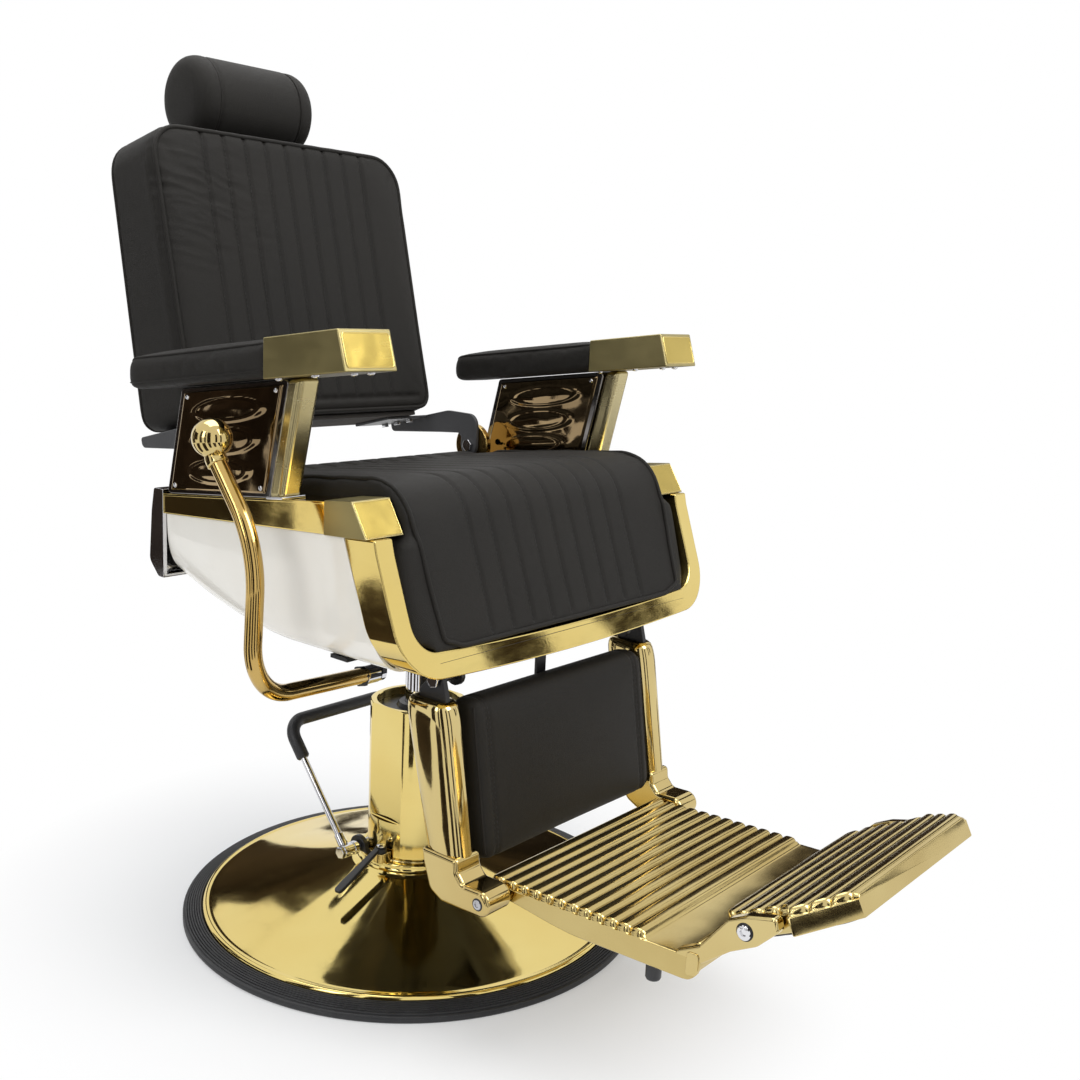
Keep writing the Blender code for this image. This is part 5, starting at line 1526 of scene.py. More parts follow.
    @staticmethod
    def _curve(corners: Sequence[Point], steps: int) -> list[Pair]:
        """A Bezier curve of any degree through its first and last corner."""
        degree = len(corners) - 1
        points = []
        for step in range(steps + 1):
            t = step / steps
            weights = [comb(degree, k) * (1 - t) ** (degree - k) * t ** k for k in range(degree + 1)]
            points.append((sum(w * p[0] for w, p in zip(weights, corners)),
                           sum(w * p[1] for w, p in zip(weights, corners))))
        return points

    def _band(self, shop: Workshop) -> None:
        """The gold band: side face, rolled front edge, sloping lip and inner wall."""
        at = self.lines
        rings = []
        for (x_out, z_out), (x_in, z_in) in zip(at.band_path(0.0), at.band_path(at.band_t)):
            lean = (at.rail_bottom(at.front_y) - z_out) / (at.rail_bottom(at.front_y) - at.band_low_z)
            narrow = 1.0 - (self.band_in + (self.band_in_low - self.band_in) * min(max(lean, 0.0), 1.0)) / at.rail_x
            x_out, x_in = x_out * narrow, x_in * narrow
            front_out, front_in = at.band_front(z_out) + self.band_back, at.band_front(z_in) + self.band_back
            rings.append([(x_out, front_out, z_out), (x_in, front_in, z_in),
                          (x_in, front_in + at.band_depth - self.band_back, z_in),
                          (x_out, front_out + at.band_depth - self.band_back, z_out)])
        for end in (0, -1):
            rings[end] = [(x, y, at.rail_bottom(y) - GAP * 2) for x, y, _ in rings[end]]
        shop.piece("band_plated", loft(rings), GOLD, Body.SEAT, ["front_band"], bevel=0.0022, segments=4,
                   sharp=PRESSED_EDGE)

    def _rear_panel(self, shop: Workshop) -> None:
        """Chrome panel across the rear, hollow, with rolled upright edges."""
        at = self.lines
        top = at.rail_top(at.rear_y) + 0.006
        low = self.panel_low
        front = at.rear_y + GAP
        outline = [(front, top), (front, low), (front + 0.012, low), (front + self.panel_t + 0.006, low + 0.02),
                   (front + self.panel_t, top - 0.03), (front + self.panel_t - 0.006, top)]
        outline = rounded(outline, [0.0005, 0.0005, 0.01, 0.014, 0.02, 0.004], 8)
        panel = shop.piece("rear_panel_chrome", prism_x(outline, -at.rail_x - 0.0015, at.rail_x + 0.0015), CHROME,
                           Body.SEAT, ["rear_panel"], bevel=0.003, segments=4, sharp=PRESSED_EDGE)
        wall = 0.004
        hollow = [(front - 0.01, low + wall), (front - 0.01, top - wall),
                  (front + self.panel_t - wall - 0.006, top - wall),
                  (front + self.panel_t - wall - 0.006, low + wall)]
        shop.carve(panel, prism_x(hollow, -at.rail_x + wall, at.rail_x - wall))


@dataclass(frozen=True)
class SeatCushion:
    """Seat cushion with a waterfall front, nine stitched seams and a piped front panel."""

    lines: SeatLines = SeatLines()
    half: float = 0.2525
    tail_half: float = 0.232
    rear_y: float = 0.1
    rear_top: float = 0.646
    front_top: float = 0.678
    floor: float = 0.4816
    seams: int = 9
    seam_pitch: float = 0.0378
    piping_x: float = 0.243
    skin: float = 0.0025
    seam_low: float = 0.483

    def build(self, upholsterer: Upholsterer) -> None:
        """Build the cushion, its seams and its piping."""
        at = self.lines
        lip = at.band_low_z + at.lip_h + GAP * 2
        face = at.band_front(lip) - 0.004
        back_y = at.band_rear(self.floor + 0.01) + 0.002
        inset = self.skin
        outline = [(self.rear_y, self.floor), (self.rear_y, self.rear_top - inset),
                   (at.band_front(self.front_top) + 0.002 + inset, self.front_top - inset),
                   (face + inset, lip - 0.016), (at.band_front(lip) + 0.001, lip - 0.016),
                   (at.band_front(lip) + 0.003, lip + 0.001), (back_y, lip + 0.001), (back_y, self.floor)]
        outline = rounded(outline, [0.004, 0.02, 0.062, 0.008, 0.001, 0.0, 0.0, 0.0], 9)
        body = prism_x(outline, -self.half + 0.001, self.half - 0.001)
        tail_y = at.rear_y - 0.005
        tail = rounded([(0.05, self.floor), (0.05, self.rear_top - inset - 0.001),
                        (tail_y, self.rear_top - inset - 0.001), (tail_y, self.floor)], [0.0, 0.0, 0.02, 0.004], 6)
        high = at.rail_bottom(at.front_y) - 0.004
        low = lip + at.corner_r - at.band_t
        flanks = []
        for x, drop, step, fall in ((self.half - 0.01, 0.0, -0.018, 0.033), (self.half + 0.008, 0.002, -0.016, 0.03),
                                    (self.half + 0.016, 0.008, -0.011, 0.024),
                                    (at.rail_x - at.band_t - 0.0065, 0.024, -0.002, 0.012)):
            flanks.append([(x, at.band_rear(high - drop) - 0.004, high - drop),
                           (x, at.band_front(high - drop) + 0.017 + step, high - drop),
                           (x, at.band_front(low) + 0.017 + step, low - fall),
                           (x, at.band_rear(low) - 0.004, low - fall)])
        mirrored = [[(-x, y, z) for x, y, z in ring] for ring in flanks]
        mesh = joined(body, prism_x(tail, -self.tail_half, self.tail_half), loft(flanks), loft(mirrored))
        places = [self.seam_pitch * (index - (self.seams - 1) / 2) for index in range(self.seams)]

        def held(point: Vector) -> bool:
            """Seams, the underside, the rear and everything behind the rails are held."""
            on_face = point.z > self.seam_low + 0.011 and point.y < 0.13
            near_seam = min(abs(point.x - place) for place in places) < 0.0028
            below = (point.z < 0.492 and point.y > at.band_front(lip) + 0.004) or point.y > 0.14
            side = abs(point.x) > self.half - 0.004 and point.z < 0.65
            return (near_seam and on_face and (point.z > 0.62 or point.y < -0.19)) or below or side

        stuffing = Stuffing(voxel=0.0054, pressure=6.0, slack=0.0, most=0.01, bending=4.0, soften=6)
        cushion = upholsterer.cushion("seat_cushion_sewn", mesh, Body.SEAT, ["seat_cushion"], stuffing, held)

        def share(points: np.ndarray, normals: np.ndarray) -> np.ndarray:
            """Where the seams run: over the top and down the front."""
            open_face = (normals[:, 2] > 0.35) | (normals[:, 1] < -0.35)
            fade = np.clip((points[:, 2] - self.seam_low - 0.002) / 0.012, 0.0, 1.0)
            return open_face * fade

        upholsterer.groove(cushion, places, 0.003, 0.003, share)
        lines = []
        for place in places:
            lines.append([spot for spot in (self._cast(upholsterer, cushion, place, s / 90) for s in range(6, 90))
                          if spot])
        upholsterer.stitches("seat_stitches", lines, Body.SEAT)
        self._piping(upholsterer, cushion)

    def _profile(self, share: float) -> tuple[Vector, Vector]:
        """A point outside the cushion's face and the direction in, from the rear over the top to the lower front."""
        at = self.lines
        if share < 0.52:
            y = 0.15 + (at.band_front(self.front_top) + 0.075 - 0.15) * share / 0.52
            return Vector((0.0, y, self.front_top + 0.06)), Vector((0.0, 0.0, -1.0))
        turn = min((share - 0.52) / 0.16, 1.0)
        angle = radians(20.0 + 70.0) * turn
        centre = Vector((0.0, at.band_front(self.front_top) + 0.075, self.front_top - 0.066))
        if share < 0.68:
            out = Vector((0.0, -sin(angle), cos(angle)))
            return centre + out * 0.14, -out
        z = centre.z + (self.seam_low - centre.z) * (share - 0.68) / 0.32
        return Vector((0.0, -0.42, z)), Vector((0.0, 1.0, 0.0))

    def _cast(self, upholsterer: Upholsterer, cushion: Thing, x: float, share: float) -> Vector | None:
        """The cushion's surface at x and a share of the way over it."""
        start, ahead = self._profile(share)
        found = upholsterer.ray(cushion, start + Vector((x, 0.0, 0.0)), ahead)
        return found[0] + found[1] * 0.0002 if found else None

    def _piping(self, upholsterer: Upholsterer, cushion: Thing) -> None:
        """Pipe both long edges and the lower edge of the panel in one run."""
        side_path = []
        for step in range(4, 88):
            share = step / 90
            x = self.piping_x - 0.01 * max(0.0, (share - 0.68) / 0.32)
            spot = self._cast(upholsterer, cushion, x, share)
            if spot:
                side_path.append(spot)
        end = side_path[-1]
        corner = [Vector((end.x - 0.024 * sin(a), end.y - 0.001, end.z - 0.01 * (1 - cos(a))))
                  for a in (0.5, 1.0, 1.4)]
        right = [Vector((-p.x, p.y, p.z)) for p in side_path + corner]
        left = list(reversed(side_path + corner))
        floor = [Vector((x, right[-1].y, right[-1].z)) for x in np.linspace(right[-1].x, left[0].x, 40)[1:-1]]
        upholsterer.piping("seat_piping", cushion, right + floor + left, Body.SEAT)


@dataclass(frozen=True)
class ArmRests:
    """Arm supports with embossed mirror skins, slanted posts, arm pads and gold caps."""

    lines: SeatLines = SeatLines()
    pad_x: float = 0.2995
    pad_w: float = 0.075
    pad_h: float = 0.046
    rear_y: float = 0.209
    cap_y: float = -0.076
    front_y: float = -0.202
    rear_top: float = 0.7905
    slope: float = 0.128
    frame_t: float = 0.028
    post_d: float = 0.026
    rear_top_y: float = 0.121
    front_top_y: float = -0.09
    front_low_y: float = -0.056
    rear_low_y: float = 0.155

    def top(self, y: float) -> float:
        """Height of the pad's upper face at y."""
        return self.rear_top + self.slope * (self.rear_y - y)

    def under(self, y: float) -> float:
        """Height just under the pad at y."""
        return self.top(y) - self.pad_h - GAP

    def build(self, shop: Workshop, upholsterer: Upholsterer) -> None:
        """Build both arms."""
        for side in Side:
            outline = self._panel()
            self._frame(shop, side, outline)
            self._skins(shop, side, outline)
            self._post(shop, side)
            self._cap(shop, side)
            self._pad(upholsterer, side)

    def _panel(self) -> list[Pair]:
        """Corners of the support in (y, z): rear top, front top, front low, rear low."""
        high = [(y, self.under(y)) for y in (self.rear_top_y, self.front_top_y)]
        return high + [(y, self.lines.rail_top(y) + GAP) for y in (self.front_low_y, self.rear_low_y)]

    def _frame(self, shop: Workshop, side: Side, outline: Sequence[Point]) -> None:
        """Smoked chrome frame with rounded edges."""
        outer = self.lines.rail_x + 0.0005
        span = side.span(outer, outer - self.frame_t)
        shape = rounded(outline, 0.006, 6)
        shop.piece("arm_frame_chrome_" + side.label, prism_x(shape, *span), SMOKED, Body.SEAT,
                   ["arm_frame_" + side.label], bevel=0.0022, segments=4, sharp=PRESSED_EDGE)

    def _skins(self, shop: Workshop, side: Side, outline: Sequence[Point]) -> None:
        """Mirror skins on both faces, each with three stacked ovals pressed out and a screw in each corner."""
        outer = self.lines.rail_x + 0.0005
        centre = Vector((sum(y for y, _ in outline) / 4, sum(z for _, z in outline) / 4))
        window = [centre + (Vector(p) - centre) * 0.915 for p in outline]
        for face, x, away in (("outer", outer + GAP, 1.0), ("inner", outer - self.frame_t - GAP, -1.0)):
            replaces = ["arm_skin_" + side.label] if face == "outer" else []
            skin = self._embossed(window, side.sign * x, side.sign * away)
            shop.piece("arm_skin_" + face + "_" + side.label, skin, BRONZE_SKIN, Body.SEAT, replaces,
                       sharp=PRESSED_EDGE)
            for index, corner in enumerate(window):
                spot = centre + (corner - centre) * 0.9
                base = side.sign * (x + away * 0.0018)
                head = self._screw(base, side.sign * away, spot, 0.003)
                shop.piece("arm_screw_{}_{}_{}".format(face, index, side.label), head, CHROME, Body.SEAT,
                           sharp=BAR_EDGE)

    def _embossed(self, window: Sequence[Vector], x: float, away: float) -> Mesh:
        """A thin sheet over a window of four corners, domed into three ovals."""
        rear_top, front_top, front_low, rear_low = window
        across, up = 84, 84
        rows = []
        for j in range(up + 1):
            v = j / up
            row = []
            for i in range(across + 1):
                u = i / across
                spot = rear_low.lerp(front_low, u).lerp(rear_top.lerp(front_top, u), v)
                edge = min(u, 1 - u, v, 1 - v)
                height = 0.0018 * min(1.0, edge / 0.012) + self._oval(u, v)
                row.append((x + away * height, spot.x, spot.y))
            rows.append(row)
        mesh = bmesh.new()
        verts = [[mesh.verts.new(point) for point in row] for row in rows]
        for low, high in zip(verts, verts[1:]):
            for index in range(across):
                mesh.faces.new((low[index], low[index + 1], high[index + 1], high[index]))
        rim = [verts[0][i] for i in range(across + 1)] + [verts[j][across] for j in range(1, up + 1)]
        rim += [verts[up][i] for i in range(across - 1, -1, -1)] + [verts[j][0] for j in range(up - 1, 0, -1)]
        mesh.faces.new(rim)
        return mesh

    @staticmethod
    def _oval(u: float, v: float) -> float:
        """Height of the pressed ovals at a place on the sheet, both from 0 to 1."""
        height = 0.0
        for middle, wide, tall in ((0.8, 0.34, 0.115), (0.5, 0.32, 0.125), (0.2, 0.3, 0.115)):
            reach = hypot((u - 0.5) / wide, (v - middle) / tall)
            if reach < 1.18:
                ring = exp(-((reach - 0.98) / 0.1) ** 2) * 0.0012
                bowl = 0.0022 * max(0.0, 1 - reach ** 2) ** 0.8
                height = max(height, ring + bowl)
        return height

    @staticmethod
    def _screw(x: float, away: float, spot: Vector, radius: float) -> Mesh:
        """A small domed screw head that faces along x."""
        rings = []
        for share, lift in ((1.0, 0.0), (1.0, 0.0005), (0.86, 0.0011), (0.55, 0.0015), (0.28, 0.00165),
                            (0.26, 0.0009)):
            rings.append([(x + away * lift, spot.x + radius * share * cos(a), spot.y + radius * share * sin(a))
                          for a in (tau * k / 20 for k in range(20))])
        return loft(rings)

    def _post(self, shop: Workshop, side: Side) -> None:
        """Slanted front post with rounded edges and a small foot flange."""
        gap = GAP * 1.5
        corners = [(self.front_top_y - gap, self.under(self.front_top_y)),
                   (self.front_top_y - self.post_d, self.under(self.front_top_y - self.post_d)),
                   (self.front_low_y - self.post_d, self.lines.rail_top(self.front_low_y - self.post_d) + GAP),
                   (self.front_low_y - gap, self.lines.rail_top(self.front_low_y) + GAP)]
        span = across(side, self.pad_x, 0.032)
        shop.piece("arm_post_plated_" + side.label, prism_x(corners, *span), GOLD_POST, Body.SEAT,
                   ["arm_post_" + side.label], bevel=0.0075, segments=6, sharp=PRESSED_EDGE)
        low_y = (self.front_low_y - self.post_d - 0.004, self.front_low_y - gap)
        flange = [(y, self.lines.rail_top(y) + GAP) for y in low_y]
        flange += [(y, self.lines.rail_top(y) + 0.0034) for y in reversed(low_y)]
        shop.piece("arm_post_flange_" + side.label, prism_x(flange, *across(side, self.pad_x, 0.036)), CHROME,
                   Body.SEAT, bevel=0.0012)

    def _cap(self, shop: Workshop, side: Side) -> None:
        """Gold end cap with a framed front face and the screws under it."""
        low = self.top(self.front_y - 0.014) - self.pad_h
        outline = [(self.cap_y, self.top(self.cap_y) + 0.001), (self.front_y, self.top(self.front_y) + 0.001),
                   (self.front_y - 0.014, low), (self.cap_y, self.top(self.cap_y) - self.pad_h)]
        span = across(side, self.pad_x, self.pad_w + 0.001)
        shop.piece("arm_cap_plated_" + side.label, prism_x(outline, *span), GOLD_CAP, Body.SEAT,
                   ["arm_cap_" + side.label], bevel=0.0016)
        top, foot = Vector((0.0, *outline[1])), Vector((0.0, *outline[2]))
        inset = 0.004
        corners = [(span[0] + inset, 0.1), (span[1] - inset, 0.1), (span[1] - inset, 0.9), (span[0] + inset, 0.9)]
        out = Vector((0.0, -(top - foot).z, (top - foot).y)).normalized()
        path = [Vector((x, 0.0, 0.0)) + top.lerp(foot, share) for x, share in corners]
        loop = rounded_loop(path, 0.004)
        shop.piece("cap_front_frame_" + side.label, tube([p + out * 0.0001 for p in loop], 0.0009, 10, True), GOLD,
                   Body.SEAT, sharp=NO_EDGE)
        plate = [[Vector((x, 0.0, 0.0)) + top.lerp(foot, share) + out * lift for x, share in corners]
                 for lift in (-0.001, 0.0003)]
        shop.piece("cap_front_face_" + side.label, loft(plate), GOLD_SATIN, Body.SEAT, bevel=0.0002)
        for index, (x, y) in enumerate(((-0.024, self.cap_y - 0.012), (0.024, self.cap_y - 0.012),
                                        (-0.024, self.cap_y - 0.075), (0.01, self.cap_y - 0.1),
                                        (0.024, self.cap_y - 0.112))):
            z = self.top(y) - self.pad_h
            rings = [(0.0048, z + 0.001), (0.0048, z - 0.0008), (0.004, z - 0.0022), (0.0022, z - 0.003),
                     (0.0, z - 0.0033), (0.0, z + 0.001)]
            shop.piece("cap_screw_{}_{}".format(index, side.label),
                       turned(rings, 28, (side.sign * self.pad_x + x, y)), CHROME, Body.SEAT, sharp=PRESSED_EDGE)

    def _pad(self, upholsterer: Upholsterer, side: Side) -> None:
        """Arm pad with a crowned top panel between two piped edges."""
        ins = 0.0015
        rear, front = self.rear_y - ins, self.cap_y + GAP
        x_low, x_high = across(side, self.pad_x, self.pad_w - 2 * ins)
        rings = []
        for y, shrink in ((rear, 0.012), (rear - 0.003, 0.005), (rear - 0.01, 0.001), (rear - 0.02, 0.0),
                          (front, 0.0)):
            high, low = self.top(y) - ins - shrink, self.top(y) - self.pad_h + ins + shrink
            section = rounded([(x_low + shrink, low), (x_high - shrink, low), (x_high - shrink, high),
                               (x_low + shrink, high)], [0.01, 0.01, 0.013, 0.013], 5)
            rings.append([(x, y, z) for x, z in section])

        def held(point: Vector) -> bool:
            """The underside and the edge that enters the cap are held."""
            return point.z < self.top(point.y) - self.pad_h + 0.006 or point.y < front + 0.004

        stuffing = Stuffing(voxel=0.004, pressure=4.0, slack=0.002, most=0.003, frames=10, soften=4, bending=3.0)
        name = "arm_pad_sewn_" + side.label
        pad = upholsterer.cushion(name, loft(rings), Body.SEAT, ["arm_pad_" + side.label], stuffing, held)
        inner, outer = x_low + 0.006, x_high - 0.006
        ys = list(np.linspace(front + 0.001, rear - 0.006, 48))
        path = [Vector((inner, y, self.top(y) - 0.0055)) for y in ys]
        turn = [Vector((x, rear + 0.002, self.top(rear) - 0.0075)) for x in np.linspace(inner, outer, 16)[1:-1]]
        path += turn + [Vector((outer, y, self.top(y) - 0.0055)) for y in reversed(ys)]
        upholsterer.piping("arm_piping_" + side.label, pad, path, Body.SEAT, radius=0.0016)
        low_path = [Vector((x_low if side is Side.RIGHT else x_high, y, self.top(y) - self.pad_h + 0.01)) for y in ys]
        upholsterer.piping("arm_seam_" + side.label, pad, low_path, Body.SEAT, radius=0.001)


@dataclass(frozen=True)
class HingePlates:
    """Round plates inside the rails with the pins of the recline arms."""

    y: float = 0.14
    z: float = 0.65
    radius: float = 0.034
    tongue_w: float = 0.036
    tongue_z: float = 0.6
    inner_x: float = 0.2532
    arm_x: float = 0.236
    arm_t: float = 0.006
    pin_r: float = 0.006

    def build(self, shop: Workshop) -> None:
        """Build both plates, each with its pin and a hexagon head on the pin."""
        spread = asin(self.tongue_w / 2 / self.radius)
        outline = arc((self.y, self.z), self.radius, spread - pi / 2, pi * 1.5 - spread, 56)
        outline += [(self.y - self.tongue_w / 2, self.tongue_z), (self.y + self.tongue_w / 2, self.tongue_z)]
        for side in Side:
            disc = side.span(self.inner_x, self.arm_x + self.arm_t + 0.001)
            shop.piece("hinge_plate_" + side.label, prism_x(outline, *disc), GOLD_TUBE, Body.SEAT,
                       ["hinge_disc_" + side.label], bevel=0.0016, segments=4)
            pin = bar((side.sign * (self.arm_x - 0.004), self.y, self.z), (side.sign * self.inner_x, self.y, self.z),
                      self.pin_r, 32)
            shop.piece("hinge_pin_" + side.label, pin, STEEL, Body.SEAT, sharp=BAR_EDGE)
            head = bar((side.sign * (self.arm_x - 0.0046), self.y, self.z),
                       (side.sign * (self.arm_x - 0.0004), self.y, self.z), 0.01, 6)
            shop.piece("hinge_head_" + side.label, head, CHROME, Body.SEAT, bevel=0.0008, sharp=HEX_EDGE)


# ---------------------------------------------------------------- back, headrest and release lever


@dataclass(frozen=True)
class BackLines:
    """Where the leaning back stands: its foot, its lean and its thickness."""

    recline: float = radians(13.8)
    y: float = 0.2
    z: float = 0.649
    bottom: float = 0.055
    top: float = 0.467
    width: float = 0.462
    thick: float = 0.132
    thick_top: float = 0.112
    hinge_y: float = 0.14
    hinge_z: float = 0.65

    @property
    def lean(self) -> Vector:
        """Direction up along the back."""
        return Vector((0.0, sin(self.recline), cos(self.recline)))

    @property
    def through(self) -> Vector:
        """Direction through the back from its front."""
        return Vector((0.0, cos(self.recline), -sin(self.recline)))

    def point(self, x: float, up: float, depth: float) -> Vector:
        """A point by its place across, up along and through the back."""
        return Vector((x, self.y, self.z)) + self.lean * up + self.through * depth

    def local(self, point: Vector) -> Pair:
        """How far up and how deep in the back a point lies."""
        away = point - Vector((0.0, self.y, self.z))
        return away.dot(self.lean), away.dot(self.through)

    def thickness(self, up: float) -> float:
        """Thickness of the back at a height along it."""
        return self.thick + (self.thick_top - self.thick) * (up - self.bottom) / (self.top - self.bottom)


@dataclass(frozen=True)
class BackRest:
    """Back cushion with nine stitched seams, piped edges, rear cover and the steel brackets under it."""

    at: BackLines = BackLines()
    seams: int = 9
    seam_pitch: float = 0.0365
    seam_low: float = 0.078
    arm_x: float = 0.236
    arm_t: float = 0.006
    foot_x: float = 0.15
    corner_radii: tuple[float, ...] = (0.022, 0.022, 0.05, 0.046)

    def build(self, shop: Workshop, upholsterer: Upholsterer) -> None:
        """Build the back."""
        at = self.at
        half = at.width / 2 - 0.0015
        low, high = at.bottom, at.top - 0.002
        rings = []
        for share, inset in ((0.012, 0.014), (0.035, 0.006), (0.07, 0.002), (0.16, 0.0), (0.9, 0.0), (0.96, 0.003),
                             (1.0, 0.012)):
            outline = self._outline(half - inset, low + inset, high - inset, 7)
            rings.append([at.point(x, up, at.thickness(up) * share) for x, up in outline])
        places = [self.seam_pitch * (index - (self.seams - 1) / 2) for index in range(self.seams)]

        def held(point: Vector) -> bool:
            """Seams, the gathered lower edge, the rear and the middle of the sides are held."""
            up, depth = at.local(point)
            near_seam = min(abs(point.x - place) for place in places) < 0.0028 and up > self.seam_low
            rear = depth > at.thickness(up) - 0.01
            edge = up < low + 0.01 or (0.03 < depth < 0.1 and abs(point.x) > half - 0.004)
            return (near_seam and depth < 0.02) or rear or edge or (abs(up - self.seam_low) < 0.003 and depth < 0.01)

        stuffing = Stuffing(voxel=0.0052, pressure=6.0, slack=0.0, most=0.008, bending=4.0, soften=6)
        back = upholsterer.cushion("back_cushion_sewn", loft(rings), Body.BACK, ["back_cushion"], stuffing, held)
        self._shape(upholsterer, back, places)
        lines = []
        for place in places:
            spots = [self._cast(upholsterer, back, place, up) for up in np.linspace(self.seam_low + 0.003, high
                                                                                    - 0.012, 76)]
            lines.append([spot for spot in spots if spot])
        upholsterer.stitches("back_stitches", lines, Body.BACK)
        self._pipe(upholsterer, back, half)
        shop.finish_node(PLYWOOD, "back_bottom_board")
        for side in Side:
            self._bracket(shop, side)

    def _outline(self, half: float, low: float, high: float, steps: int) -> list[Pair]:
        """The back's outline across and up, with its four corner radii."""
        return rounded([(-half, low), (half, low), (half, high), (-half, high)], self.corner_radii, steps)

    def _shape(self, upholsterer: Upholsterer, back: Thing, places: Sequence[float]) -> None:
        """Press in the seams and the gathered lower edge, and crease the cover near the sitter's right."""
        at = self.at

        def share(points: np.ndarray, normals: np.ndarray) -> np.ndarray:
            """Where the seams run: on the front, above the gathered edge."""
            through = np.array(at.through)
            up = (points - np.array((0.0, at.y, at.z))) @ np.array(at.lean)
            front = (normals @ through) < -0.45
            return front * np.clip((up - self.seam_low) / 0.006, 0.0, 1.0)

        upholsterer.groove(back, places, 0.0032, 0.003, share)
        points = coordinates(back)
        normals = facing(back)
        away = points - np.array((0.0, at.y, at.z))
        up, depth = away @ np.array(at.lean), away @ np.array(at.through)
        gather = np.exp(-((up - self.seam_low) / 0.004) ** 2) * (depth < 0.02) * (np.abs(points[:, 0]) < 0.205)
        ripple = 0.5 + 0.5 * np.cos(points[:, 0] * tau / self.seam_pitch)
        lift = -0.0024 * gather - 0.0012 * gather * ripple
        calm = np.exp(-((up - 0.37) / 0.085) ** 2) * np.clip((-0.02 - points[:, 0]) / 0.12, 0.0, 1.0) * (depth < 0.02)
        folds = np.array([creased(Vector((p[0] * 0.55, 0.0, u * 1.9 + p[0] * 0.35)), 34.0, 3.1)
                          for p, u in zip(points, up)])
        lift += 0.0011 * calm * (1 - np.abs(folds) * 2.6).clip(-1.0, 1.0)
        place_points(back, points + normals * lift[:, None])

    def _cast(self, upholsterer: Upholsterer, back: Thing, x: float, up: float) -> Vector | None:
        """The back's front surface at x and up."""
        found = upholsterer.ray(back, self.at.point(x, up, -0.06), self.at.through)
        return found[0] + found[1] * 0.0003 if found else None

    def _pipe(self, upholsterer: Upholsterer, back: Thing, half: float) -> None:
        """Pipe the front edge and the rear edge of the sides."""
        at = self.at
        for name, inset, share, radius in (("front", 0.0035, 0.035, 0.0032), ("rear", 0.002, 0.94, 0.0024)):
            outline = self._outline(half - inset, at.bottom + inset, at.top - inset, 10)
            dense = []
            for index, (x, up) in enumerate(outline):
                ahead_x, ahead_up = outline[(index + 1) % len(outline)]
                count = max(1, int(hypot(ahead_x - x, ahead_up - up) / 0.008))
                dense += [(x + (ahead_x - x) * k / count, up + (ahead_up - up) * k / count) for k in range(count)]
            path = [at.point(x, up, at.thickness(up) * share) for x, up in dense]
            laid = upholsterer.nearest(back, path, radius * 0.3)
            made = upholsterer.shop.piece("back_piping_" + name, tube(laid, radius, 12, True), HIDE, Body.BACK,
                                          sharp=NO_EDGE)

    def _bracket(self, shop: Workshop, side: Side) -> None:
        """Curved steel bracket from the hinge to the foot of the back, with its flange and bolts."""
        at = self.at
        low = at.bottom - 0.006 - GAP
        deep = at.thickness(at.bottom)
        start = at.point(0.0, low - GAP, deep * 0.86)
        below = at.point(0.0, low - 0.015, deep * 0.86)
        bend_out = at.point(0.0, low - GAP, deep * -0.18)
        bend_in = at.point(0.0, low - 0.03, deep * 0.08)
        eye = 0.017
        outline = [(start.y, start.z), (bend_out.y, bend_out.z), (at.hinge_y - 0.016, at.hinge_z + 0.05),
                   (at.hinge_y - eye, at.hinge_z + 0.012)]
        outline += arc((at.hinge_y, at.hinge_z), eye, pi, tau, 24)
        outline += [(at.hinge_y + eye, at.hinge_z + 0.018), (bend_in.y - 0.01, bend_in.z), (below.y, below.z)]
        radii = [0.004, 0.04, 0.045, 0.004] + [0.0] * 25 + [0.02, 0.04, 0.01]
        span = side.span(self.arm_x, self.arm_x + self.arm_t)
        shop.piece("recline_bracket_" + side.label, prism_x(rounded(outline, radii, 8), *span), GREY_PAINT, Body.BACK,
                   ["recline_arm_" + side.label], bevel=0.0014, sharp=TUBE_EDGE)
        foot = []
        ends = ((self.foot_x, 0.2), (self.arm_x + 0.001, 0.2), (self.arm_x + 0.001, 0.8), (self.foot_x, 0.8))
        for up in (low - GAP - self.arm_t * 0.7, low - GAP):
            foot.append([at.point(side.sign * x, up, deep * share) for x, share in ends])
        shop.piece("recline_flange_" + side.label, loft(foot), GREY_PAINT, Body.BACK, bevel=0.001)
        for index, share in enumerate((0.28, 0.5, 0.72)):
            base = at.point(side.sign * (self.arm_x - 0.03), low - GAP - self.arm_t * 0.7, deep * share)
            bolt = bar(base, base - at.lean * 0.0055, 0.0062, 6)
            shop.piece("recline_bolt_{}_{}".format(index, side.label), bolt, CHROME, Body.BACK, bevel=0.0005,
                       sharp=HEX_EDGE)


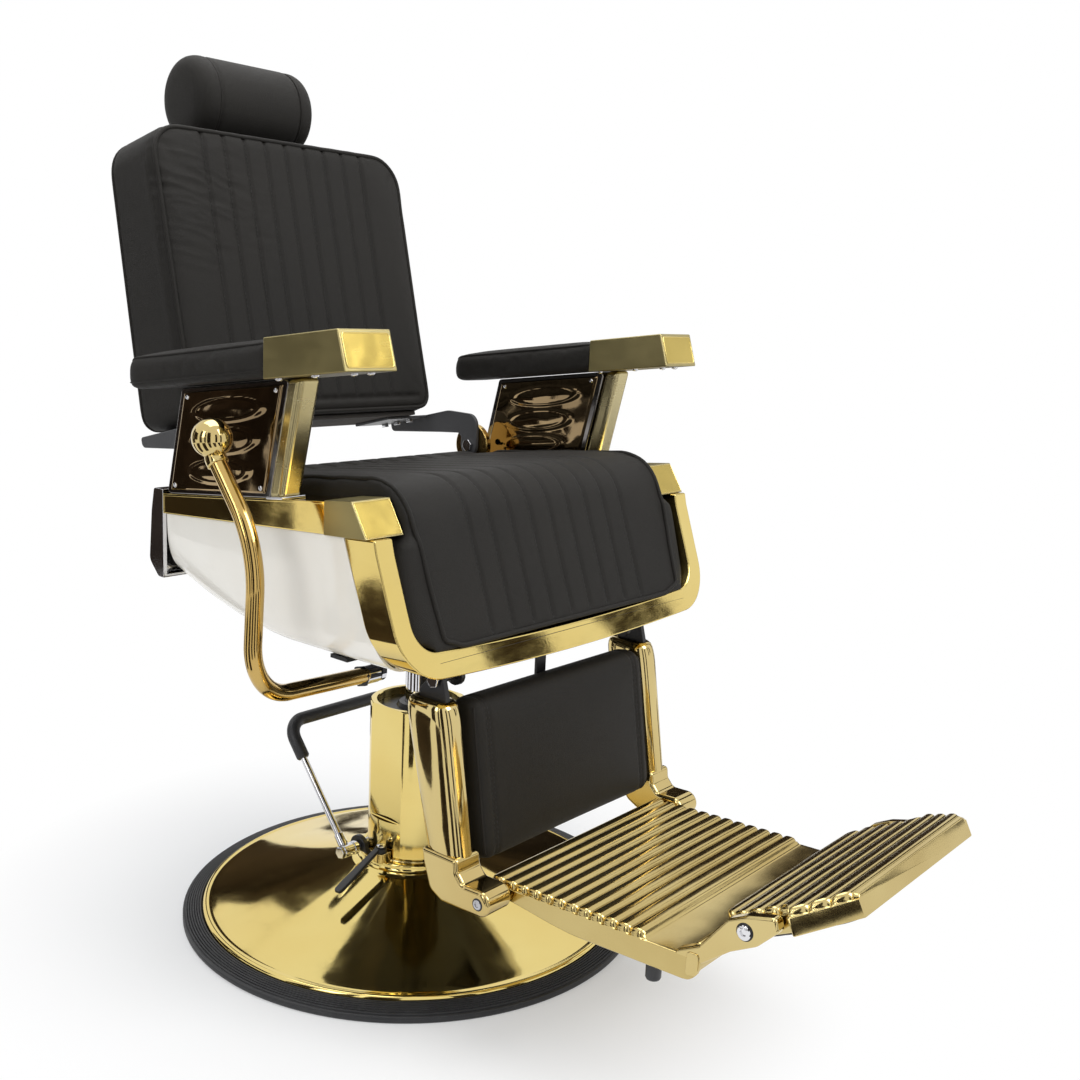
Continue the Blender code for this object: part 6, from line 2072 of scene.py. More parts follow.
@dataclass(frozen=True)
class HeadRest:
    """Headrest bolster with sewn end pieces on two polished posts."""

    at: BackLines = BackLines()
    width: float = 0.213
    round_end: float = 0.025
    radius: float = 0.0645
    depth: float = 0.0595
    y: float = 0.42
    z: float = 1.151
    post_x: float = 0.065
    post_r: float = 0.006
    post_depth: float = 0.17
    post_in: float = 0.076
    seam_in: float = 0.034

    def build(self, shop: Workshop, upholsterer: Upholsterer) -> None:
        """Build the bolster and its posts."""
        half = self.width / 2 - 0.0005
        turns = [radians(angle) for angle in (90, 76, 62, 48, 34, 20, 8, 0)]
        ends = [(half - self.round_end * (1 - sin(t)), 1 - self.round_end / self.depth * (1 - cos(t))) for t in turns]
        rings = []
        for x, size in [(-x, size) for x, size in ends] + ends[::-1]:
            ring = arc((0.0, 0.0), 1.0, 0.0, tau * 47 / 48, 47)
            rings.append([(x, self.y + y * (self.depth - 0.001) * size, self.z + z * (self.radius - 0.001) * size)
                          for y, z in ring])
        seam = half - self.seam_in

        def held(point: Vector) -> bool:
            """The end seams and the underside are held."""
            return abs(abs(point.x) - seam) < 0.003 or point.z < self.z - self.radius * 0.85

        stuffing = Stuffing(voxel=0.0045, pressure=4.0, slack=0.0, most=0.003, soften=5, bending=3.0)
        pillow = upholsterer.cushion("headrest_bolster", loft(rings), Body.HEADREST, ["headrest_pillow"], stuffing,
                                     held)

        def share(points: np.ndarray, normals: np.ndarray) -> np.ndarray:
            """The end seams run all the way round."""
            return np.ones(len(points))

        upholsterer.groove(pillow, [-seam, seam], 0.0022, 0.0034, share)
        for side in Side:
            path = [Vector((side.sign * (seam + 0.0008), self.y + self.depth * cos(a), self.z + self.radius * sin(a)))
                    for a in (tau * k / 96 for k in range(96))]
            laid = upholsterer.nearest(pillow, path, 0.0)
            cord = shop.piece("bolster_seam_" + side.label, tube(laid, 0.0013, 8, True), HIDE, Body.HEADREST,
                              sharp=NO_EDGE)
            low = self.at.point(side.sign * self.post_x, self.at.top - self.post_depth, self.post_in)
            high = low + self.at.lean * (self.post_depth + 0.04)
            shop.piece("post_polished_" + side.label, bar(low, high, self.post_r, 40), CHROME, Body.HEADREST,
                       ["headrest_post_" + side.label], sharp=BAR_EDGE)
            mouth = self.at.point(side.sign * self.post_x, self.at.top - 0.004, self.post_in)
            collar = tube([mouth, mouth + self.at.lean * 0.005, mouth + self.at.lean * 0.0062],
                          [0.0105, 0.0105, 0.0085], 40)
            shop.piece("post_collar_" + side.label, collar, RUBBER, Body.BACK, sharp=TUBE_EDGE)


@dataclass(frozen=True)
class ReclineLever:
    """Release lever of the recline: hub under the seat, cranked gold tube and ball."""

    x: float = -0.37
    radius: float = 0.0105
    ball_r: float = 0.0235
    pivot: Triple = (-0.13, -0.046, 0.387)
    knee: Pair = (-0.109, 0.596)
    ball: Pair = (-0.026, 0.711)

    def build(self, shop: Workshop) -> None:
        """Build the lever."""
        px, py, pz = self.pivot
        corners = [(px - 0.01, py, pz), (self.x, py - 0.052, pz + 0.028), (self.x, *self.knee),
                   (self.x, self.ball[0] - 0.006, self.ball[1] - self.ball_r * 0.93)]
        path = bent_path(corners, (0.078, 0.14), 32)
        shop.piece("lever_tube", tube(path, self.radius, 40), GOLD_TUBE, Body.RELEASE, ["recline_lever"],
                   sharp=TUBE_EDGE)
        shop.piece("lever_hub", bar((px - 0.02, py, pz), (px + 0.003, py, pz), 0.0125, 40, 0.0012), CHROME,
                   Body.RELEASE, sharp=BAR_EDGE)
        shop.piece("lever_hub_ring", bar((px - 0.0262, py, pz), (px - 0.0202, py, pz), 0.015, 6, 0.001), PAINT,
                   Body.RELEASE, sharp=HEX_EDGE)
        ring = [(self.ball_r * sin(pi * k / 40), self.ball[1] + self.ball_r * cos(pi * k / 40)) for k in range(41)]
        shop.piece("lever_ball_polished", turned(ring, 80, (self.x, self.ball[0])), GOLD_CAST, Body.RELEASE,
                   ["lever_ball"], sharp=NO_EDGE)
        end, before = path[-1], path[-2]
        ahead = (end - before).normalized()
        collar = tube([end - ahead * 0.01, end - ahead * 0.0085, end - ahead * 0.001, end + ahead * 0.004],
                      [0.011, 0.0128, 0.0128, 0.0116], 40)
        shop.piece("lever_ball_collar", collar, GOLD_CAST, Body.RELEASE, sharp=TUBE_EDGE)
        shop.finish_node(CHROME, "lever_bracket")


# ---------------------------------------------------------------- leg rest and foot plate


def socket_screw(x: float, away: float, spot: Point, stops: Sequence[Point]) -> Mesh:
    """A screw head that faces along x, with a hexagon socket.

    Args:
        x: Where it sits.
        away: 1 or -1, the way it faces.
        spot: Its centre in y and z.
        stops: Radius and height of its rings. The last two are the socket's.

    Returns:
        The head.
    """
    steps = 36
    rings = []
    for index, (radius, lift) in enumerate(stops):
        ring = []
        for step in range(steps):
            a = tau * step / steps
            hexagon = cos(pi / 6) / cos((a % (pi / 3)) - pi / 6)
            flat = hexagon if index >= len(stops) - 2 else 1.0
            ring.append((x + away * lift, spot[0] + radius * flat * cos(a), spot[1] + radius * flat * sin(a)))
        rings.append(ring)
    return loft(rings)


@dataclass(frozen=True)
class LegRest:
    """Cast legs with their hinge plates, calf pad, backing and the hinge rod of the foot plate."""

    x: float = 0.2
    width: float = 0.044
    hinge: Pair = (-0.232, 0.436)
    top_z: float = 0.402
    plate_t: float = 0.008
    pad_top: Pair = (-0.268, 0.414)
    pad_low: Pair = (-0.299, 0.212)
    pad_half: float = 0.174
    pad_t: float = 0.042
    foot: Pair = (-0.328, 0.19)
    boss_r: float = 0.016
    rod_r: float = 0.006
    seam_in: float = 0.024

    def build(self, shop: Workshop, upholsterer: Upholsterer) -> None:
        """Build the leg rest."""
        for side in Side:
            self._shaft(shop, side)
            self._toe(shop, side)
            self._plate(shop, side)
        self._pad(upholsterer)
        shop.finish_node(PAINT, "calf_backing")
        reach = self.x + self.width / 2 - 0.002
        shop.piece("foot_axle", bar((-reach, *self.foot), (reach, *self.foot), self.rod_r, 32), STEEL, Body.LEGS,
                   ["foot_hinge_rod"], sharp=BAR_EDGE)

    def _shaft(self, shop: Workshop, side: Side) -> None:
        """The upright part of one leg, of rounded oblong section with a domed top."""
        half = self.width / 2
        stations = [(0.204, 1.0), (0.216, 1.0), (0.25, 1.0), (0.29, 1.0), (0.33, 1.0), (0.36, 1.0), (0.384, 1.0),
                    (0.392, 0.99), (0.399, 0.965), (0.405, 0.92), (0.4095, 0.85), (0.412, 0.74)]
        rings = []
        for z, size in stations:
            t = (z - 0.215) / (self.top_z - 0.215)
            rear = -0.236 + 0.046 * t
            front = -0.293 + 0.031 * min(t, 1.0)
            centre, depth = (rear + front) / 2, (rear - front) / 2
            ring = []
            for step in range(72):
                a = tau * step / 72
                c, s = cos(a), sin(a)
                x = (half - 0.0035 * (1 - min(t, 1.0))) * size * copysign(abs(c) ** 0.74, c)
                y = depth * size * copysign(abs(s) ** 0.74, s)
                ring.append((side.sign * self.x + x, centre + y, z))
            rings.append(ring)
        leg = shop.piece("leg_cast_" + side.label, loft(rings), GOLD_CAST, Body.LEGS, ["leg_" + side.label],
                         sharp=PRESSED_EDGE, bevel=0.003)
        near = self.plate_t / 2 + GAP
        slot = [(-0.2503, self.top_z - 0.0303), (-0.2047, self.top_z - 0.0303), (-0.2047, self.top_z + 0.05),
                (-0.2503, self.top_z + 0.05)]
        shop.carve(leg, prism_x(slot, *side.span(self.x - near, self.x + near)))

    def _toe(self, shop: Workshop, side: Side) -> None:
        """The toe of one leg with its hinge boss and socket bolt."""
        y, z = self.foot
        half = self.width / 2
        outline = [(-0.233, 0.232), (-0.236, 0.215), (-0.248, 0.182), (-0.268, 0.172)]
        outline += arc((y, z), self.boss_r, -pi * 0.5, -pi * 1.5, 28)
        outline += [(-0.303, 0.205), (-0.293, 0.216), (-0.291, 0.232)]
        radii = [0.0, 0.02, 0.016, 0.016] + [0.0] * 29 + [0.01, 0.008, 0.0]
        span = side.span(self.x - half, self.x + half)
        shop.piece("leg_toe_" + side.label, prism_x(rounded(outline, radii, 8), *span), GOLD_CAST, Body.LEGS,
                   bevel=0.0055, segments=5, sharp=CAST_EDGE)
        away = side.sign
        base = away * (self.x + half)
        shop.piece("toe_socket_" + side.label, bar((base - away * 0.004, y, z), (base + away * 0.0003, y, z), 0.0078,
                                                   40, 0.0002), PAINT, Body.LEGS, sharp=BAR_EDGE)
        stops = ((0.0058, 0.0001), (0.006, 0.0004), (0.006, 0.0009), (0.0056, 0.0013), (0.0036, 0.0013),
                 (0.0035, 0.0004))
        shop.piece("toe_bolt_" + side.label, socket_screw(base, away, self.foot, stops), STEEL, Body.LEGS,
                   sharp=BAR_EDGE)

    def _plate(self, shop: Workshop, side: Side) -> None:
        """Black hinge plate on top of one leg."""
        near = side.span(self.x - self.plate_t / 2, self.x + self.plate_t / 2)
        outline = [(-0.205, self.top_z - 0.03), (-0.205, self.top_z + 0.018)]
        outline += arc(self.hinge, 0.012, 0.0, pi, 24)
        outline += [(-0.25, self.top_z + 0.012), (-0.25, self.top_z - 0.03)]
        shop.piece("leg_hinge_plate_" + side.label, prism_x(outline, *near), PAINT, Body.LEGS,
                   ["leg_plate_" + side.label], bevel=0.001)
        outer = side.sign * (self.x + self.plate_t / 2 + 0.0022)
        head = bar((outer, *self.hinge), (outer + side.sign * 0.004, *self.hinge), 0.0092, 6)
        shop.piece("leg_hinge_nut_" + side.label, head, CHROME, Body.SEAT, bevel=0.0006, sharp=HEX_EDGE)

    def _pad(self, upholsterer: Upholsterer) -> None:
        """Calf pad with a double seam near each side."""
        top, low = Vector(self.pad_top), Vector(self.pad_low)
        run = (low - top).normalized()
        back = Vector((-run.y, run.x))
        if back.x < 0:
            back = -back
        ins = 0.002
        rings = []
        half = self.pad_half - ins
        for x, shrink in ((-half, 0.01), (-half + 0.003, 0.004), (-half + 0.009, 0.0), (half - 0.009, 0.0),
                          (half - 0.003, 0.004), (half, 0.01)):
            corners = [top + back * (ins + shrink) + run * (shrink + ins), low + back * (ins + shrink)
                       - run * (shrink + ins), low + back * self.pad_t - run * (shrink + ins), top + back * self.pad_t
                       + run * (shrink + ins)]
            section = rounded(corners, [0.022, 0.014, 0.003, 0.003], 7)
            rings.append([(x, y, z) for y, z in section])
        seams = [sign * (self.pad_half - self.seam_in) for sign in (-1.0, 1.0)]

        def depth(point: Vector) -> float:
            """Distance behind the pad's front plane."""
            return (Vector((point.y, point.z)) - top).dot(back)

        def held(point: Vector) -> bool:
            """Seams and rear are held."""
            return depth(point) > self.pad_t - 0.006 or min(abs(point.x - s) for s in seams) < 0.003

        stuffing = Stuffing(voxel=0.005, pressure=4.5, slack=0.0, most=0.006, soften=5, bending=4.0)
        pad = upholsterer.cushion("calf_pad_sewn", loft(rings), Body.LEGS, ["calf_pad"], stuffing, held)

        def share(points: np.ndarray, normals: np.ndarray) -> np.ndarray:
            """The seams run over the front and round its edges."""
            inward = np.array((0.0, back.x, back.y))
            return ((normals @ inward) < 0.25).astype(float)

        places = [s + step for s in seams for step in (-0.0026, 0.0026)]
        upholsterer.groove(pad, places, 0.0016, 0.002, share)
        inward = Vector((0.0, back.x, back.y))
        lines = []
        for place in places:
            line = []
            for t in np.linspace(0.02, 0.97, 46):
                spot = top.lerp(low, float(t))
                found = upholsterer.ray(pad, Vector((place, *spot)) - inward * 0.05, inward)
                if found:
                    line.append(found[0] + found[1] * 0.0003)
            lines.append(line)
        upholsterer.stitches("calf_stitches", lines, Body.LEGS)
        for side in Side:
            x = side.sign * (self.pad_half - 0.003)
            corners = [top + back * 0.006, low + back * 0.006]
            path = [Vector((x, *corners[0].lerp(corners[1], t))) for t in np.linspace(0.05, 0.96, 44)]
            upholsterer.piping("calf_edge_" + side.label, pad, path, Body.LEGS, radius=0.0014)


@dataclass(frozen=True)
class Tread:
    """Places points along and above a ribbed tread."""

    slope: float
    start: Pair
    rise: float

    def __call__(self, x: float, along: float, height: float) -> Triple:
        """A point of the tread.

        Args:
            x: Place across it.
            along: Distance from the hinge, forwards.
            height: Height over the ribs' tops.

        Returns:
            The point.
        """
        y = self.start[0] - cos(self.slope) * along + sin(self.slope) * (height + self.rise)
        z = self.start[1] + sin(self.slope) * along + cos(self.slope) * (height + self.rise)
        return (x, y, z)


@dataclass(frozen=True)
class Ribs:
    """A run of broad rounded ribs with narrow grooves between them."""

    first: float
    last: float
    count: int
    height: float = 0.0045

    def crest(self, along: float) -> float:
        """Share of the full rib height at a place, from 0 in a groove to 1 on a rib."""
        if not self.first < along < self.last:
            return 0.0
        t = ((along - self.first) / (self.last - self.first) * self.count) % 1.0
        return 1.0 - abs(2 * t - 1) ** 3.6

    def stations(self, each: int = 16) -> list[float]:
        """Places at which the profile is sampled, closer together near the grooves."""
        made = []
        for index in range(self.count):
            for step in range(each):
                t = step / each
                bent = t - 0.085 * sin(tau * t)
                made.append(self.first + (self.last - self.first) * (index + bent) / self.count)
        return made + [self.last]


def tread_edge(half: float, height: float, crest: float, deep: float) -> list[Pair]:
    """Outer outline of a tread's cross-section: smooth skirts with the scalloped ends of the ribs above them.

    Args:
        half: Half width of the tread.
        height: Height of its face here.
        crest: 1 on a rib and 0 in a groove.
        deep: Depth of the skirts.

    Returns:
        Points in x and height, from the left skirt's foot over the face to the right one's.
    """
    ledge = max(-0.009, -deep + 0.002)
    inner = half - 0.0012 - 0.003 * (1 - crest)
    left = [(-half + 0.0012, -deep), (-half, -deep + 0.0012), (-half, ledge - 0.0006), (-half + 0.0005, ledge)]
    left += [(-inner + 0.0052 * (1 - cos(a)), ledge + (height - ledge) * sin(a))
             for a in np.linspace(0.1, pi / 2 - 0.1, 7)]
    xs = np.linspace(-(inner - 0.0056), inner - 0.0056, 9)
    return left + [(x, height) for x in xs] + [(-x, z) for x, z in reversed(left)]


@dataclass(frozen=True)
class FootPlate:
    """Ribbed foot plate with deep side skirts, hinge barrel, side arms and bumpers."""

    place: Tread = Tread(radians(2.8), (-0.328, 0.19), 0.014)
    half: float = 0.175
    length: float = 0.275
    wall: float = 0.005
    rib_start: float = -0.024
    rib_count: int = 12
    rib_pitch: float = 0.0187
    rib_h: float = 0.0045
    lip_h: float = 0.009
    skirt: float = 0.036
    skin: float = 0.006
    barrel_r: float = 0.009
    leg_inner: float = 0.178
    flap: Pair = (-0.652, 0.261)
    lug_t: float = 0.015
    pin_r: float = 0.005
    bumper: Triple = (0.152, 0.203, 0.15)
    bumper_r: float = 0.009

    def build(self, shop: Workshop) -> None:
        """Build the foot plate."""
        ribs = Ribs(self.rib_start, self.rib_start + self.rib_pitch * self.rib_count, self.rib_count, self.rib_h)
        recess = -self.rib_h - 0.004
        shop.piece("foot_plate_plated", self._tray(ribs, recess), GOLD_TREAD, Body.FOOT, ["foot_plate"],
                   sharp=TREAD_EDGE)
        barrel = self.leg_inner - 0.0015
        y, z = self.place.start
        shop.piece("foot_barrel", bar((-barrel, y, z), (barrel, y, z), self.barrel_r, 40, 0.001), GOLD_CAST,
                   Body.FOOT, sharp=BAR_EDGE)
        for side in Side:
            self._arm(shop, side)
            self._bumper(shop, side, recess)
        end = self.half - 0.001
        shop.piece("flap_axle", bar((-end, *self.flap), (end, *self.flap), self.pin_r, 32), STEEL, Body.FOOT,
                   ["flap_hinge_rod"], sharp=BAR_EDGE)

    def _tray(self, ribs: Ribs, recess: float) -> Mesh:
        """The pressed plate: ribs, smooth recess, raised front lip, skirts and the hollow below."""
        first, last = ribs.first, ribs.last
        stations = [(first - 0.0002, 0.0)] + [(a, ribs.crest(a)) for a in ribs.stations()]
        rows = []
        for along, crest in stations:
            rows.append((along, -self.rib_h * (1 - crest), crest))
        smooth = [(last + 0.001, -self.rib_h - 0.0012), (last + 0.003, recess + 0.0008), (last + 0.006, recess),
                  (self.length - 0.022, recess), (self.length - 0.0165, recess + 0.0004),
                  (self.length - 0.0135, recess + 0.003), (self.length - 0.0095, self.lip_h - 0.003),
                  (self.length - 0.0075, self.lip_h - 0.0006), (self.length - 0.0055, self.lip_h),
                  (self.length - 0.002, self.lip_h - 0.0002), (self.length - 0.0004, self.lip_h - 0.0014)]
        rows += [(along, height, 0.6) for along, height in smooth]
        rings = [self._slice(along, height, crest, ribs) for along, height, crest in rows]
        return loft(rings)

    def _slice(self, along: float, height: float, crest: float, ribs: Ribs) -> Ring:
        """One cross-section of the plate: top, rounded shoulders, skirts and the hollow."""
        deep = self._depth(along)
        drop = max(deep, 0.001)
        ring = []
        outer = tread_edge(self.half, height, crest if along < ribs.last else 1.0, drop)
        wall = self.wall
        ceiling = -self.rib_h - 0.004 - self.skin
        if self.length - along < self.wall:
            ceiling = min(ceiling, -drop)
        inner_low = min(-drop, ceiling)
        inner = [(self.half - wall, inner_low), (self.half - wall, ceiling), (-self.half + wall, ceiling),
                 (-self.half + wall, inner_low)]
        for x, z in outer + inner:
            ring.append(self.place(x, along, z))
        return ring

    def _depth(self, along: float) -> float:
        """Depth of the side skirt: shallow at the rear, full near the front, rounded up at the front corner."""
        t = min(max((along + 0.024) / 0.14, 0.0), 1.0)
        deep = 0.022 + (self.skirt - 0.022) * (t * t * (3 - 2 * t))
        near = self.length - along
        if near < 0.022:
            deep -= 0.026 * (1 - sqrt(max(0.0, 1 - ((0.022 - near) / 0.022) ** 2)))
        return deep

    def _arm(self, shop: Workshop, side: Side) -> None:
        """Side arm that carries the flap, with its pivot screw and knuckle."""
        slope = self.place.slope
        y0 = self.place.start[0] - self.length * cos(slope)
        z0 = self.place.start[1] + self.length * sin(slope)
        fy, fz = self.flap
        lug = [(y0 + 0.04, z0 - 0.012), (y0 + 0.018, z0 - 0.013), (fy + 0.016, fz - 0.029), (fy - 0.014, fz - 0.012),
               (fy - 0.038, fz + 0.013), (fy - 0.034, fz + 0.027), (fy, fz + 0.0175), (fy + 0.022, fz + 0.006),
               (y0 + 0.004, z0 + 0.022), (y0 + 0.03, z0 + 0.008)]
        radii = [0.006, 0.01, 0.014, 0.02, 0.006, 0.006, 0.02, 0.014, 0.01, 0.008]
        span = side.span(self.half - self.lug_t, self.half - 0.0003)
        shop.piece("flap_arm_" + side.label, prism_x(rounded(lug, radii, 8), *span), GOLD_CAST, Body.FOOT,
                   bevel=0.0032, segments=4, sharp=CAST_EDGE)
        away = side.sign
        base = away * (self.half - 0.0003)
        collar = bar((base - away * 0.001, fy, fz), (base + away * 0.001, fy, fz), 0.0098, 44, 0.0004)
        shop.piece("pivot_washer_" + side.label, collar, PAINT, Body.FOOT, sharp=BAR_EDGE)
        stops = ((0.008, 0.0008), (0.0082, 0.0012), (0.0082, 0.0024), (0.007, 0.0032), (0.0042, 0.0034),
                 (0.004, 0.0014))
        shop.piece("pivot_screw_" + side.label, socket_screw(base, away, self.flap, stops), CHROME, Body.FOOT,
                   sharp=BAR_EDGE)
        corner = [self.place(0.0, self.length - 0.016, -0.002), self.place(0.0, self.length - 0.001, -0.002),
                  self.place(0.0, self.length - 0.003, -0.026), self.place(0.0, self.length - 0.018, -0.03)]
        edge = sorted((away * (self.half - 0.004), away * (self.half + 0.0012)))
        shop.piece("corner_cheek_" + side.label, prism_x(rounded([(p[1], p[2]) for p in corner], 0.004, 5), *edge),
                   GOLD_CAST, Body.FOOT, bevel=0.0009)

    def _bumper(self, shop: Workshop, side: Side, recess: float) -> None:
        """Rubber bumper under the plate."""
        x, along, low = self.bumper
        top = self.place(side.sign * x, along, recess - self.skin - 0.0008)
        y = top[1]
        profile = [(0.0, low), (self.bumper_r - 0.0035, low), (self.bumper_r - 0.001, low + 0.0012),
                   (self.bumper_r, low + 0.0035), (self.bumper_r, top[2] - 0.01),
                   (self.bumper_r - 0.0012, top[2] - 0.006), (self.bumper_r - 0.0012, top[2]), (0.0, top[2])]
        shop.piece("bumper_moulded_" + side.label, turned(profile, 48, (top[0], y)), RUBBER, Body.FOOT,
                   ["foot_bumper_" + side.label], sharp=PRESSED_EDGE)


@dataclass(frozen=True)
class ToeFlap:
    """Ribbed end flap with tapered sides, deep front skirt and padded underside."""

    place: Tread = Tread(radians(27.0), (-0.652, 0.261), 0.016)
    back: float = 0.046
    front: float = 0.117
    skirt: float = 0.028
    pad_t: float = 0.016
    notch: float = 0.044
    tip_half: float = 0.137
    rear_half: float = 0.157
    half: float = 0.172
    rib_count: int = 8
    rib_h: float = 0.0045
    skin: float = 0.006
    wall: float = 0.005
    barrel_r: float = 0.01

    def build(self, shop: Workshop, upholsterer: Upholsterer) -> None:
        """Build the flap."""
        ribs = Ribs(-self.back + 0.001, self.front - 0.006, self.rib_count, self.rib_h)
        rows = [(-self.back, -self.rib_h - 0.001, 0.0)]
        rows += [(a, -self.rib_h * (1 - ribs.crest(a)), ribs.crest(a)) for a in ribs.stations()]
        rows += [(self.front - 0.0052, -self.rib_h * 0.6, 0.4), (self.front - 0.0048, -self.rib_h * 0.7, 0.4),
                 (self.front - 0.0015, -self.rib_h, 0.6), (self.front - 0.0004, -self.rib_h - 0.0008, 0.6),
                 (self.front, -self.rib_h - 0.002, 0.6)]
        rings = [self._slice(along, height, crest) for along, height, crest in rows]
        shop.piece("flap_plated", loft(rings), GOLD_TREAD, Body.FLAP, ["foot_flap"], sharp=TREAD_EDGE)
        barrel = self.rear_half - 0.001
        y, z = self.place.start
        shop.piece("flap_barrel", bar((-barrel, y, z), (barrel, y, z), self.barrel_r, 40, 0.001), GOLD_CAST,
                   Body.FLAP, sharp=BAR_EDGE)
        self._pad(upholsterer)

    def width(self, along: float) -> float:
        """Half width at a place along the flap."""
        if along < self.notch:
            t = max(0.0, 1 - (along + self.back) / 0.036)
            return self.rear_half - 0.036 * (1 - sqrt(1 - min(t, 0.995) ** 2))
        rise = min((along - self.notch) / 0.01, 1.0)
        wide = self.rear_half + (self.half - self.rear_half) * rise * rise * (3 - 2 * rise)
        taper = max(0.0, (along - self.notch - 0.01) / (self.front - self.notch - 0.01))
        return wide - (self.half - self.tip_half) * taper

    def _slice(self, along: float, height: float, crest: float) -> Ring:
        """One cross-section of the flap."""
        half = self.width(along)
        deep = self.skirt
        near = along + self.back
        if near < 0.03:
            deep = 0.012 + (self.skirt - 0.012) * sin(pi / 2 * near / 0.03)
        outer = tread_edge(half, height, crest, deep)
        ceiling = -self.rib_h - self.skin if self.front - along > self.wall else -deep
        low = min(-deep, ceiling)
        inner = [(half - self.wall, low), (half - self.wall, ceiling), (-half + self.wall, ceiling),
                 (-half + self.wall, low)]
        return [self.place(x, along, z) for x, z in outer + inner]

    def _pad(self, upholsterer: Upholsterer) -> None:
        """Padded underside, which shows as a black rim below the skirt."""
        inset = self.wall + GAP * 2
        rear, tip = self.rear_half - inset, self.tip_half - inset
        corners = [(-rear, -self.back + inset + 0.002), (rear, -self.back + inset + 0.002),
                   (rear, self.notch + inset), (tip, self.front - inset), (-tip, self.front - inset),
                   (-rear, self.notch + inset)]
        ceiling = -self.rib_h - self.skin - GAP
        floor = -self.skirt - self.pad_t * 0.25
        rings = []
        for height, shrink in ((ceiling, 0.0), (floor + 0.006, 0.0), (floor + 0.002, 0.0018), (floor, 0.006)):
            scale_x, scale_a = 1 - shrink / rear, 1 - shrink / 0.08
            middle = (self.front - self.back) / 2
            rings.append([self.place(x * scale_x, middle + (a - middle) * scale_a, height)
                          for x, a in rounded(corners, 0.012, 5)])

        def held(point: Vector) -> bool:
            """Everything but the outer face is glued down."""
            away = Vector((point.y, point.z)) - Vector(self.place.start)
            up = Vector((sin(self.place.slope), cos(self.place.slope)))
            return away.dot(up) - self.place.rise > floor + 0.004

        stuffing = Stuffing(voxel=0.0046, pressure=3.0, slack=0.01, most=0.003, frames=8, soften=2)
        upholsterer.cushion("flap_pad_sewn", loft(rings), Body.FLAP, ["flap_pad"], stuffing, held)


# ---------------------------------------------------------------- studio


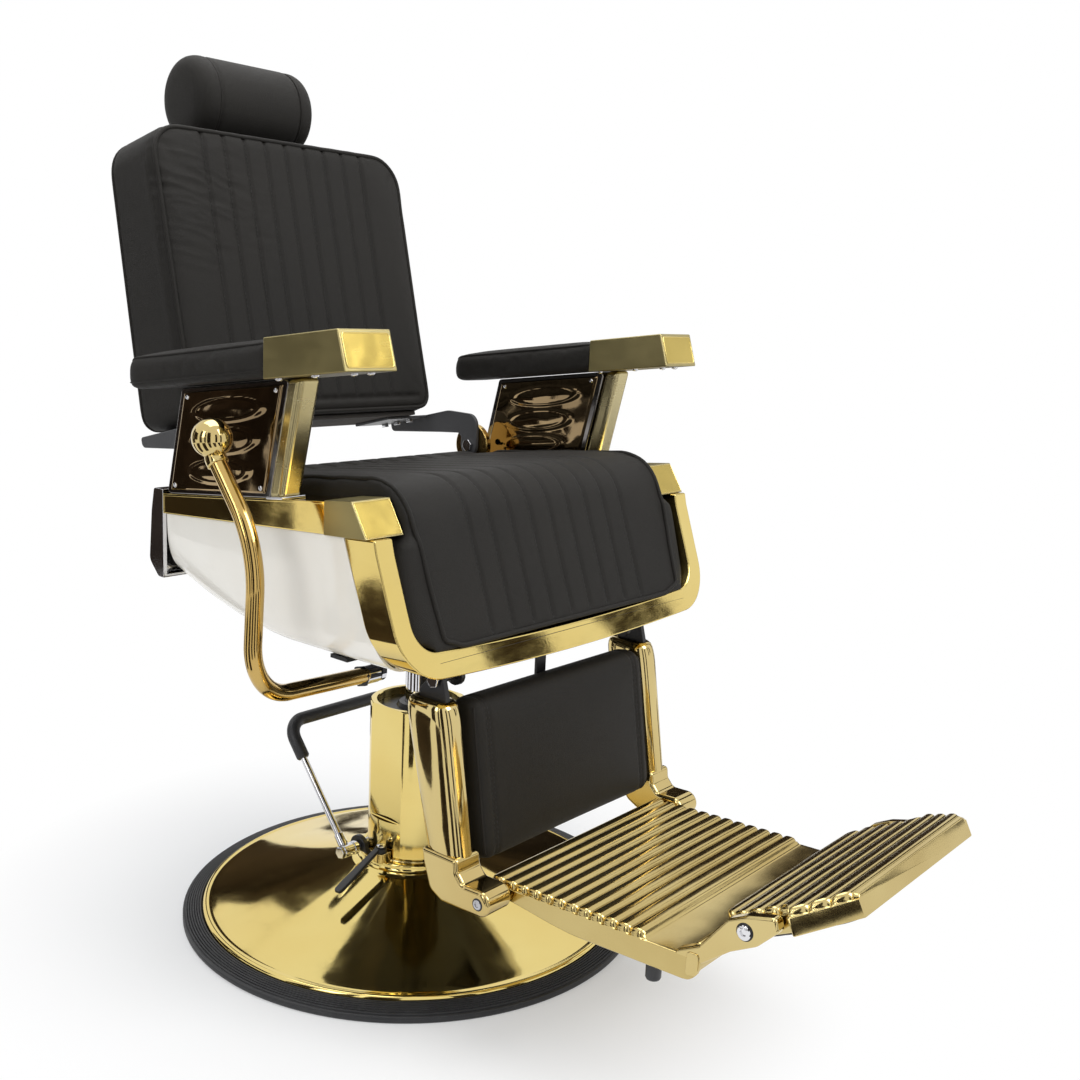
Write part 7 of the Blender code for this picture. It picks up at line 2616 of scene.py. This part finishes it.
@dataclass(frozen=True)
class Studio:
    """Camera, pale room, floor and lamps."""

    azimuth: float = radians(-50.4)
    elevation: float = radians(10.82)
    roll: float = radians(2.61)
    place: Triple = (-1.2214, -1.2243, 0.8811)
    focal_share: float = 1245.2 / 1080.0
    sensor: float = 36.0
    floor_half: float = 14.0
    lit_room: tuple[float, ...] = (0.93, 0.96, 1.0, 1.0)
    seen_room: tuple[float, ...] = (1.0, 1.0, 1.0, 1.0)
    room_light: float = 0.5
    aim: Triple = (0.0, -0.1, 0.55)
    rug_level: float = 0.003

    def build(self) -> None:
        """Set up the room."""
        scene = bpy.context.scene
        scene.view_settings.view_transform = "Standard"
        self._camera(scene)
        self._world(scene)
        self._floor()
        self._lamps()
        self._cards()

    def _camera(self, scene: bpy.types.Scene) -> None:
        """Place the camera where the picture was taken from."""
        a, e, r = self.azimuth, self.elevation, self.roll
        back = Vector((sin(a) * cos(e), -cos(a) * cos(e), sin(e)))
        right = Vector((cos(a), sin(a), 0.0))
        up = back.cross(right)
        turned_right = right * cos(r) + up * sin(r)
        turned_up = up * cos(r) - right * sin(r)
        data = bpy.data.cameras.new("camera")
        data.sensor_width = self.sensor
        data.lens = self.focal_share * self.sensor
        data.clip_start = 0.05
        camera = placed("camera", data)
        matrix = Matrix((turned_right, turned_up, back)).transposed().to_4x4()
        matrix.translation = Vector(self.place)
        camera.matrix_world = matrix
        scene.camera = camera

    def _world(self, scene: bpy.types.Scene) -> None:
        """A white room for the eye and for metal, a softer one for the light on surfaces."""
        world = bpy.data.worlds.new("room")
        world.use_nodes = True
        scene.world = world
        nodes, links = world.node_tree.nodes, world.node_tree.links
        nodes.clear()
        path = nodes.new("ShaderNodeLightPath")
        seen = path.outputs["Is Camera Ray"]
        for ray in ("Is Glossy Ray", "Is Transmission Ray"):
            either = nodes.new("ShaderNodeMath")
            either.operation = "MAXIMUM"
            links.new(seen, either.inputs[0])
            links.new(path.outputs[ray], either.inputs[1])
            seen = either.outputs[0]
        mix = nodes.new("ShaderNodeMixShader")
        links.new(seen, mix.inputs[0])
        for entry, colour, strength in ((1, self.lit_room, self.room_light), (2, self.seen_room, 1.0)):
            light = nodes.new("ShaderNodeBackground")
            light.inputs["Color"].default_value = colour
            light.inputs["Strength"].default_value = strength
            links.new(light.outputs[0], mix.inputs[entry])
        links.new(mix.outputs[0], nodes.new("ShaderNodeOutputWorld").inputs["Surface"])

    def _floor(self) -> None:
        """A pale floor that keeps the object's shadow and melts into the white room."""
        data = bpy.data.meshes.new("floor")
        size = self.floor_half
        data.from_pydata([(-size, -size, 0), (size, -size, 0), (size, size, 0), (-size, size, 0)], [], [(0, 1, 2, 3)])
        floor = placed("floor", data)
        graph = Graph("pale_floor")
        haze = graph.noise(0.8, 2.0)
        graph.feed(Base_Color=graph.blend(haze, (0.94, 0.94, 0.94), (0.96, 0.96, 0.96)), Roughness=0.8)
        graph.shader.inputs["Specular IOR Level"].default_value = 0.1
        away = graph.node("ShaderNodeVectorMath", {"operation": "LENGTH"}, {0: graph.position()}, "Value")
        sight = graph.node("ShaderNodeLightPath", output="Is Camera Ray")
        for ray in ("Is Glossy Ray", "Is Transmission Ray"):
            sight = sight.at_least(graph.node("ShaderNodeLightPath", output=ray))
        glow = graph.node("ShaderNodeEmission", None, {"Color": (1.0, 1.0, 1.0), "Strength": 1.0})
        share = (away.ramp(0.36, 0.66) * 0.65 + 0.35) * sight
        mixed = graph.node("ShaderNodeMixShader", None, {0: share, 1: Wire(graph, graph.shader.outputs[0]), 2: glow})
        graph.tree.links.new(mixed.socket, graph.tree.nodes["Material Output"].inputs["Surface"])
        data.materials.append(graph.material)

    def _lamps(self) -> None:
        """Three broad lamps: key from the front right of the picture, fill from the left and one above."""
        for name, place, size, power in (("key", (0.9, -2.6, 2.9), 1.8, 62.0), ("fill", (-3.0, -0.2, 1.9), 1.6, 26.0),
                                         ("overhead", (0.1, 0.4, 3.2), 2.2, 42.0)):
            data = bpy.data.lights.new(name, "AREA")
            data.energy = power
            data.size = size
            lamp = placed(name, data)
            lamp.location = place
            lamp.rotation_euler = (Vector(self.aim) - Vector(place)).to_track_quat("-Z", "Y").to_euler()

    def _cards(self) -> None:
        """Dark cards round the set that only metal sees, as a shop's furniture and doors would show in it."""
        graph = Graph("dark_card")
        shade = graph.noise(1.3, 3.0, 0.6)
        graph.feed(Base_Color=graph.blend(shade.ramp(0.3, 0.7), (0.01, 0.008, 0.007), (0.06, 0.045, 0.035)),
                   Roughness=0.9)
        graph.shader.inputs["Specular IOR Level"].default_value = 0.0
        stands = ((-58.0, 2.3, 0.7, 0.0, 2.2), (-20.0, 2.6, 0.5, 0.0, 1.9), (6.0, 2.5, 0.4, 0.0, 1.6),
                  (219.0, 2.45, 0.56, 0.0, 0.47), (41.0, 2.5, 0.2, 0.62, 1.5), (50.0, 2.5, 0.14, 0.62, 1.5),
                  (76.0, 2.4, 0.4, 0.0, 2.3), (112.0, 2.5, 1.2, 0.0, 1.6), (158.0, 2.4, 0.5, 0.0, 2.1),
                  (206.0, 2.5, 0.6, 0.0, 1.6), (229.0, 2.45, 1.25, 0.45, 1.5), (262.0, 2.4, 0.55, 0.0, 2.3),
                  (284.0, 2.5, 0.35, 0.0, 2.4))
        for turn, away, wide, low, high in stands:
            corners = ((1, low), (-1, low), (-1, high), (1, high))
            self._card(graph, [self._polar(turn, away, side * wide / 2, level) for side, level in corners])
        rugs = ((-118.0, 0.75, 2.2, 0.42), (-84.0, 0.7, 2.2, 0.34), (-58.0, 0.95, 2.2, 0.28), (-33.0, 0.95, 2.2, 0.3),
                (-6.0, 1.05, 2.3, 0.32), (22.0, 1.05, 2.3, 0.22), (62.0, 1.1, 2.3, 0.16), (100.0, 0.75, 2.2, 0.4),
                (150.0, 0.75, 2.2, 0.4), (205.0, 0.75, 2.2, 0.3))
        for turn, near, far, wide in rugs:
            corners = ((near, wide * 0.3), (near, -wide * 0.3), (far, -wide), (far, wide))
            self._card(graph, [self._polar(turn, away, side, self.rug_level) for away, side in corners])

    @staticmethod
    def _polar(turn: float, away: float, side: float, level: float) -> Triple:
        """A point by its direction in degrees, its distance, its step sideways and its height."""
        a = radians(turn)
        return (sin(a) * away + cos(a) * side, -cos(a) * away + sin(a) * side, level)

    @staticmethod
    def _card(graph: Graph, corners: Sequence[Point]) -> None:
        """Stand or lay one dark card where only polished metal shows it."""
        data = bpy.data.meshes.new("card")
        data.from_pydata(corners, [], [(0, 1, 2, 3)])
        card = placed("card", data)
        data.materials.append(graph.material)
        card.visible_camera = False
        card.visible_diffuse = False
        card.visible_shadow = False
        card.visible_transmission = False


def main() -> None:
    """Dress the chair's frame and set up the studio."""
    logging.basicConfig(level=logging.INFO, format="%(message)s")
    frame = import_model()
    shop = Workshop(frame)
    upholsterer = Upholsterer(shop)
    Studio().build()
    steps: Sequence[tuple[str, Callable[[], None]]] = (
        ("pedestal", lambda: BasePedestal().build(shop)),
        ("pump pedal", lambda: PumpPedal().build(shop)),
        ("swivel lock", lambda: SwivelLock().build(shop)),
        ("ram", lambda: Ram().build(shop)),
        ("seat body", lambda: SeatBody().build(shop)),
        ("seat cushion", lambda: SeatCushion().build(upholsterer)),
        ("arm rests", lambda: ArmRests().build(shop, upholsterer)),
        ("hinge plates", lambda: HingePlates().build(shop)),
        ("back", lambda: BackRest().build(shop, upholsterer)),
        ("headrest", lambda: HeadRest().build(shop, upholsterer)),
        ("recline lever", lambda: ReclineLever().build(shop)),
        ("leg rest", lambda: LegRest().build(shop, upholsterer)),
        ("foot plate", lambda: FootPlate().build(shop)),
        ("toe flap", lambda: ToeFlap().build(shop, upholsterer)),
    )
    for name, build in steps:
        before = shop.count
        build()
        LOG.info("%s: %d pieces", name, shop.count - before)


if __name__ == "__main__":
    main()
